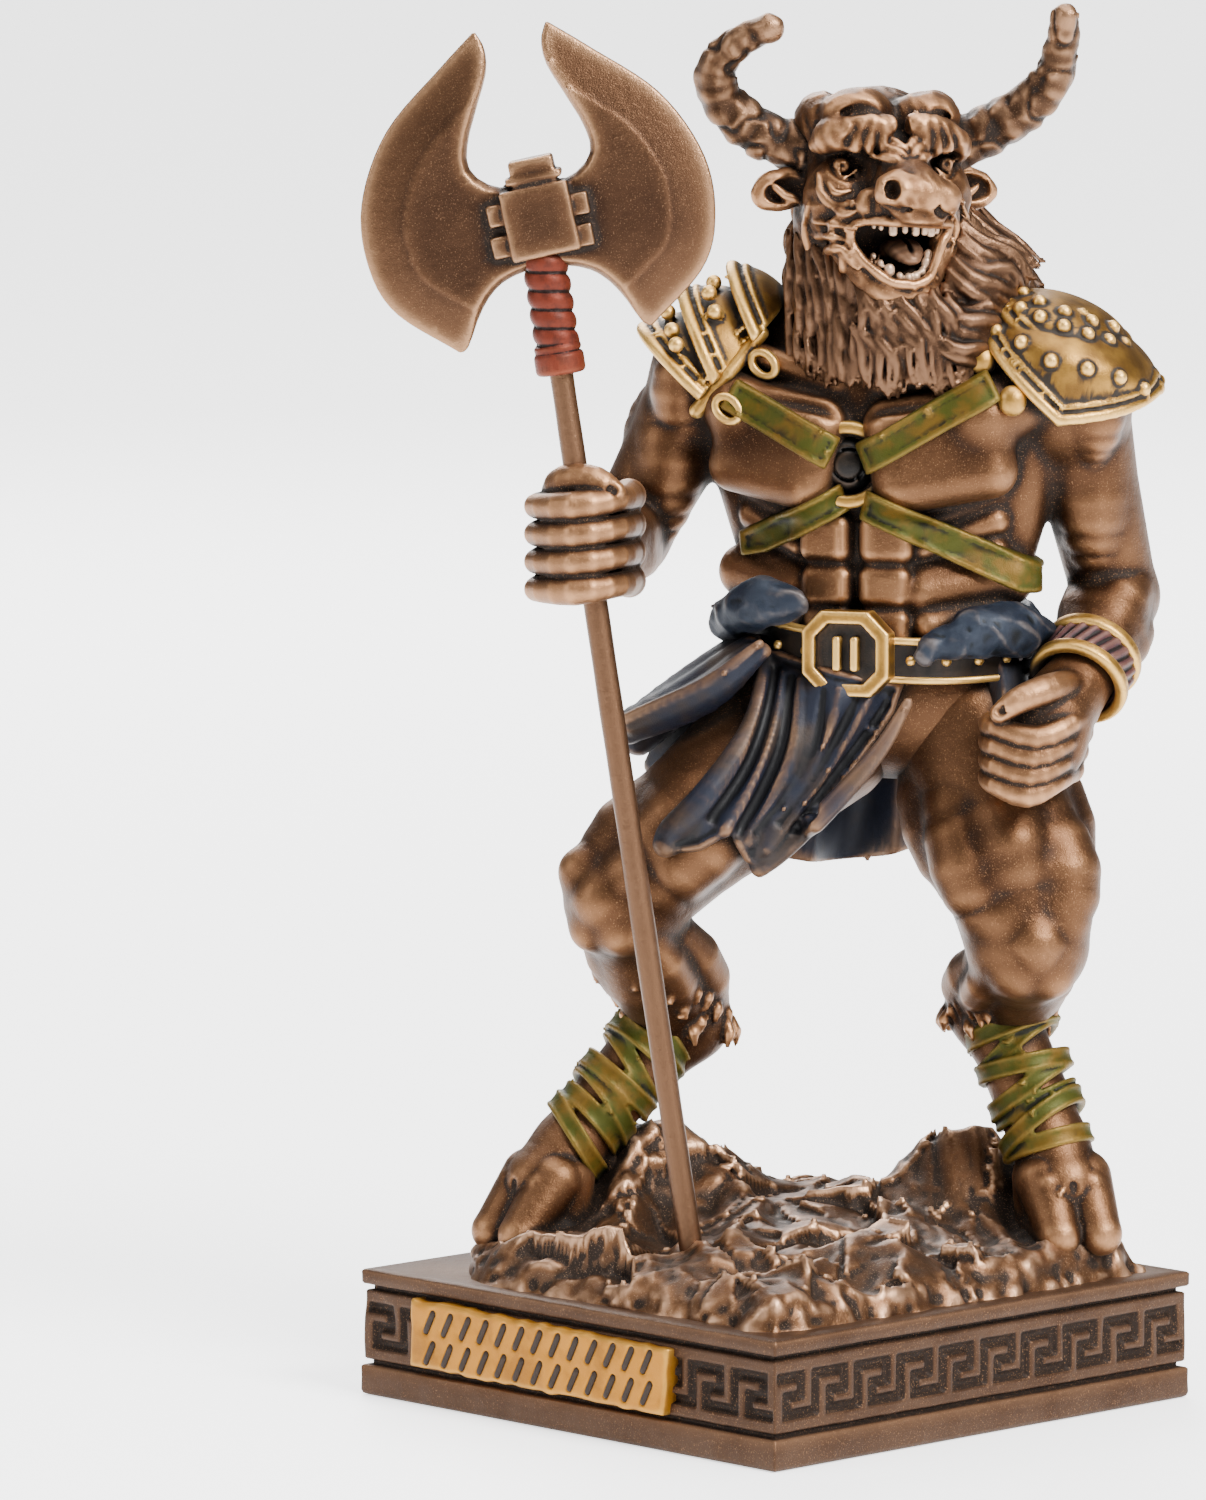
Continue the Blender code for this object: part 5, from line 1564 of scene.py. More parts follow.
            x = (1.45 + 0.85 * lobe) * side
            centre = self.at(x, -5.75 + 0.3 * lobe, 2.55 - 0.5 * lean)
            clay.add(ball(centre, (0.5, 0.62, 0.95), self.axes), 0.3)

    def carve_eye(self, clay: Clay, side: int) -> None:
        """One round eye deep in its socket."""
        place = (3.65 * side, -3.55, 0.85)
        clay.cut(ball(self.at(3.5 * side, -4.6, 0.9), (1.2, 1.7, 0.9), self.axes), 0.2)
        clay.add(ball(self.at(*place), 0.66), 0.03)
        lid = ((2.7 * side, -4.2, 0.65), (3.6 * side, -4.15, 0.1), (4.5 * side, -3.2, 0.6))
        clay.add(self.limb(lid, (0.14, 0.24, 0.14), 7), 0.1)
        clay.cut(ball(self.at(place[0], -4.2, 0.85), 0.24), 0.04)

    def carve_nostril(self, clay: Clay, side: int) -> None:
        """One flared nostril, rolled at its rim: an open hole on the near side, a slit on the far one."""
        if side < 0:
            clay.add(ball(self.at(-1.95, -8.9, -0.4), (1.05, 1.25, 1.2), self.axes), 0.25)
            clay.cut(ball(self.at(-2.05, -10.0, -0.2), (0.42, 1.1, 0.6), self.axes), 0.1)
            under = ((-2.7, -8.6, -1.3), (-1.6, -9.6, -1.8), (-0.6, -9.7, -1.35))
            clay.cut(self.limb(under, (0.15, 0.34, 0.12), 7), 0.2)
        else:
            clay.add(ball(self.at(2.2, -8.7, -1.2), (0.85, 1.0, 1.0), self.axes), 0.25)
            slit = ((1.05, -9.8, -0.7), (1.0, -9.7, -1.4), (1.6, -9.3, -2.0), (2.3, -8.8, -2.1))
            clay.cut(self.limb(slit, (0.2, 0.34, 0.12), 9), 0.15)
        rear = ((2.9 * side, -8.1, 0.2), (3.0 * side, -7.8, -1.0), (2.8 * side, -7.6, -1.9))
        clay.cut(self.limb(rear, (0.15, 0.3, 0.15), 7), 0.3)

    def carve_ear(self, clay: Clay, side: int) -> None:
        """One cupped ear, held out to the side."""
        turn = self.axes @ turned(about_y=14 * side)
        clay.add(ball(self.at(6.5 * side, 0.4, -1.1), (2.2, 1.0, 1.5), turn), 0.15)
        clay.cut(ball(self.at(6.7 * side, -0.7, -1.1), (1.5, 1.1, 0.95), turn), 0.12)
        ridge = ((5.4 * side, -0.3, -1.8), (6.4 * side, -0.2, -1.5), (7.2 * side, -0.1, -0.9))
        clay.add(self.limb(ridge, (0.35, 0.35, 0.2), 6), 0.1)

    def carve_cheeks(self, clay: Clay) -> None:
        """The creases and curls of the cheeks."""
        for size, path in (
            (0.3, ((2.7, 83.7), (3.0, 82.3), (3.95, 81.6), (5.1, 81.9))),
            (0.24, ((3.4, 83.1), (3.95, 82.5), (4.9, 82.6))),
            (0.32, ((3.9, 81.4), (4.5, 81.1), (5.2, 81.3))), (0.26, ((2.5, 80.5), (3.8, 80.4), (5.2, 80.1))),
            (0.34, ((2.2, 78.2), (3.1, 78.0), (3.6, 78.7), (4.3, 78.8), (4.9, 78.1))),
            (0.26, ((2.6, 79.4), (3.7, 79.6), (4.6, 79.3))),
            (0.34, ((2.2, 77.1), (3.2, 77.1), (3.9, 76.6), (4.4, 77.2), (4.3, 78.0))),
            (0.3, ((3.2, 76.3), (4.0, 76.0), (4.9, 76.4))), (0.3, ((2.1, 81.6), (1.9, 79.8), (2.2, 77.9))),
            (0.3, ((12.3, 82.0), (12.6, 80.4), (12.2, 78.9))),
            (0.26, ((11.6, 81.2), (12.0, 80.0), (11.7, 78.6))),
        ):
            clay.add(clay.strand(path, (0.6 * size, size, 0.6 * size), 0.0, -2.5), 0.1)

    def carve_teeth(self) -> Clay:
        """The two rows of teeth."""
        clay = Clay(self.at(0, -7, -4.4) - 5, self.at(0, -7, -4.4) + 5, 0.1)
        for x, size in (
            (-2.3, 0.6), (-1.9, 0.7), (-1.2, 1.25), (-0.45, 0.85), (0.3, 1.1), (0.95, 1.0),
            (1.5, 1.2), (2.0, 0.9),
        ):
            centre = self.at(x, -7.8 + 0.2 * x * x, -2.95 - 0.12 * size - 0.05 * x)
            clay.add(block(centre, (0.22 * size, 0.25, 0.4 * size), self.axes, 0.18), 0.03)
        for x, z, size in (
            (-2.1, -5.0, 0.6), (-1.7, -5.5, 0.8), (-1.15, -5.9, 1.2), (-0.5, -6.3, 0.8), (0.1, -6.4, 0.9),
            (0.65, -6.35, 1.0), (1.15, -6.0, 0.85), (1.5, -5.5, 1.2), (1.6, -4.9, 0.9),
        ):
            clay.add(ball(self.at(x, -7.0 + 0.2 * x * x, z), (0.32 * size, 0.3, 0.4 * size), self.axes), 0.03)
        return clay

    def carve_tongue(self) -> Clay:
        """The tongue, near black as painted shade inside the open mouth."""
        clay = Clay(self.at(0, -5.5, -5) - 5, self.at(0, -5.5, -5) + 5, 0.12)
        path = curve((self.at(0.2, -3.2, -5.4), self.at(0.3, -5.0, -4.7), self.at(0.4, -6.5, -5.2)), 7)
        clay.add(limb(path, (1.3, 1.4, 1.4, 1.3, 1.2, 1.0, 0.7), self.axes[:, 2], 0.6), 0.1)
        clay.cut(limb([self.at(0.3, -4.0, -3.7), self.at(0.4, -7.2, -4.7)], (0.22, 0.16)), 0.2)
        return clay

    def castings(self) -> list[Casting]:
        """The head, teeth and tongue."""
        return [
            Casting("head", self.carve(), keep=0.55),
            Casting("teeth", self.carve_teeth(), Finish.BONE),
            Casting("tongue", self.carve_tongue(), Finish.MOUTH),
        ]


@dataclass
class Horn:
    """One ringed horn."""

    name: str
    points: Path
    step: float = 0.15
    root: float = 1.8
    tip: float = 0.95
    rings: int = 13

    def carve(self) -> Clay:
        """The horn's clay: a tapering curve with ring after ring pressed in it."""
        spine = curve(self.points, 60)
        clay = Clay(spine.min(axis=0) - 2.6, spine.max(axis=0) + 2.6, self.step)
        radii = []
        for step in range(60):
            share = step / 59
            phase = 2 * math.pi * self.rings * (share + 0.025 * math.sin(9 * share))
            ripple = 0.055 * math.cos(phase) * (1.0 - 0.6 * share) * (1.0 + 0.6 * math.sin(23 * share))
            radii.append((self.root + (self.tip - self.root) * share**1.5) * (1.0 + ripple))
        clay.add(limb(spine, radii), 0.1)
        grain = Grain(17)
        slices, (x, y, z) = clay.window(spine.min(axis=0) - 2.0, spine.max(axis=0) + 2.0, 0.5)
        nicks = np.clip(np.abs(grain.at(x, y, z, 1.6)) * 4.0, 0.0, 1.0)
        clay.values[slices] += (0.12 * grain.at(x, y, z, 0.8) + 0.16 * (1.0 - nicks)).astype(np.float32)
        return clay


@dataclass
class Mane:
    """The beard and mane: fine strands on the right, bold locks swept back on the left."""

    middle: Point = (6.8, 0.6, 0.0)
    step: float = 0.16
    seed: int = 11

    def lock(self, clay: Clay, path: Path, width: float, wave: float = 0.0) -> None:
        """Lay one lock of four strands that part and meet again.

        Args:
            clay: The mane's clay.
            path: The places that the lock passes through.
            width: Its width at the middle.
            wave: How far it waves aside.
        """
        spine = curve(path, 9)
        out = spine.mean(axis=0) - (self.middle[0], self.middle[1], spine[:, 2].mean())
        aside = np.cross(spine[-1] - spine[0], out)
        aside = aside / (np.linalg.norm(aside) + 1e-9)
        out = out / (np.linalg.norm(out) + 1e-9)
        for strand in range(4):
            share = strand / 1.5 - 1.0
            places = []
            for step, place in enumerate(spine):
                along = step / 8
                part = 0.5 * width * share * math.sin(math.pi * min(1.0, 0.25 + 0.7 * along))
                swing = wave * math.sin(2.0 * math.pi * along + 0.8 * strand)
                places.append(place + aside * (part + swing) + 0.25 * out * math.cos(1.6 * share))
            size = width * (0.8, 1.25, 0.7, 1.1)[strand]
            clay.add(limb(places, swell(0.12 * size, 0.25 * size, 0.05, 9)), 0.04)

    def carve(self) -> Clay:
        """The mane's clay."""
        clay = Clay((-4, -12, 67), (20, 11, 87), self.step)
        clay.add(limb([(6.9, 1.6, 73.0), (6.7, 1.2, 83.5)], (5.4, 4.6)), 0.5)
        clay.add(limb([(8.4, -4.0, 75.6), (8.8, -4.2, 72.4)], (2.4, 1.4)), 1.0)
        draw = np.random.default_rng(self.seed)
        self.carve_nape(clay, draw)
        self.carve_sweep(clay, draw)
        self.carve_beard(clay, draw)
        return clay

    def carve_nape(self, clay: Clay, draw: np.random.Generator) -> None:
        """The hair that hangs down the right side and the back of the neck."""
        for row in range(5):
            for lock in range(20):
                angle = math.radians(-104 - 190 * (lock + 0.5 * (row % 2)) / 20 + draw.uniform(-4, 4))
                high = 83.0 - 2.3 * row
                radius = 5.1 + 0.2 * row
                path = []
                lift = draw.uniform(-0.3, 0.35)
                for drop, out in ((0.0, -0.2), (1.3, 0.3), (2.6, 0.45), (3.9, 0.2)):
                    size = radius + out + lift
                    bend = angle + 0.09 * math.sin(1.3 * drop + 1.9 * lock)
                    x, y = self.middle[0] + size * math.sin(bend), self.middle[1] - size * math.cos(bend)
                    path.append((x, y, high - drop))
                self.lock(clay, path, draw.uniform(0.6, 1.3), draw.uniform(0.15, 0.4))

    def carve_sweep(self, clay: Clay, draw: np.random.Generator) -> None:
        """The long wavy locks that sweep from the jaw to the left shoulder."""
        for layer in range(4):
            for lock in range(9 if layer < 2 else 6):
                share = lock / 8 if layer < 2 else lock / 5
                start = np.array((11.9 - 2.2 * share, -3.2 - 3.3 * share, 80.6 - 7.2 * share))
                start = start + (0.4 + 0.3 * layer, 2.3 * layer, 0.3 * layer)
                reach = 5.4 + draw.uniform(-0.5, 0.6) - 1.6 * max(0.0, 0.4 - share)
                fall = 4.0 + draw.uniform(-0.4, 0.5) - 1.1 * share
                path = (
                    start,
                    start + (0.32 * reach, -0.2 + 0.4 * layer, -0.42 * fall),
                    start + (0.66 * reach, 0.5, -0.62 * fall),
                    start + (reach, 1.8 + 0.8 * share, -fall),
                )
                path = path + draw.uniform(-0.25, 0.25, (4, 3))
                self.lock(clay, path, draw.uniform(1.0, 1.9), draw.uniform(0.2, 0.5))

    def carve_beard(self, clay: Clay, draw: np.random.Generator) -> None:
        """The beard under the chin, and the fine hair that falls from the right cheek."""
        for row in range(3):
            for lock in range(7):
                share = lock / 6
                front = -6.6 + 1.3 * abs(share - 0.5)
                start = np.array((5.8 + 5.4 * share, front, 76.3 - 1.2 * row - 0.5 * share))
                fall = 4.6 + draw.uniform(-0.3, 0.5)
                path = (start, start + (0.5, -0.4, -0.4 * fall), start + (1.1 + 0.6 * share, 0.2, -fall))
                path = path + draw.uniform(-0.25, 0.25, (3, 3))
                self.lock(clay, path, draw.uniform(0.8, 1.6), draw.uniform(0.2, 0.45))
        for row in range(4):
            for lock in range(9):
                share = lock / 8
                start = np.array((0.9 + 5.4 * share, -0.6 - 4.8 * share**0.7, 79.6 - 1.7 * row - 1.4 * share))
                fall = 4.2 + draw.uniform(-0.4, 0.6)
                end = start + (0.25 - 0.4 * (1 - share), 0.0, -fall)
                path = (start, start + (-0.1, -0.25, -0.5 * fall), end) + draw.uniform(-0.2, 0.2, (3, 3))
                self.lock(clay, path, draw.uniform(0.6, 1.2), draw.uniform(0.15, 0.4))


# ---- dress and armour ----


def overlay(clay: Clay, corners: Path, thickness: float, rim: float, back: float, smooth: int = 6) -> Clay:
    """A strip of leather or cloth that lies on the front of some clay.

    Args:
        clay: What the strip lies on.
        corners: The strip's outline, seen from the front.
        thickness: How far it stands proud.
        rim: How much further its edges do.
        back: The y behind which it isn't.
        smooth: How much the hollows under it are bridged.

    Returns:
        The strip's clay.
    """
    outline = region(corners)
    flat = np.array(corners, dtype=float)
    low, high = flat.min(axis=0), flat.max(axis=0)
    slices, (x, y, z) = clay.window((low[0], clay.low[1], low[1]), (high[0], back, high[1]), 0.8)
    strip = Clay(clay.low, clay.low, clay.step)
    held = clay.values[slices]
    start = clay.low + clay.step * np.array([part.start for part in slices])
    bridged = Grid(start, clay.step, np.clip(held, -3, 3)).blurred(smooth).values
    body = np.minimum(held, bridged - 0.1)
    edge = outline(x, z)
    lift = thickness + rim * np.exp(-(((edge + 0.22) / 0.16) ** 2))
    shell = np.maximum(np.maximum(body - lift, -(body + 0.7)), np.maximum(edge, y - back))
    strip.low = start
    strip.values = shell.astype(np.float32)
    return strip


@dataclass
class Straps:
    """The crossed straps on the chest, and the ring with its boss where they meet."""

    trunk: Clay
    ring_at: Point = (4.8, 0.0, 64.2)
    ring: float = 2.5
    thickness: float = 0.55
    outlines: Sequence[Path] = (
        ((-2.7, 69.8), (-3.9, 67.9), (3.2, 63.9), (4.3, 66.0)),
        ((14.0, 70.8), (15.0, 68.8), (6.0, 63.6), (5.2, 65.6)),
        ((4.3, 63.0), (5.0, 61.2), (-0.6, 58.0), (-2.4, 57.6), (-2.6, 59.2)),
        ((6.0, 62.6), (5.5, 60.6), (16.3, 55.6), (18.4, 55.4), (18.6, 57.2)),
    )

    def castings(self) -> list[Casting]:
        """The four straps, the gold ring and the dark boss."""
        result = []
        for number, corners in enumerate(self.outlines):
            strip = overlay(self.trunk, corners, self.thickness, 0.16, 1.5)
            result.append(Casting(f"strap_{number + 1}", strip, Finish.STRAP))
        x, _, z = self.ring_at
        front = self.trunk.front(x, z, -6.0) - 0.75
        axes = turned(about_z=-10, about_x=90)
        low, high = np.array((x - 4, front - 2.5, z - 4)), np.array((x + 4, front + 3, z + 4))
        ring = Clay(low, high, 0.12)
        ring.add(band((x, front + 0.3, z), axes, (self.ring, self.ring), (0.46, 0.7)), 0.05)
        boss = Clay(low, high, 0.12)
        boss.add(ball((x, front + 0.9, z), (1.95, 1.35, 1.95)), 0.1)
        boss.cut(band((x, front - 0.2, z), axes, (1.05, 1.05), (0.08, 0.5)), 0.15)
        result.append(Casting("chest_ring", ring, Finish.GOLD))
        result.append(Casting("chest_boss", boss, Finish.LACQUER))
        return result


@dataclass
class Plate:
    """One curved plate of a shoulder guard, with a rolled rim along its edge."""

    centre: Point
    axes: Array
    radii: Point
    drop: float = 0.0
    point_at: float = 0.0
    spread: float = 75.0
    rim: float = 0.42
    flare: float = 0.03

    def edge(self, angle: Array) -> Array:
        """How high the plate's edge lies at an angle from its front."""
        apart = np.abs(np.mod(np.degrees(angle) - self.point_at + 180.0, 360.0) - 180.0)
        return -self.drop * np.clip(1.0 - apart / self.spread, 0.0, 1.0)

    def shape(self) -> Shape:
        """The plate's solid."""

        def distance(x: Array, y: Array, z: Array) -> Array:
            """The distance to the plate."""
            u, v, w = local((x, y, z), self.centre, self.axes)
            ring = np.hypot(u / self.radii[0], v / self.radii[1])
            size = 0.5 * (self.radii[0] + self.radii[1])
            near = np.sqrt(ring**2 + (w / self.radii[2]) ** 2) + 1e-6
            across, along, up = self.radii
            slope = np.sqrt((u / across**2) ** 2 + (v / along**2) ** 2 + (w / up**2) ** 2)
            dome = near * (near - 1.0) / (slope + 1e-6)
            wall = (ring - 1.0) * size + self.flare * w
            above = w - self.edge(np.arctan2(u, -v))
            bead = self.rim * np.sqrt(np.clip(1 - ((above - 0.45) / 0.5) ** 2, 0, 1))
            bead = bead + 0.4 * self.rim * np.sqrt(np.clip(1 - ((above - 1.3) / 0.25) ** 2, 0, 1))
            return np.maximum(np.where(w > 0, dome, wall) - bead, -above * 0.85)

        reach = max(self.radii) + self.drop + 1.0
        return Shape(distance, np.array(self.centre) - reach, np.array(self.centre) + reach)

    def on_surface(self, angle: float, height: float) -> Array:
        """A place on the plate, from an angle from its front and a height above its level."""
        turn = math.radians(angle)
        size = math.sqrt(max(0.0, 1.0 - (max(height, 0.0) / self.radii[2]) ** 2))
        x, y = self.radii[0] * size * math.sin(turn), -self.radii[1] * size * math.cos(turn)
        return np.array(self.centre) + self.axes @ np.array((x, y, height))


@dataclass
class Pauldrons:
    """The guards on both shoulders: lames on one, two pointed plates on the other."""

    trunk: Clay
    step: float = 0.16

    def carve_left(self) -> Clay:
        """The two pointed plates, with studs between their trims."""
        clay = Clay((11, -10, 64), (28, 8, 78), self.step)
        axes = turned(about_z=-8) @ turned(about_y=20)
        low = Plate((19.5, -1.6, 71.0), axes, (6.5, 6.7, 3.4), 3.7, 12.0, 70.0)
        high = Plate((19.2, -1.5, 72.9), axes, (4.9, 5.4, 2.6), 2.1, 14.0, 75.0, 0.4)
        clay.add(low.shape(), 0.1)
        clay.add(high.shape(), 0.1)
        for number in range(9):
            clay.add(ball(low.on_surface(-70 + 22 * number, 0.2 + 0.5 * abs(math.sin(number))), 0.52), 0.08)
        for row, count in ((0.9, 7), (1.7, 5)):
            for number in range(count):
                clay.add(ball(high.on_surface(-60 + 150 * number / count, row), 0.5), 0.08)
        clay.add(ball(high.on_surface(10, -0.6), 0.5), 0.08)
        return clay

    def carve_right(self) -> Clay:
        """The three lames and their round studs."""
        clay = Clay((-13, -5, 61), (5, 12.5, 80), self.step)
        for centre, lean, radii in (
            ((-5.6, 4.4, 68.8), 44, (5.3, 5.4, 5.0)),
            ((-4.6, 4.3, 70.4), 66, (5.3, 5.5, 5.6)),
            ((-1.4, 4.1, 72.3), 66, (5.0, 5.3, 3.4)),
        ):
            clay.add(Plate(centre, turned(about_z=-4) @ turned(about_y=lean), radii, rim=0.45).shape(), 0.08)
        for place in (
            (-4.6, 0.6, 75.4), (-4.2, -0.4, 74.2), (-7.1, 0.2, 72.9), (-6.8, -0.8, 72.0), (-4.3, 2.4, 76.0),
            (-7.4, 2.2, 74.0),
        ):
            clay.add(ball(place, 0.55), 0.1)
        cutter = block((-1.0, 0.0, 67.0), (9.0, 30.0, 4.0), turned(about_y=-47), 0.2)
        clay.cut(cutter, 0.1)
        return clay

    def carve_bar(self) -> Clay:
        """The bar in front of the lames, and its two loops."""
        clay = Clay((-9, -8, 62), (4, 4, 77), 0.12)
        front = self.trunk.front
        places = []
        for x, z in ((-5.4, 67.5), (-3.3, 70.0), (-1.1, 72.7)):
            places.append((x, min(front(x, z, -0.5), 0.5) - 0.4, z))
        clay.add(limb(places, (0.55, 0.5, 0.55)), 0.1)
        for x, z, lean in ((-0.9, 70.7, -40), (-3.3, 67.8, -40)):
            y = min(front(x, z, -1.0), 0.0) - 0.35
            axes = turned(about_z=-20, about_x=90, about_y=0) @ turned(about_z=lean)
            clay.add(band((x, y, z), axes, (0.95, 0.7), (0.3, 0.34)), 0.05)
        return clay

    def carve_loops(self) -> Clay:
        """The two loops that tie the pointed plates to the strap."""
        clay = Clay((10, -10, 64), (19, 0, 76), 0.12)
        for x, z in ((13.7, 71.2), (15.7, 68.7)):
            y = self.trunk.front(x, z, -5.0) - 0.4
            clay.add(ball((x, y, z), (0.95, 0.8, 1.05)), 0.1)
        return clay

    def castings(self) -> list[Casting]:
        """The guards' castings."""
        return [
            Casting("left_shoulder_plates", self.carve_left(), Finish.GOLD, 0.6),
            Casting("right_shoulder_lames", self.carve_right(), Finish.GOLD, 0.6),
            Casting("right_shoulder_bar", self.carve_bar(), Finish.GOLD),
            Casting("left_shoulder_loops", self.carve_loops(), Finish.GOLD),
        ]


@dataclass
class Belt:
    """The belt with its gold edges, its eight-sided buckle, and the sash rolled over it."""

    body: Body
    centre: Point = (0.5, 0.6, 52.1)
    radii: tuple[float, float] = (9.9, 7.75)
    height: float = 1.45
    rise: float = 1.0
    rise_at: float = 130.0
    step: float = 0.15

    def ring(self, up: float, proud: float, thick: float, half: float) -> Shape:
        """A band round the hips."""
        middle = self.body.at(self.centre[0], self.centre[1], self.centre[2] + up)
        radii = (self.radii[0] + proud, self.radii[1] + proud)
        return band(middle, self.body.turned(), radii, (thick, half), self.rise, self.rise_at)

    def carve_strap(self) -> Clay:
        """The belt's dark leather."""
        clay = Clay((-6, -11, 47), (22, 13, 57), self.step)
        clay.add(self.ring(0, 0, 0.5, self.height), 0.1)
        return clay

    def carve_edges(self) -> Clay:
        """The gold edges and the studs between them."""
        clay = Clay((-6, -11, 47), (22, 13, 57), self.step)
        for side in (-1, 1):
            clay.add(self.ring(side * (self.height - 0.15), 0.28, 0.34, 0.27), 0.05)
        for number in range(26):
            angle = 360.0 * number / 26
            turn = math.radians(angle)
            x = (self.radii[0] + 0.55) * math.cos(turn)
            y = (self.radii[1] + 0.55) * math.sin(turn)
            rise = self.rise * math.cos(turn - math.radians(self.rise_at))
            place = self.body.at(self.centre[0] + x, self.centre[1] + y, self.centre[2] + rise)
            clay.add(ball(place, 0.36), 0.05)
        return clay

    def octagon(self, half: float, depth: float, back: float) -> Shape:
        """An eight-sided slab at the buckle's place."""
        middle = self.body.at(0.15, back, 51.65)
        plate = block(middle, (half, depth, half * 0.94), self.body.turned(), 0.16)
        corners = (half * 1.07, depth, half * 1.03)
        return plate.within(block(middle, corners, self.body.turned(about_y=45), 0.16))

    def carve_buckle(self) -> Clay:
        """The buckle's frame with its two upright bars."""
        middle = self.body.at(0.15, -8.3, 51.65)
        clay = Clay(middle - 4.5, middle + 4.5, 0.12)
        clay.add(self.octagon(3.05, 0.85, -8.2), 0.05)
        clay.cut(self.octagon(2.15, 1.2, -9.4), 0.08)
        for side in (-1, 1):
            bar = self.body.at(0.15 + 0.62 * side, -8.6, 51.65)
            clay.add(block(bar, (0.26, 0.5, 1.15), self.body.turned(), 0.12), 0.04)
        return clay

    def carve_recess(self) -> Clay:
        """The dark ground inside the buckle's frame."""
        middle = self.body.at(0.15, -8.3, 51.65)
        clay = Clay(middle - 4.0, middle + 4.0, 0.12)
        clay.add(self.octagon(2.3, 0.3, -8.05), 0.05)
        return clay

    def carve_sash(self) -> Clay:
        """The cloth that is rolled and bunched over the belt."""
        clay = Clay((-8, -12, 47), (24, 14, 60), 0.17)
        around = []
        for step in range(33):
            turn = math.radians(-148 - 246 * step / 32)
            rise = 0.7 * math.cos(turn - math.radians(self.rise_at))
            around.append(self.body.at(0.5 + 9.3 * math.cos(turn), 0.7 + 7.0 * math.sin(turn), 53.4 + rise))
        clay.add(limb(around, swell(1.0, 1.25, 1.1, 33)), 0.3)
        for lift, out, size in ((0.9, 0.1, 0.6), (-0.2, 0.85, 0.62), (-1.0, 0.7, 0.55)):
            fold = []
            for place in np.array(around):
                away = place - self.body.at(0.5, 0.7, place[2])
                fold.append(place + (0.0, 0.0, lift) + out * away / 9.0)
            clay.add(limb(fold, swell(0.5 * size, 1.1 * size, 0.6 * size, 33)), 0.2)
        left = ((-3.2, -0.8, 53.2), (-2.2, -3.2, 54.4), (-0.4, -4.9, 55.0), (1.5, -5.9, 55.1))
        right = ((10.6, -7.4, 52.4), (12.9, -6.9, 53.0), (15.2, -5.6, 53.2), (17.4, -3.4, 52.8))
        for places, radii in ((left, (1.2, 1.5, 0.6)), (right, (0.7, 1.7, 1.4))):
            spine = curve(places, 12)
            clay.add(limb(spine, swell(*radii, 12)), 0.4)
            for turn in range(5):
                angle = 2 * math.pi * turn / 5
                shift = np.array((0.2 * math.cos(angle), -0.9 * abs(math.cos(angle)), 1.0 * math.sin(angle)))
                waves = 0.5 + 0.6 * np.sin(np.pi * np.arange(12) / 11)
                strand = spine + waves[:, None] * shift
                clay.add(limb(strand, swell(0.3, 0.62, 0.35, 12)), 0.12)
        clay.add(limb([(10.4, -7.9, 52.2), (9.9, -8.1, 51.6)], (0.8, 0.5)), 0.3)
        slices, (x, y, z) = clay.window((-8, -12, 47), (24, 14, 60), 0)
        folds = np.abs(Grain(61).at(x + 0.6 * z, y + 0.3 * z, z + 0.3 * x, 2.3))
        folds = folds + 0.3 * np.abs(Grain(62).at(x, y, z, 1.0))
        clay.values[slices] += (0.6 * (folds - 0.5)).astype(np.float32)
        return clay

    def castings(self) -> list[Casting]:
        """The belt's castings."""
        return [
            Casting("belt", self.carve_strap(), Finish.LACQUER, 0.25),
            Casting("belt_edges", self.carve_edges(), Finish.GOLD, 0.45),
            Casting("buckle", self.carve_buckle(), Finish.GOLD, 0.6),
            Casting("buckle_ground", self.carve_recess(), Finish.LACQUER, 0.4),
            Casting("sash", self.carve_sash(), Finish.SASH, 0.6),
        ]


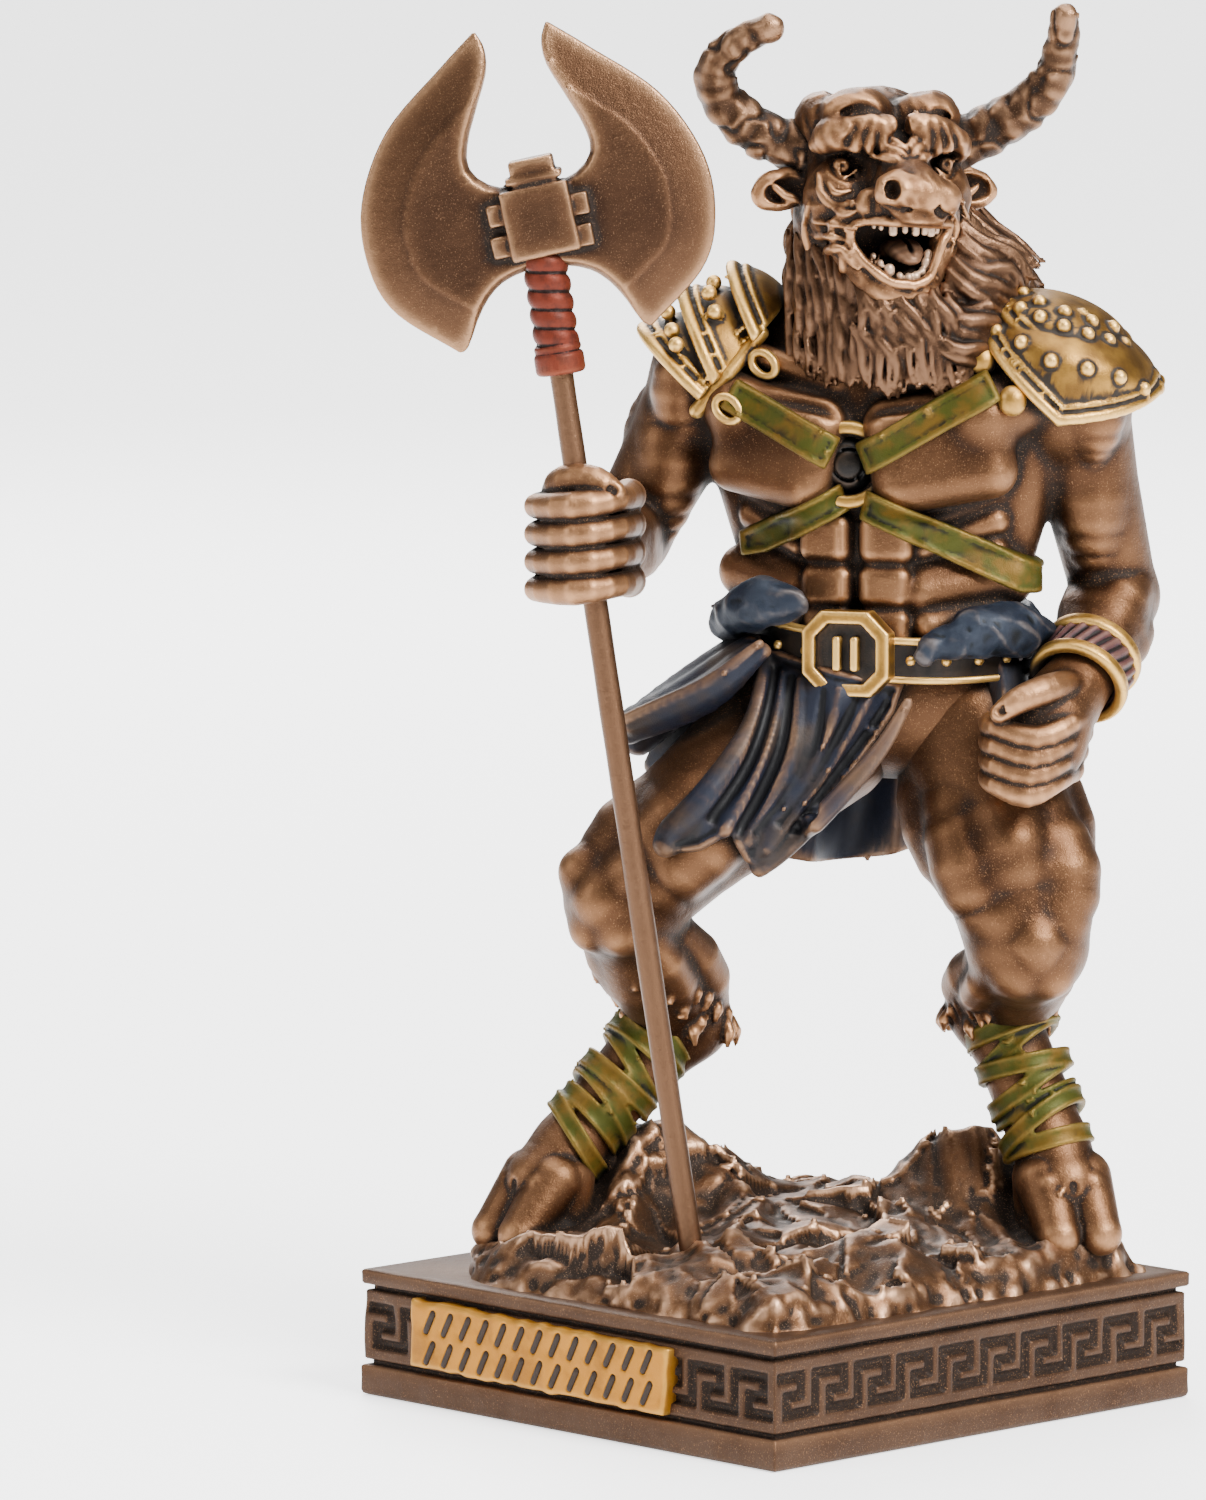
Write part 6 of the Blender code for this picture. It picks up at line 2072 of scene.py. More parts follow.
@dataclass
class Kilt:
    """The cloth under the belt: a flap over one thigh, a tail to the side and a skirt behind."""

    body: Body
    legs: Sequence[Leg]
    trunk: Clay
    step: float = 0.2
    flap: Path = (
        (-1.6, 52.0), (8.6, 49.6), (7.9, 47.6), (6.6, 45.6), (4.3, 42.6), (0.9, 38.5), (-1.1, 36.9),
        (-2.1, 37.7), (-3.1, 39.7), (-5.1, 38.5), (-7.1, 38.3), (-8.2, 38.9), (-7.6, 40.2), (-5.1, 42.6),
        (-2.8, 45.3), (-1.4, 48.6),
    )
    ridges: Sequence[tuple[float, Path]] = (
        (0.95, ((-0.7, 51.2), (-1.3, 47.4), (-2.7, 44.8), (-4.9, 42.0), (-6.9, 39.9), (-7.4, 38.9))),
        (0.55, ((0.4, 50.0), (-0.3, 46.4), (-1.6, 43.0), (-3.4, 40.0))),
        (0.7, ((1.7, 49.6), (1.1, 45.0), (-0.3, 42.1), (-2.0, 39.2))),
        (0.6, ((4.2, 49.2), (3.6, 46.6), (2.0, 43.6), (-0.3, 40.3), (-1.3, 38.2))),
        (0.6, ((6.4, 48.9), (4.7, 46.3), (2.9, 43.6), (0.7, 40.6), (-0.7, 38.6))),
        (0.7, ((8.8, 48.6), (7.2, 45.8), (5.2, 43.3), (2.6, 40.5), (0.3, 38.3), (-1.1, 37.2))),
    )
    valleys: Sequence[Path] = (
        ((0.0, 50.4), (-0.8, 47.0), (-2.0, 44.0), (-4.2, 40.8)),
        ((1.0, 49.8), (0.4, 45.8), (-1.0, 42.4), (-2.6, 39.6)),
        ((3.1, 49.2), (2.6, 45.6), (1.0, 42.4), (-1.2, 39.8)),
        ((5.4, 48.8), (4.3, 46.4), (2.5, 43.3), (0.3, 40.4)),
        ((7.4, 48.2), (5.7, 45.6), (3.6, 42.8), (1.4, 39.9)),
    )

    def carve_flap(self) -> Clay:
        """The front flap, with its folds."""
        base = Clay((-12, -15, 34), (13, 4, 54), self.step)
        base.add(ball(self.body.at(0.6, 0.8, 48.5), (9.8, 6.9, 6.2), self.body.turned()), 1.0)
        for leg in self.legs:
            hip, mid, knee = (np.array(point) for point in leg.points[:3])
            radii = (leg.radii[0], leg.radii[1] + 0.9, leg.radii[2])
            base.add(limb([hip, mid + (0, -0.7, 0), knee], radii), 2.0)
        drape = [(4.4, -5.0, 48), (1.5, -5.4, 43), (-0.8, -5.0, 38.6)]
        base.add(limb(drape, (2.2, 2.2, 1.4), (0, 1, 0), 0.8), 1.5)
        slices, (x, y, z) = base.window((-12, -15, 34), (13, 2.0, 54), 0)
        edge = region(self.flap)(x, z)
        held = base.values[slices]
        lift = 0.75 + 0.35 * np.exp(-(((edge + 0.3) / 0.25) ** 2))
        shell = np.maximum(np.maximum(held - lift, -(held + 0.8)), np.maximum(edge, y - 1.0))
        base.only(shell.astype(np.float32), slices)
        for size, path in self.ridges:
            base.add(base.strand(path, (0.5 * size, size, 0.9 * size), -0.25 * size, -9.0), 0.4)
        for path in self.valleys:
            base.cut(base.strand(path, (0.25, 0.42, 0.35), 0.05, -9.0), 0.35)
        return base

    def carve_tail(self) -> Clay:
        """The tail that blows out to the figure's right."""
        clay = Clay((-14, -10, 38), (2, 9, 54), self.step)
        sheets = (
            ((-1.0, -5.6, 51.8), (-4.6, -5.2, 49.0), (-9.9, -3.6, 46.5), 1.0),
            ((-1.6, -4.6, 51.4), (-5.0, -4.2, 48.4), (-10.2, -2.4, 45.9), 1.3),
            ((-1.6, -3.2, 51.8), (-5.6, -2.6, 48.6), (-10.4, -0.8, 46.0), 1.4),
            ((-2.2, -1.4, 51.8), (-6.2, -0.8, 48.6), (-10.2, 0.8, 45.6), 1.4),
            ((-2.2, 0.8, 51.6), (-6.2, 1.6, 48.0), (-9.6, 2.8, 44.6), 1.4),
            ((-2.0, 2.8, 51.4), (-5.4, 4.0, 47.0), (-8.0, 5.4, 42.6), 1.4),
        )
        for start, middle, end, width in sheets:
            radii = (0.7 * width, width, 0.8 * width)
            clay.add(tube((start, middle, end), radii, 9, (0.5, 0, 1), 0.75), 0.6)
        for start, middle, end, width in sheets:
            lift = np.array((-0.1, -0.7, 0.5))
            places = [np.array(place) + lift for place in (start, middle, end)]
            clay.add(tube(places, (0.3, 0.55, 0.45), 9), 0.2)
        return clay

    def carve_skirt(self) -> Clay:
        """The skirt behind, which flares downwards in folds."""
        clay = Clay((-16, -12, 34), (26, 18, 53), 0.22)
        cos, sin = math.cos(math.radians(self.body.turn)), math.sin(math.radians(self.body.turn))

        def distance(x: Array, y: Array, z: Array) -> Array:
            """The distance to the skirt."""
            dx, dy = x - self.body.middle[0], y - self.body.middle[1]
            across, back = cos * dx + sin * dy - 0.5, cos * dy - sin * dx + 0.2
            fall = 51.0 - z
            wide = 9.2 + 0.17 * fall
            deep = 6.8 + 0.2 * fall
            near = np.hypot(across / wide, back / deep)
            angle = np.arctan2(across, back)
            folds = (0.25 + 0.07 * fall) * np.sin(11 * angle + 0.12 * fall + 0.6 * np.sin(5 * angle))
            shell = np.abs((near - 1.0) * 0.5 * (wide + deep) * 0.9 - folds * 0.8) - 0.55
            hem = 36.4 + 0.9 * np.sin(3 * angle + 0.5) - z
            sides = np.abs(angle) - math.radians(112)
            return np.maximum(np.maximum(shell, hem), np.maximum(z - 51.4, sides * 6.0))

        clay.add(Shape(distance, np.array((-16, -14, 35)), np.array((30, 18, 52))), 0.2)
        return clay

    def castings(self) -> list[Casting]:
        """The cloth's castings."""
        return [
            Casting("kilt_flap", self.carve_flap(), Finish.CLOTH, 0.6),
            Casting("kilt_tail", self.carve_tail(), Finish.CLOTH, 0.5),
            Casting("kilt_skirt", self.carve_skirt(), Finish.CLOTH, 0.3),
        ]


@dataclass
class Bracelet:
    """Rings round a wrist, and the lacing between them where there are two."""

    name: str
    middle: Point
    axis: Point
    radius: float
    gaps: Sequence[float]
    laced: bool = False

    def castings(self) -> list[Casting]:
        """The rings' castings, and the lacing's."""
        middle, axis = np.array(self.middle), np.array(self.axis, dtype=float)
        axis = axis / np.linalg.norm(axis)
        side = np.cross(axis, (0.0, 0.3, 1.0))
        side = side / np.linalg.norm(side)
        axes = np.stack((side, np.cross(axis, side), axis), axis=1)
        ring = Clay(middle - 5.5, middle + 5.5, 0.14)
        for gap in self.gaps:
            ring.add(band(middle + axis * gap, axes, (self.radius, self.radius), (0.42, 0.5)), 0.05)
        result = [Casting(self.name, ring, Finish.GOLD, 0.6)]
        if self.laced:
            lacing = Clay(middle - 5.5, middle + 5.5, 0.14)
            lacing.add(band(middle, axes, (self.radius - 0.35, self.radius - 0.35), (0.4, 1.1)), 0.1)
            for knot in range(22):
                angle = 2 * math.pi * knot / 22
                out = axes[:, 0] * math.cos(angle) + axes[:, 1] * math.sin(angle)
                place = middle + (self.radius - 0.05) * out
                slant = axis * 0.8 + 0.35 * (axes[:, 1] * math.cos(angle) - axes[:, 0] * math.sin(angle))
                lacing.add(limb([place - slant, place + slant], (0.3, 0.3)), 0.08)
            result.append(Casting(f"{self.name}_lacing", lacing, Finish.LACING, 0.6))
        return result


# ---- the ground ----


@dataclass
class Rock:
    """The craggy ground under the hooves."""

    half: float = 18.8
    step: float = 0.25
    base: float = 1.9
    mounds: Sequence[tuple[float, float, float, float]] = (
        (-8.0, 6.5, 7.6, 6.0), (13.8, 5.5, 6.6, 5.4), (3.0, 9.0, 3.0, 7.5), (-6.0, -9.0, 1.4, 6.0),
        (20.6, -1.5, 1.2, 4.5), (4.0, -5.0, 1.8, 9.0), (-12.5, 1.5, 1.6, 4.5),
    )

    def __post_init__(self) -> None:
        """Draw the rock's grain."""
        self.grain = Grain(23)

    def height(self, x: Array, y: Array) -> Array:
        """How high the rock rises above the plinth at a place."""
        height = self.base
        for east, north, rise, spread in self.mounds:
            height = height + rise * np.exp(-((x - east) ** 2 + (y - north) ** 2) / spread**2)
        flat = np.zeros_like(x + y)
        warp_x = x + 1.6 * self.grain.at(x, y, flat + 3.0, 6.0)
        warp_y = y + 1.6 * self.grain.at(x, y, flat + 40.0, 6.0)
        for size, amount in ((6.5, 0.9), (3.4, 0.35), (1.9, 0.16), (1.0, 0.08)):
            rise = self.grain.at(warp_x, 0.8 * warp_y, flat + 9.0 * size, size)
            height = height + amount * (0.65 - 2.0 * np.abs(rise))
        height = height + self.stones(warp_x, warp_y, 110, 0.24, 5)
        return height + self.stones(warp_x, 0.7 * warp_y, 420, 0.16, 6)

    def stones(self, x: Array, y: Array, count: int, tilt: float, seed: int) -> Array:
        """The tilted faces of broken stones that lie side by side.

        Args:
            x: The places' x.
            y: Their y.
            count: How many stones there are.
            tilt: How steep their faces may be.
            seed: What to draw them from.

        Returns:
            How high the nearest stone's face lies at each place.
        """
        draw = np.random.default_rng(seed)
        nearest = np.full(np.broadcast(x, y).shape, 1.0e9)
        height = np.zeros_like(nearest)
        for _ in range(count):
            east, north = draw.uniform(-27.0, 27.0, 2)
            lean = draw.uniform(-tilt, tilt, 2)
            away = (x - east) ** 2 + (y - north) ** 2
            closer = away < nearest
            nearest = np.where(closer, away, nearest)
            height = np.where(closer, lean[0] * (x - east) + lean[1] * (y - north), height)
        return height

    def carve(self) -> Clay:
        """The rock's clay."""
        clay = Clay((-28, -28, GROUND - 1.0), (28, 28, 22), self.step)
        cos, sin = math.cos(TURN), math.sin(TURN)
        line = self.grain

        def distance(x: Array, y: Array, z: Array) -> Array:
            """The distance to the rock."""
            top = (z - GROUND - self.height(x, y)) * 0.72
            square = np.maximum(np.abs(x * cos - y * sin), np.abs(x * sin + y * cos)) - self.half
            waver = 0.6 * line.at(x, y, 0.6 * z, 2.2) + 0.35 * line.at(x, y, z, 0.9)
            rounded = np.hypot((x - 2.2) / 24.0, y / 26.5) * 24.0 - 23.6
            wall = -smooth_min(-square, -rounded, 2.0) + 0.5 + waver + 0.4 * (z - GROUND)
            return np.maximum(-smooth_min(-top, -wall, 0.6), GROUND - 0.6 - z)

        clay.add(Shape(distance, np.array((-28, -28, GROUND - 1)), np.array((28, 28, 22))), 0.1)
        return clay

    def castings(self) -> list[Casting]:
        """The rock's casting."""
        return [Casting("rock", self.carve(), Finish.ROCK, 0.38)]


@dataclass
class Plinth:
    """The square plinth, with its grooves and the key pattern sunk in its sides."""

    side: float = 40.0
    base: float = 2.1
    groove: float = 0.4
    band: float = 4.8
    rim: float = 1.0
    groove_depth: float = 0.6
    band_inset: float = 0.2
    bevel: float = 0.35
    key_units: int = 10
    key_height: float = 3.05
    key_depth: float = 0.42
    fine: float = 0.17

    def key(self) -> Callable[[Array, Array], Array]:
        """The distance to the key pattern's channels, across and up from the band's middle."""
        column = self.side / self.key_units / 6
        row = self.key_height / 5
        unit = ((0, 0), (0, 4), (4, 4), (4, 2), (2, 2), (2, 0), (6, 0))

        def distance(across: Array, up: Array) -> Array:
            """The distance to the channels."""
            place = np.mod(across / column + 6 * 50 + 1.0, 6.0)
            height = up / row + 2.0
            best = None
            for shift in (-6, 0, 6):
                for start, end in zip(unit, unit[1:]):
                    run = np.subtract(end, start)
                    across_run = place - 1.0 - shift - start[0]
                    along = (across_run * run[0] + (height - start[1]) * run[1]) / (run @ run)
                    along = np.clip(along, 0, 1)
                    dx = np.abs(across_run - along * run[0])
                    dz = np.abs(height - start[1] - along * run[1])
                    found = np.maximum(dx, dz) - 0.5
                    best = found if best is None else np.minimum(best, found)
            return best * min(column, row)

        return distance

    def profile(self) -> list[tuple[float, float]]:
        """The sides' profile: how far out it lies, and how high."""
        half = self.side / 2
        inner = half - self.groove_depth
        flat = half - self.band_inset
        rows = [(half - 6.0, 0.0), (half - self.bevel, 0.0), (half - 0.1, 0.12), (half, self.bevel)]
        rows += [(half, 1.2), (half, self.base - 0.12), (half - 0.12, self.base), (inner, self.base + 0.05)]
        low = self.base + self.groove
        rows += [(inner, low - 0.05), (flat - 0.1, low)]
        count = int(self.band / self.fine)
        rows += [(flat, low + 0.1 + (self.band - 0.2) * step / count) for step in range(count + 1)]
        high = low + self.band
        rows += [(flat - 0.1, high), (inner, high + 0.05), (inner, high + self.groove - 0.05)]
        top = high + self.groove
        rows += [(half - 0.1, top), (half, top + 0.12), (half, top + 0.5 * self.rim)]
        top += self.rim
        rows += [(half, top - 0.14), (half - 0.14, top), (half - 1.2, top), (half - 6.0, top - 0.1)]
        return rows

    def build(self, foundry: Foundry) -> None:
        """Make the plinth's mesh: the profile led round the square, with the pattern pressed in."""
        count = int(self.side / self.fine)
        share = np.linspace(-1.0, 1.0, count, endpoint=False)
        rows = np.array(self.profile())
        low = self.base + self.groove + self.band / 2
        flat = self.side / 2 - self.band_inset
        key = self.key()
        grain = Grain(31)
        rings = []
        dents = []
        for out, height in rows:
            across = share * out
            sunk = np.zeros(count)
            if abs(height - low) < self.band / 2 - 0.05 and abs(out - flat) < 0.01:
                near = key(across, np.full(count, height - low + 0.04))
                sunk = self.key_depth * np.clip(0.5 - near / 0.16, 0.0, 1.0)
                sunk = sunk * (np.abs(share) < 0.985)
            ring = []
            for side in range(4):
                turn = math.radians(90 * side)
                depth = -(out - sunk)
                x = across * math.cos(turn) - depth * math.sin(turn)
                y = across * math.sin(turn) + depth * math.cos(turn)
                ring.append(np.stack((x, y, np.full(count, height)), axis=1))
            ring = np.concatenate(ring)
            wave = 0.05 * grain.at(ring[:, 0], ring[:, 1], ring[:, 2], 1.3) + 0.05 * grain.at(*ring.T, 4.0)
            if 0.05 < height < self.height - 0.05:
                ring[:, :2] *= 1.0 + wave[:, None] / 20.0
            rings.append(ring)
            dents.append(np.tile(sunk, 4))
        points = np.concatenate(rings)
        around = 4 * count
        index = np.arange(around)
        beside = (index + 1) % around
        faces = []
        for row in range(len(rows) - 1):
            first, second = row * around, (row + 1) * around
            faces.append(np.stack((first + index, first + beside, second + beside, second + index), axis=1))
        lids = [np.array((0.0, 0.0, 0.0)), np.array((0.0, 0.0, self.height - 0.1))]
        item = self.closed(points, np.concatenate(faces), lids, around)
        sunk = np.concatenate(dents + [np.zeros(2)])
        out = np.concatenate((np.repeat(rows[:, 0], around), (0.0, 0.0)))
        height = np.concatenate((points[:, 2], (0.0, self.height)))
        groove = (out < self.side / 2 - 0.4) & (height > 1.0) & (height < self.height - 0.5)
        crease = -1.6 * (sunk / self.key_depth) - 1.6 * groove
        edge = np.abs(height - self.base) < 0.16
        edge |= np.abs(height - self.height + 0.14) < 0.1
        crease = crease + 0.8 * edge * ~groove
        flat_values = np.zeros(len(crease))
        # the plinth takes the crowding of an open surface for the painted shade in its finish
        values = {"crease": crease, "form": flat_values, "shade_and_wash_mask": flat_values + OPEN_SHADE_AND_WASH_MASK}
        foundry.dress(item, Finish.PLINTH, Node.FIGURE, values)

    @property
    def height(self) -> float:
        """The plinth's height."""
        return self.base + 2 * self.groove + self.band + self.rim

    def closed(self, points: Array, faces: Array, lids: list[Array], around: int) -> bpy.types.Object:
        """An object of four-sided faces, closed below and above by fans.

        Args:
            points: The places of the sides.
            faces: Their faces.
            lids: The middles of the underside and the top.
            around: How many points lie round the plinth.

        Returns:
            The object.
        """
        total = len(points)
        places = np.concatenate((points, np.array(lids)))
        item_mesh = bpy.data.meshes.new("plinth")
        index = range(around)
        fans = [(total, (step + 1) % around, step) for step in index]
        top = total - around
        fans += [(total + 1, top + step, top + (step + 1) % around) for step in index]
        item_mesh.from_pydata((places * MM).tolist(), [], faces.tolist() + fans)
        item_mesh.update()
        item = bpy.data.objects.new("plinth", item_mesh)
        bpy.context.scene.collection.objects.link(item)
        return item


@dataclass
class NamePlate:
    """The plate on the plinth's front side, with two rows of short slanted strokes."""

    length: float = 25.4
    height: float = 5.1
    offset: float = -2.1
    middle: float = 4.9
    proud: float = 0.75
    face: float = 19.8
    strokes: int = 13

    def stand(self) -> Stand:
        """The plinth's axes."""
        return Stand(np.zeros(3), turned(about_z=-45))

    def stroke_lines(self) -> list[list[tuple[float, float, float]]]:
        """The strokes' ends."""
        lines = []
        for row in (-1, 1):
            for number in range(self.strokes):
                x = self.offset + self.length * ((number + 0.5) / self.strokes - 0.5) * 0.9
                z = self.middle + row * 1.05
                lean = 0.34
                front = -self.face - self.proud
                lines.append([(x - lean, front, z - 0.62), (x + lean, front, z + 0.62)])
        return lines

    def castings(self) -> list[Casting]:
        """The plate and its dark strokes."""
        half = self.length / 2
        low = (self.offset - half - 1, -self.face - 2, self.middle - self.height / 2 - 1)
        high = (self.offset + half + 1, -self.face + 1.5, self.middle + self.height / 2 + 1)
        clay = Clay(low, high, 0.12)
        grain = Grain(41)
        left, right = self.offset - half, self.offset + half
        bottom, top = self.middle - self.height / 2, self.middle + self.height / 2
        corners = ((left, bottom + 0.25), (right - 0.5, bottom), (right, top - 0.3), (left + 0.2, top))
        outline = region(corners)

        def distance(x: Array, y: Array, z: Array) -> Array:
            """The distance to the plate."""
            edge = outline(x, z) + 0.10 * grain.at(x, 0 * x * z, z, 0.9) + 0.12
            front = -self.face - self.proud - y + 0.05 * grain.at(x, y, z, 1.1)
            return -smooth_min(-edge, -np.maximum(front, y + self.face - 0.9), 0.35)

        clay.add(Shape(distance, np.array(low), np.array(high)), 0.05)
        ink = Clay(low, high, 0.12)
        for line in self.stroke_lines():
            clay.cut(limb(line, (0.26, 0.26)), 0.1)
            deep = [(x, y + 0.16, z) for x, y, z in line]
            ink.add(limb(deep, (0.26, 0.26)), 0.03)
        return [
            Casting("name_plate", clay, Finish.OCHRE, 0.35, stand=self.stand()),
            Casting("plate_strokes", ink, Finish.INK, 0.5, stand=self.stand()),
        ]


@dataclass
class Axe:
    """The long axe: its shaft, bound grip, block with tabs, and double blade."""

    foot: Point = (-5.6, -10.0, 11.6)
    head: Point = (-14.6, -10.6, 72.6)
    length: float = 66.0
    above: float = 4.0
    shaft: float = 0.8
    grip: float = 1.45
    grip_length: float = 4.6
    thickness: float = 0.85
    edge: float = 0.28
    bevel: float = 3.0
    upper: Path = (
        (0.0, 2.3), (2.5, 2.6), (4.0, 3.9), (3.9, 5.7), (2.9, 8.1), (2.0, 10.2), (1.9, 11.8), (2.4, 13.0),
    )
    cutting: Path = (
        (2.4, 13.0), (5.0, 10.9), (9.1, 7.3), (11.4, 3.0), (11.7, -1.0), (10.4, -4.6), (6.4, -8.0),
    )
    lower: Path = ((6.4, -8.0), (5.8, -7.6), (4.8, -5.7), (3.7, -4.3), (2.4, -3.5), (0.0, -2.9))

    def stand(self) -> Stand:
        """The axes at the block's middle: across, back and up the shaft."""
        foot, head = np.array(self.foot), np.array(self.head)
        up = (head - foot) / np.linalg.norm(head - foot)
        across = np.cross((0.0, 1.0, 0.0), up)
        across = across / np.linalg.norm(across)
        axes = np.stack((across, np.cross(up, across), up), axis=1)
        return Stand(foot + up * (self.length + self.above), axes)

    def outline(self) -> tuple[list[Array], Array]:
        """The right blade's outline, and its cutting edge alone."""
        upper, cutting, lower = curve(self.upper, 18), curve(self.cutting, 34), curve(self.lower, 12)
        return [*upper, *cutting[1:], *lower[1:]], cutting

    def carve_blades(self) -> Clay:
        """The blades, block and tabs."""
        clay = Clay((-12.6, -2.2, -9.0), (12.6, 2.2, 14.0), 0.19)
        half, cutting = self.outline()
        left = [(-x, z) for x, z in reversed(half[1:-1])]
        shape = region([*half, *left])

        def to_edge(x: Array, z: Array) -> Array:
            """The distance to the cutting edge."""
            best = None
            for start, end in zip(cutting, cutting[1:]):
                run = end - start
                along = ((x - start[0]) * run[0] + (z - start[1]) * run[1]) / float(run @ run)
                along = np.clip(along, 0, 1)
                found = np.hypot(x - start[0] - along * run[0], z - start[1] - along * run[1])
                best = found if best is None else np.minimum(best, found)
            return best

        def distance(x: Array, y: Array, z: Array) -> Array:
            """The distance to the blades."""
            inside = shape(x, z)
            near = np.clip(to_edge(np.abs(x), z) / self.bevel, 0, 1)
            thick = self.edge + (self.thickness - self.edge) * near
            thick = thick + 0.08 * np.clip((near - 0.97) * 30, 0, 1)
            thick = np.minimum(thick, 0.35 - inside * 1.6)
            return np.maximum(np.abs(y) - thick, inside)

        clay.add(Shape(distance, np.array((-12.6, -2.2, -9)), np.array((12.6, 2.2, 14))), 0.02)
        lean = turned(about_y=-4)
        clay.add(block((0.1, 0, 0.0), (2.3, 1.75, 2.35), lean, 0.15), 0.06)
        clay.add(block((0.1, 0, 3.0), (1.5, 1.5, 1.2), lean, 0.15), 0.06)
        clay.add(block((0.1, 0, 2.9), (1.9, 1.62, 0.25), lean, 0.1), 0.06)
        for side in (-1, 1):
            for level in (-1.35, 0.75):
                clay.add(block((0.1 + 2.55 * side, 0, level), (0.85, 1.45, 0.75), lean, 0.12), 0.05)
        return clay

    def carve_shaft(self) -> Clay:
        """The shaft, a cast rod that isn't quite even."""
        low = -(self.length + self.above) - 2.0
        clay = Clay((-1.3, -1.3, low - 0.5), (1.3, 1.3, -2.0), 0.12)
        grain = Grain(53)

        def distance(x: Array, y: Array, z: Array) -> Array:
            """The distance to the shaft."""
            radius = self.shaft + 0.035 * grain.at(0 * z + 1.5, 0 * z + 2.5, z, 3.0)
            return np.maximum(np.hypot(x, y) - radius, low - z)

        clay.add(Shape(distance, np.array((-1.3, -1.3, low - 0.5)), np.array((1.3, 1.3, -2.0))), 0.02)
        return clay

    def carve_grip(self) -> Clay:
        """The binding round the shaft under the block, with its collar."""
        low = -self.above - self.grip_length - 1.7
        clay = Clay((-2.4, -2.4, low - 0.6), (2.4, 2.4, -1.6), 0.11)

        def distance(x: Array, y: Array, z: Array) -> Array:
            """The distance to the binding."""
            angle = np.arctan2(y, x)
            wind = np.abs(np.sin(angle * 0.5 + z * math.pi / 1.25))
            radius = self.grip - 0.22 + 0.3 * np.sqrt(wind)
            return np.maximum((np.hypot(x, y) - radius) * 0.85, np.maximum(low + 0.8 - z, z + 2.2))

        clay.add(Shape(distance, np.array((-2.4, -2.4, low)), np.array((2.4, 2.4, -1.6))), 0.02)
        clay.add(band((0, 0, low + 0.75), np.eye(3), (1.25, 1.25), (0.42, 0.75)), 0.05)
        clay.add(band((0, 0, low + 1.75), np.eye(3), (1.2, 1.2), (0.38, 0.22)), 0.05)
        return clay

    def castings(self) -> list[Casting]:
        """The axe's castings."""
        stand = self.stand()
        return [
            Casting("axe_blades", self.carve_blades(), Finish.AXE, 0.8, Node.AXE, stand),
            Casting("axe_shaft", self.carve_shaft(), Finish.SHAFT, 0.2, Node.AXE, stand),
            Casting("axe_grip", self.carve_grip(), Finish.CORD, 0.6, Node.AXE, stand),
        ]


# ---- the studio ----


@dataclass
class Studio:
    """The pale floor, the soft lights and the camera at the photograph's viewing angle."""

    distance: float = 0.600
    height: float = 0.1094
    lens: float = 213.4
    pitch: float = 0.1079
    yaw: float = 0.0196
    world: float = 0.14

    def build(self, dresser: Dresser) -> None:
        """Make the studio."""
        self.make_camera()
        self.make_floor(dresser)
        self.make_world()
        self.make_light("above", (40, -60, 900), 900, 17.0, (1.0, 1.0, 1.0))
        self.make_light("key", (480, -520, 560), 330, 19.0, (1.0, 0.99, 0.97))
        self.make_light("fill", (-620, -260, 330), 340, 2.6, (0.97, 0.985, 1.0))
        self.make_light("back", (-150, 620, 480), 420, 6.0, (1.0, 1.0, 1.0))

    def make_camera(self) -> None:
        """The camera."""
        data = bpy.data.cameras.new("camera")
        data.lens = self.lens
        data.sensor_width = 36.0
        data.clip_end = 10.0
        camera = bpy.data.objects.new("camera", data)
        bpy.context.scene.collection.objects.link(camera)
        pitch, yaw = self.pitch, self.yaw
        way = np.array((-math.sin(yaw) * math.cos(pitch), math.cos(yaw) * math.cos(pitch), -math.sin(pitch)))
        start = np.array((0.0, -self.distance, self.height)) / MM
        place, aim = to_world(start)[0], to_world(start + way * 100.0)[0]
        camera.location = Vector(place)
        camera.rotation_euler = Vector(aim - place).to_track_quat("-Z", "Y").to_euler()
        bpy.context.scene.camera = camera

    def make_floor(self, dresser: Dresser) -> None:
        """The flat floor, wide enough to fill the picture."""
        turn = Matrix.Rotation(TURN, 4, "Z")
        corners = [turn @ Vector(place) for place in ((-6, -3, 0), (6, -3, 0), (6, 16, 0), (-6, 16, 0))]
        mesh = bpy.data.meshes.new("floor")
        mesh.from_pydata([tuple(corner) for corner in corners], [], [(0, 1, 2, 3)])
        floor = bpy.data.objects.new("floor", mesh)
        mesh.materials.append(dresser.material(Finish.FLOOR))
        bpy.context.scene.collection.objects.link(floor)

    def make_world(self) -> None:
        """The white surroundings."""
        world = bpy.data.worlds.new("world")
        world.use_nodes = True
        world.node_tree.nodes["Background"].inputs["Color"].default_value = (1.0, 1.0, 1.0, 1.0)
        world.node_tree.nodes["Background"].inputs["Strength"].default_value = self.world
        bpy.context.scene.world = world

    def make_light(self, name: str, place: Point, size: float, power: float, colour: Colour) -> None:
        """One soft light, aimed at the figure's middle.

        Args:
            name: Its name.
            place: Where it stands, in the figure's frame.
            size: The side of its square.
            power: Its power in watts.
            colour: Its colour.
        """
        data = bpy.data.lights.new(name, "AREA")
        data.size = size * MM
        data.energy = power
        data.color = colour
        light = bpy.data.objects.new(name, data)
        bpy.context.scene.collection.objects.link(light)
        light.location = Vector(to_world(place)[0])
        aim = Vector(to_world((2.0, 0.0, 50.0))[0])
        light.rotation_euler = (aim - light.location).to_track_quat("-Z", "Y").to_euler()


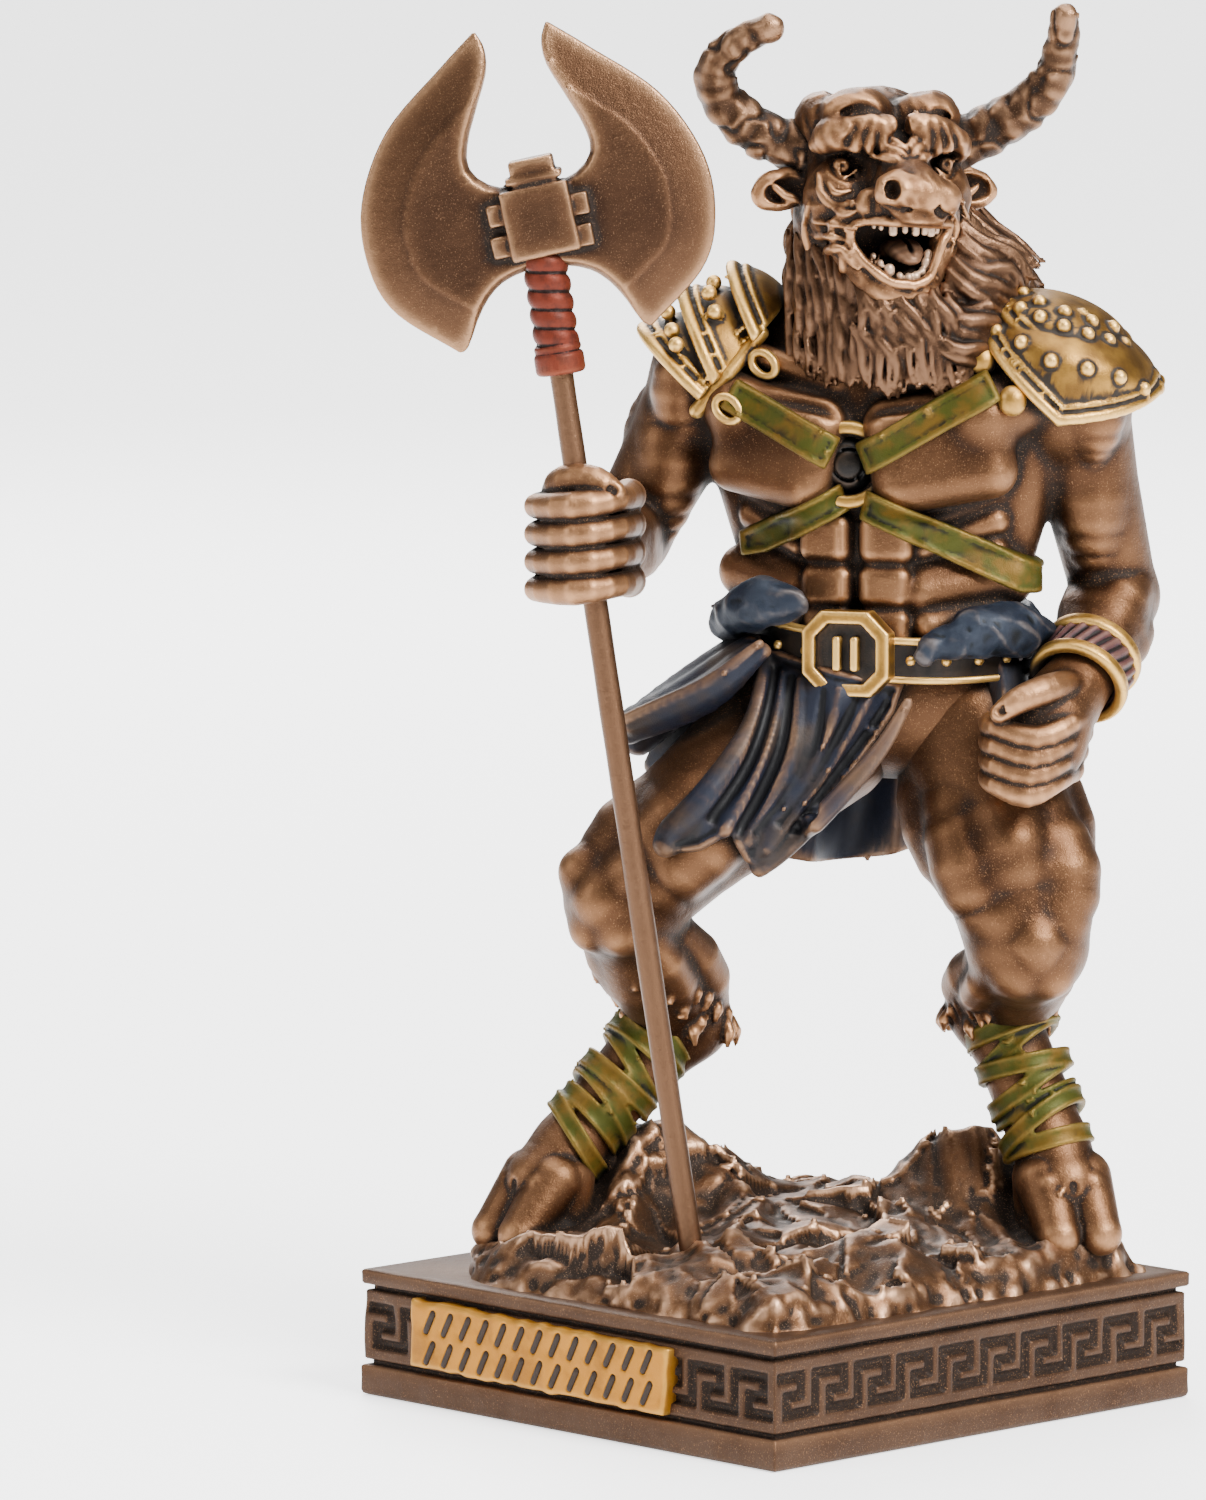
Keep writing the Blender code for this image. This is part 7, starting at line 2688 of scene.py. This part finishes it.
def legs() -> list[Leg]:
    """Both legs."""
    right = Leg(
        "right_leg",
        (
            (2.4, 1.0, 46.0), (-4.8, -1.6, 40.2), (-10.4, -2.9, 34.6), (-8.6, 1.0, 29.8),
            (-6.2, 5.0, 25.4), (-9.4, 3.8, 22.4), (-14.2, 2.0, 16.8),
        ),
        (6.0, 4.9, 4.0, 3.6, 3.0, 2.6, 2.3), -30, (-17.6, -0.6, 10.4), -50, (-23, -10, 8.2), (8.5, 12, 52),
    )
    left = Leg(
        "left_leg",
        (
            (13.2, 0.5, 46.5), (15.4, -1.8, 38.8), (17.0, -3.6, 31.8), (16.4, 0.8, 29.0),
            (14.8, 3.4, 26.4), (16.3, 2.2, 23.4), (18.8, 0.2, 17.2),
        ),
        (5.6, 4.9, 4.2, 3.7, 3.0, 2.6, 2.6), 10, (20.4, -2.6, 10.8), 14, (7, -12, 8.2), (26, 10, 52), seed=4,
    )
    return [right, left]


def horns() -> list[Horn]:
    """Both horns."""
    right = (
        (3.4, -0.8, 85.0), (1.4, -0.8, 85.3), (-1.5, -1.2, 86.5), (-3.6, -1.8, 88.4), (-4.1, -2.6, 90.6),
        (-2.8, -3.6, 92.3), (-0.5, -4.6, 93.4),
    )
    left = (
        (9.8, -0.6, 85.0), (12.1, -0.6, 85.6), (14.6, -1.0, 86.7), (16.8, -1.6, 88.1), (18.4, -2.4, 90.0),
        (19.0, -3.2, 92.2), (19.2, -4.2, 94.2),
    )
    return [Horn("right_horn", right), Horn("left_horn", left)]


def fingers(first: Path, rows: Sequence[Point]) -> list[Path]:
    """The hand's fingers, each one shifted from the one before.

    Args:
        first: The first finger's places.
        rows: How far each of those places shifts from one finger to the next.

    Returns:
        The places of each finger.
    """
    return [np.array(first) + number * np.array(rows) for number in range(FINGERS)]


def fists() -> tuple[Fist, Fist]:
    """The fist round the shaft, and the clenched one."""
    grasp = fingers(
        (
            (-9.9, -6.2, 62.2), (-10.6, -11.6, 62.4), (-13.4, -12.9, 62.0), (-16.0, -9.9, 61.8),
            (-14.6, -8.0, 61.8),
        ),
        ((0, 0, -1.9), (0, 0, -1.9), (0, 0, -1.85), (0, 0, -1.85), (0, 0, -1.8)),
    )
    clench = fingers(
        (
            (20.6, -6.0, 47.6), (19.6, -9.0, 47.2), (17.3, -10.0, 46.3), (14.7, -9.2, 47.0),
            (14.4, -7.4, 47.0),
        ),
        ((-0.3, 0, -1.25), (-0.3, 0, -1.3), (-0.2, 0, -1.25), (0, 0, -1.3), (0, 0, -1.2)),
    )
    right = Fist(
        "right_fist", (-12.6, -9.7, 59.3), (2.3, 2.3, 3.9), grasp,
        ((-14.6, -8.2, 61.4), (-14.2, -10.4, 63.3), (-12.2, -11.8, 63.6), (-10.8, -12.0, 62.9)),
        ((-12.6, -8.2, 59.0), (-12.6, -5.2, 58.4)), (2.6, 2.2),
    )
    left = Fist(
        "left_fist", (17.9, -7.4, 46.2), (3.0, 2.4, 3.4), clench,
        ((19.9, -6.6, 49.6), (18.0, -9.2, 49.5), (16.2, -10.1, 48.9), (14.9, -10.0, 48.0)),
        ((18.6, -6.6, 47.6), (20.6, -4.4, 50.0)), (2.7, 2.3), 0.86,
    )
    return right, left


def main() -> None:
    """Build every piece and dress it."""
    logging.basicConfig(level=logging.INFO, format="%(name)s %(message)s")
    foundry = Foundry()
    body = Body()
    trunk = Trunk(body)
    trunk_casting = trunk.castings()[0]
    pair = legs()
    foundry.take([trunk_casting])
    for leg in pair:
        foundry.take([Casting(leg.name, leg.carve(), keep=0.42)])
    for fist in fists():
        foundry.take([Casting(fist.name, fist.carve(), keep=0.7)])
    wraps = (
        Wrap(
            "right_shin_wrap", (-7.6, 4.4, 25.0), (-14.0, 2.1, 17.0), (2.75, 2.5),
            (0.9, 0.3, 1.2, 0.2, 1.0, 0.5, 1.1),
        ),
        Wrap(
            "left_shin_wrap", (15.5, 3.0, 27.0), (18.8, 0.2, 16.8), (2.95, 2.75),
            (-1.0, -0.2, -1.3, 0.3, -1.1, -0.4, -1.2, 0.1),
        ),
    )
    for wrap in wraps:
        foundry.take([Casting(wrap.name, wrap.carve(), Finish.STRAP, 0.45)])
    foundry.take(Head().castings())
    for horn in horns():
        foundry.take([Casting(horn.name, horn.carve(), Finish.HORN, 0.6)])
    foundry.take([Casting("mane", Mane().carve(), Finish.HAIR, 0.36)])
    foundry.take(Pauldrons(trunk_casting.clay).castings())
    foundry.take(Straps(trunk.armless).castings())
    foundry.take(Belt(body).castings())
    foundry.take(Kilt(body, pair, trunk_casting.clay).castings())
    for bracelet in (
        Bracelet("right_bracelet", (-12.6, -6.0, 58.5), (0.1, 1.0, 0.1), 2.9, (0.0,)),
        Bracelet("left_bracelet", (20.8, -3.7, 50.4), (0.35, 0.75, 0.55), 3.05, (-1.35, 1.35), True),
    ):
        foundry.take(bracelet.castings())
    foundry.take(Rock().castings())
    foundry.take(NamePlate().castings())
    foundry.take(Axe().castings())
    foundry.cast_all()
    Plinth().build(foundry)
    Studio().build(foundry.dresser)
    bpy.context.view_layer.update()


if __name__ == "__main__":
    main()
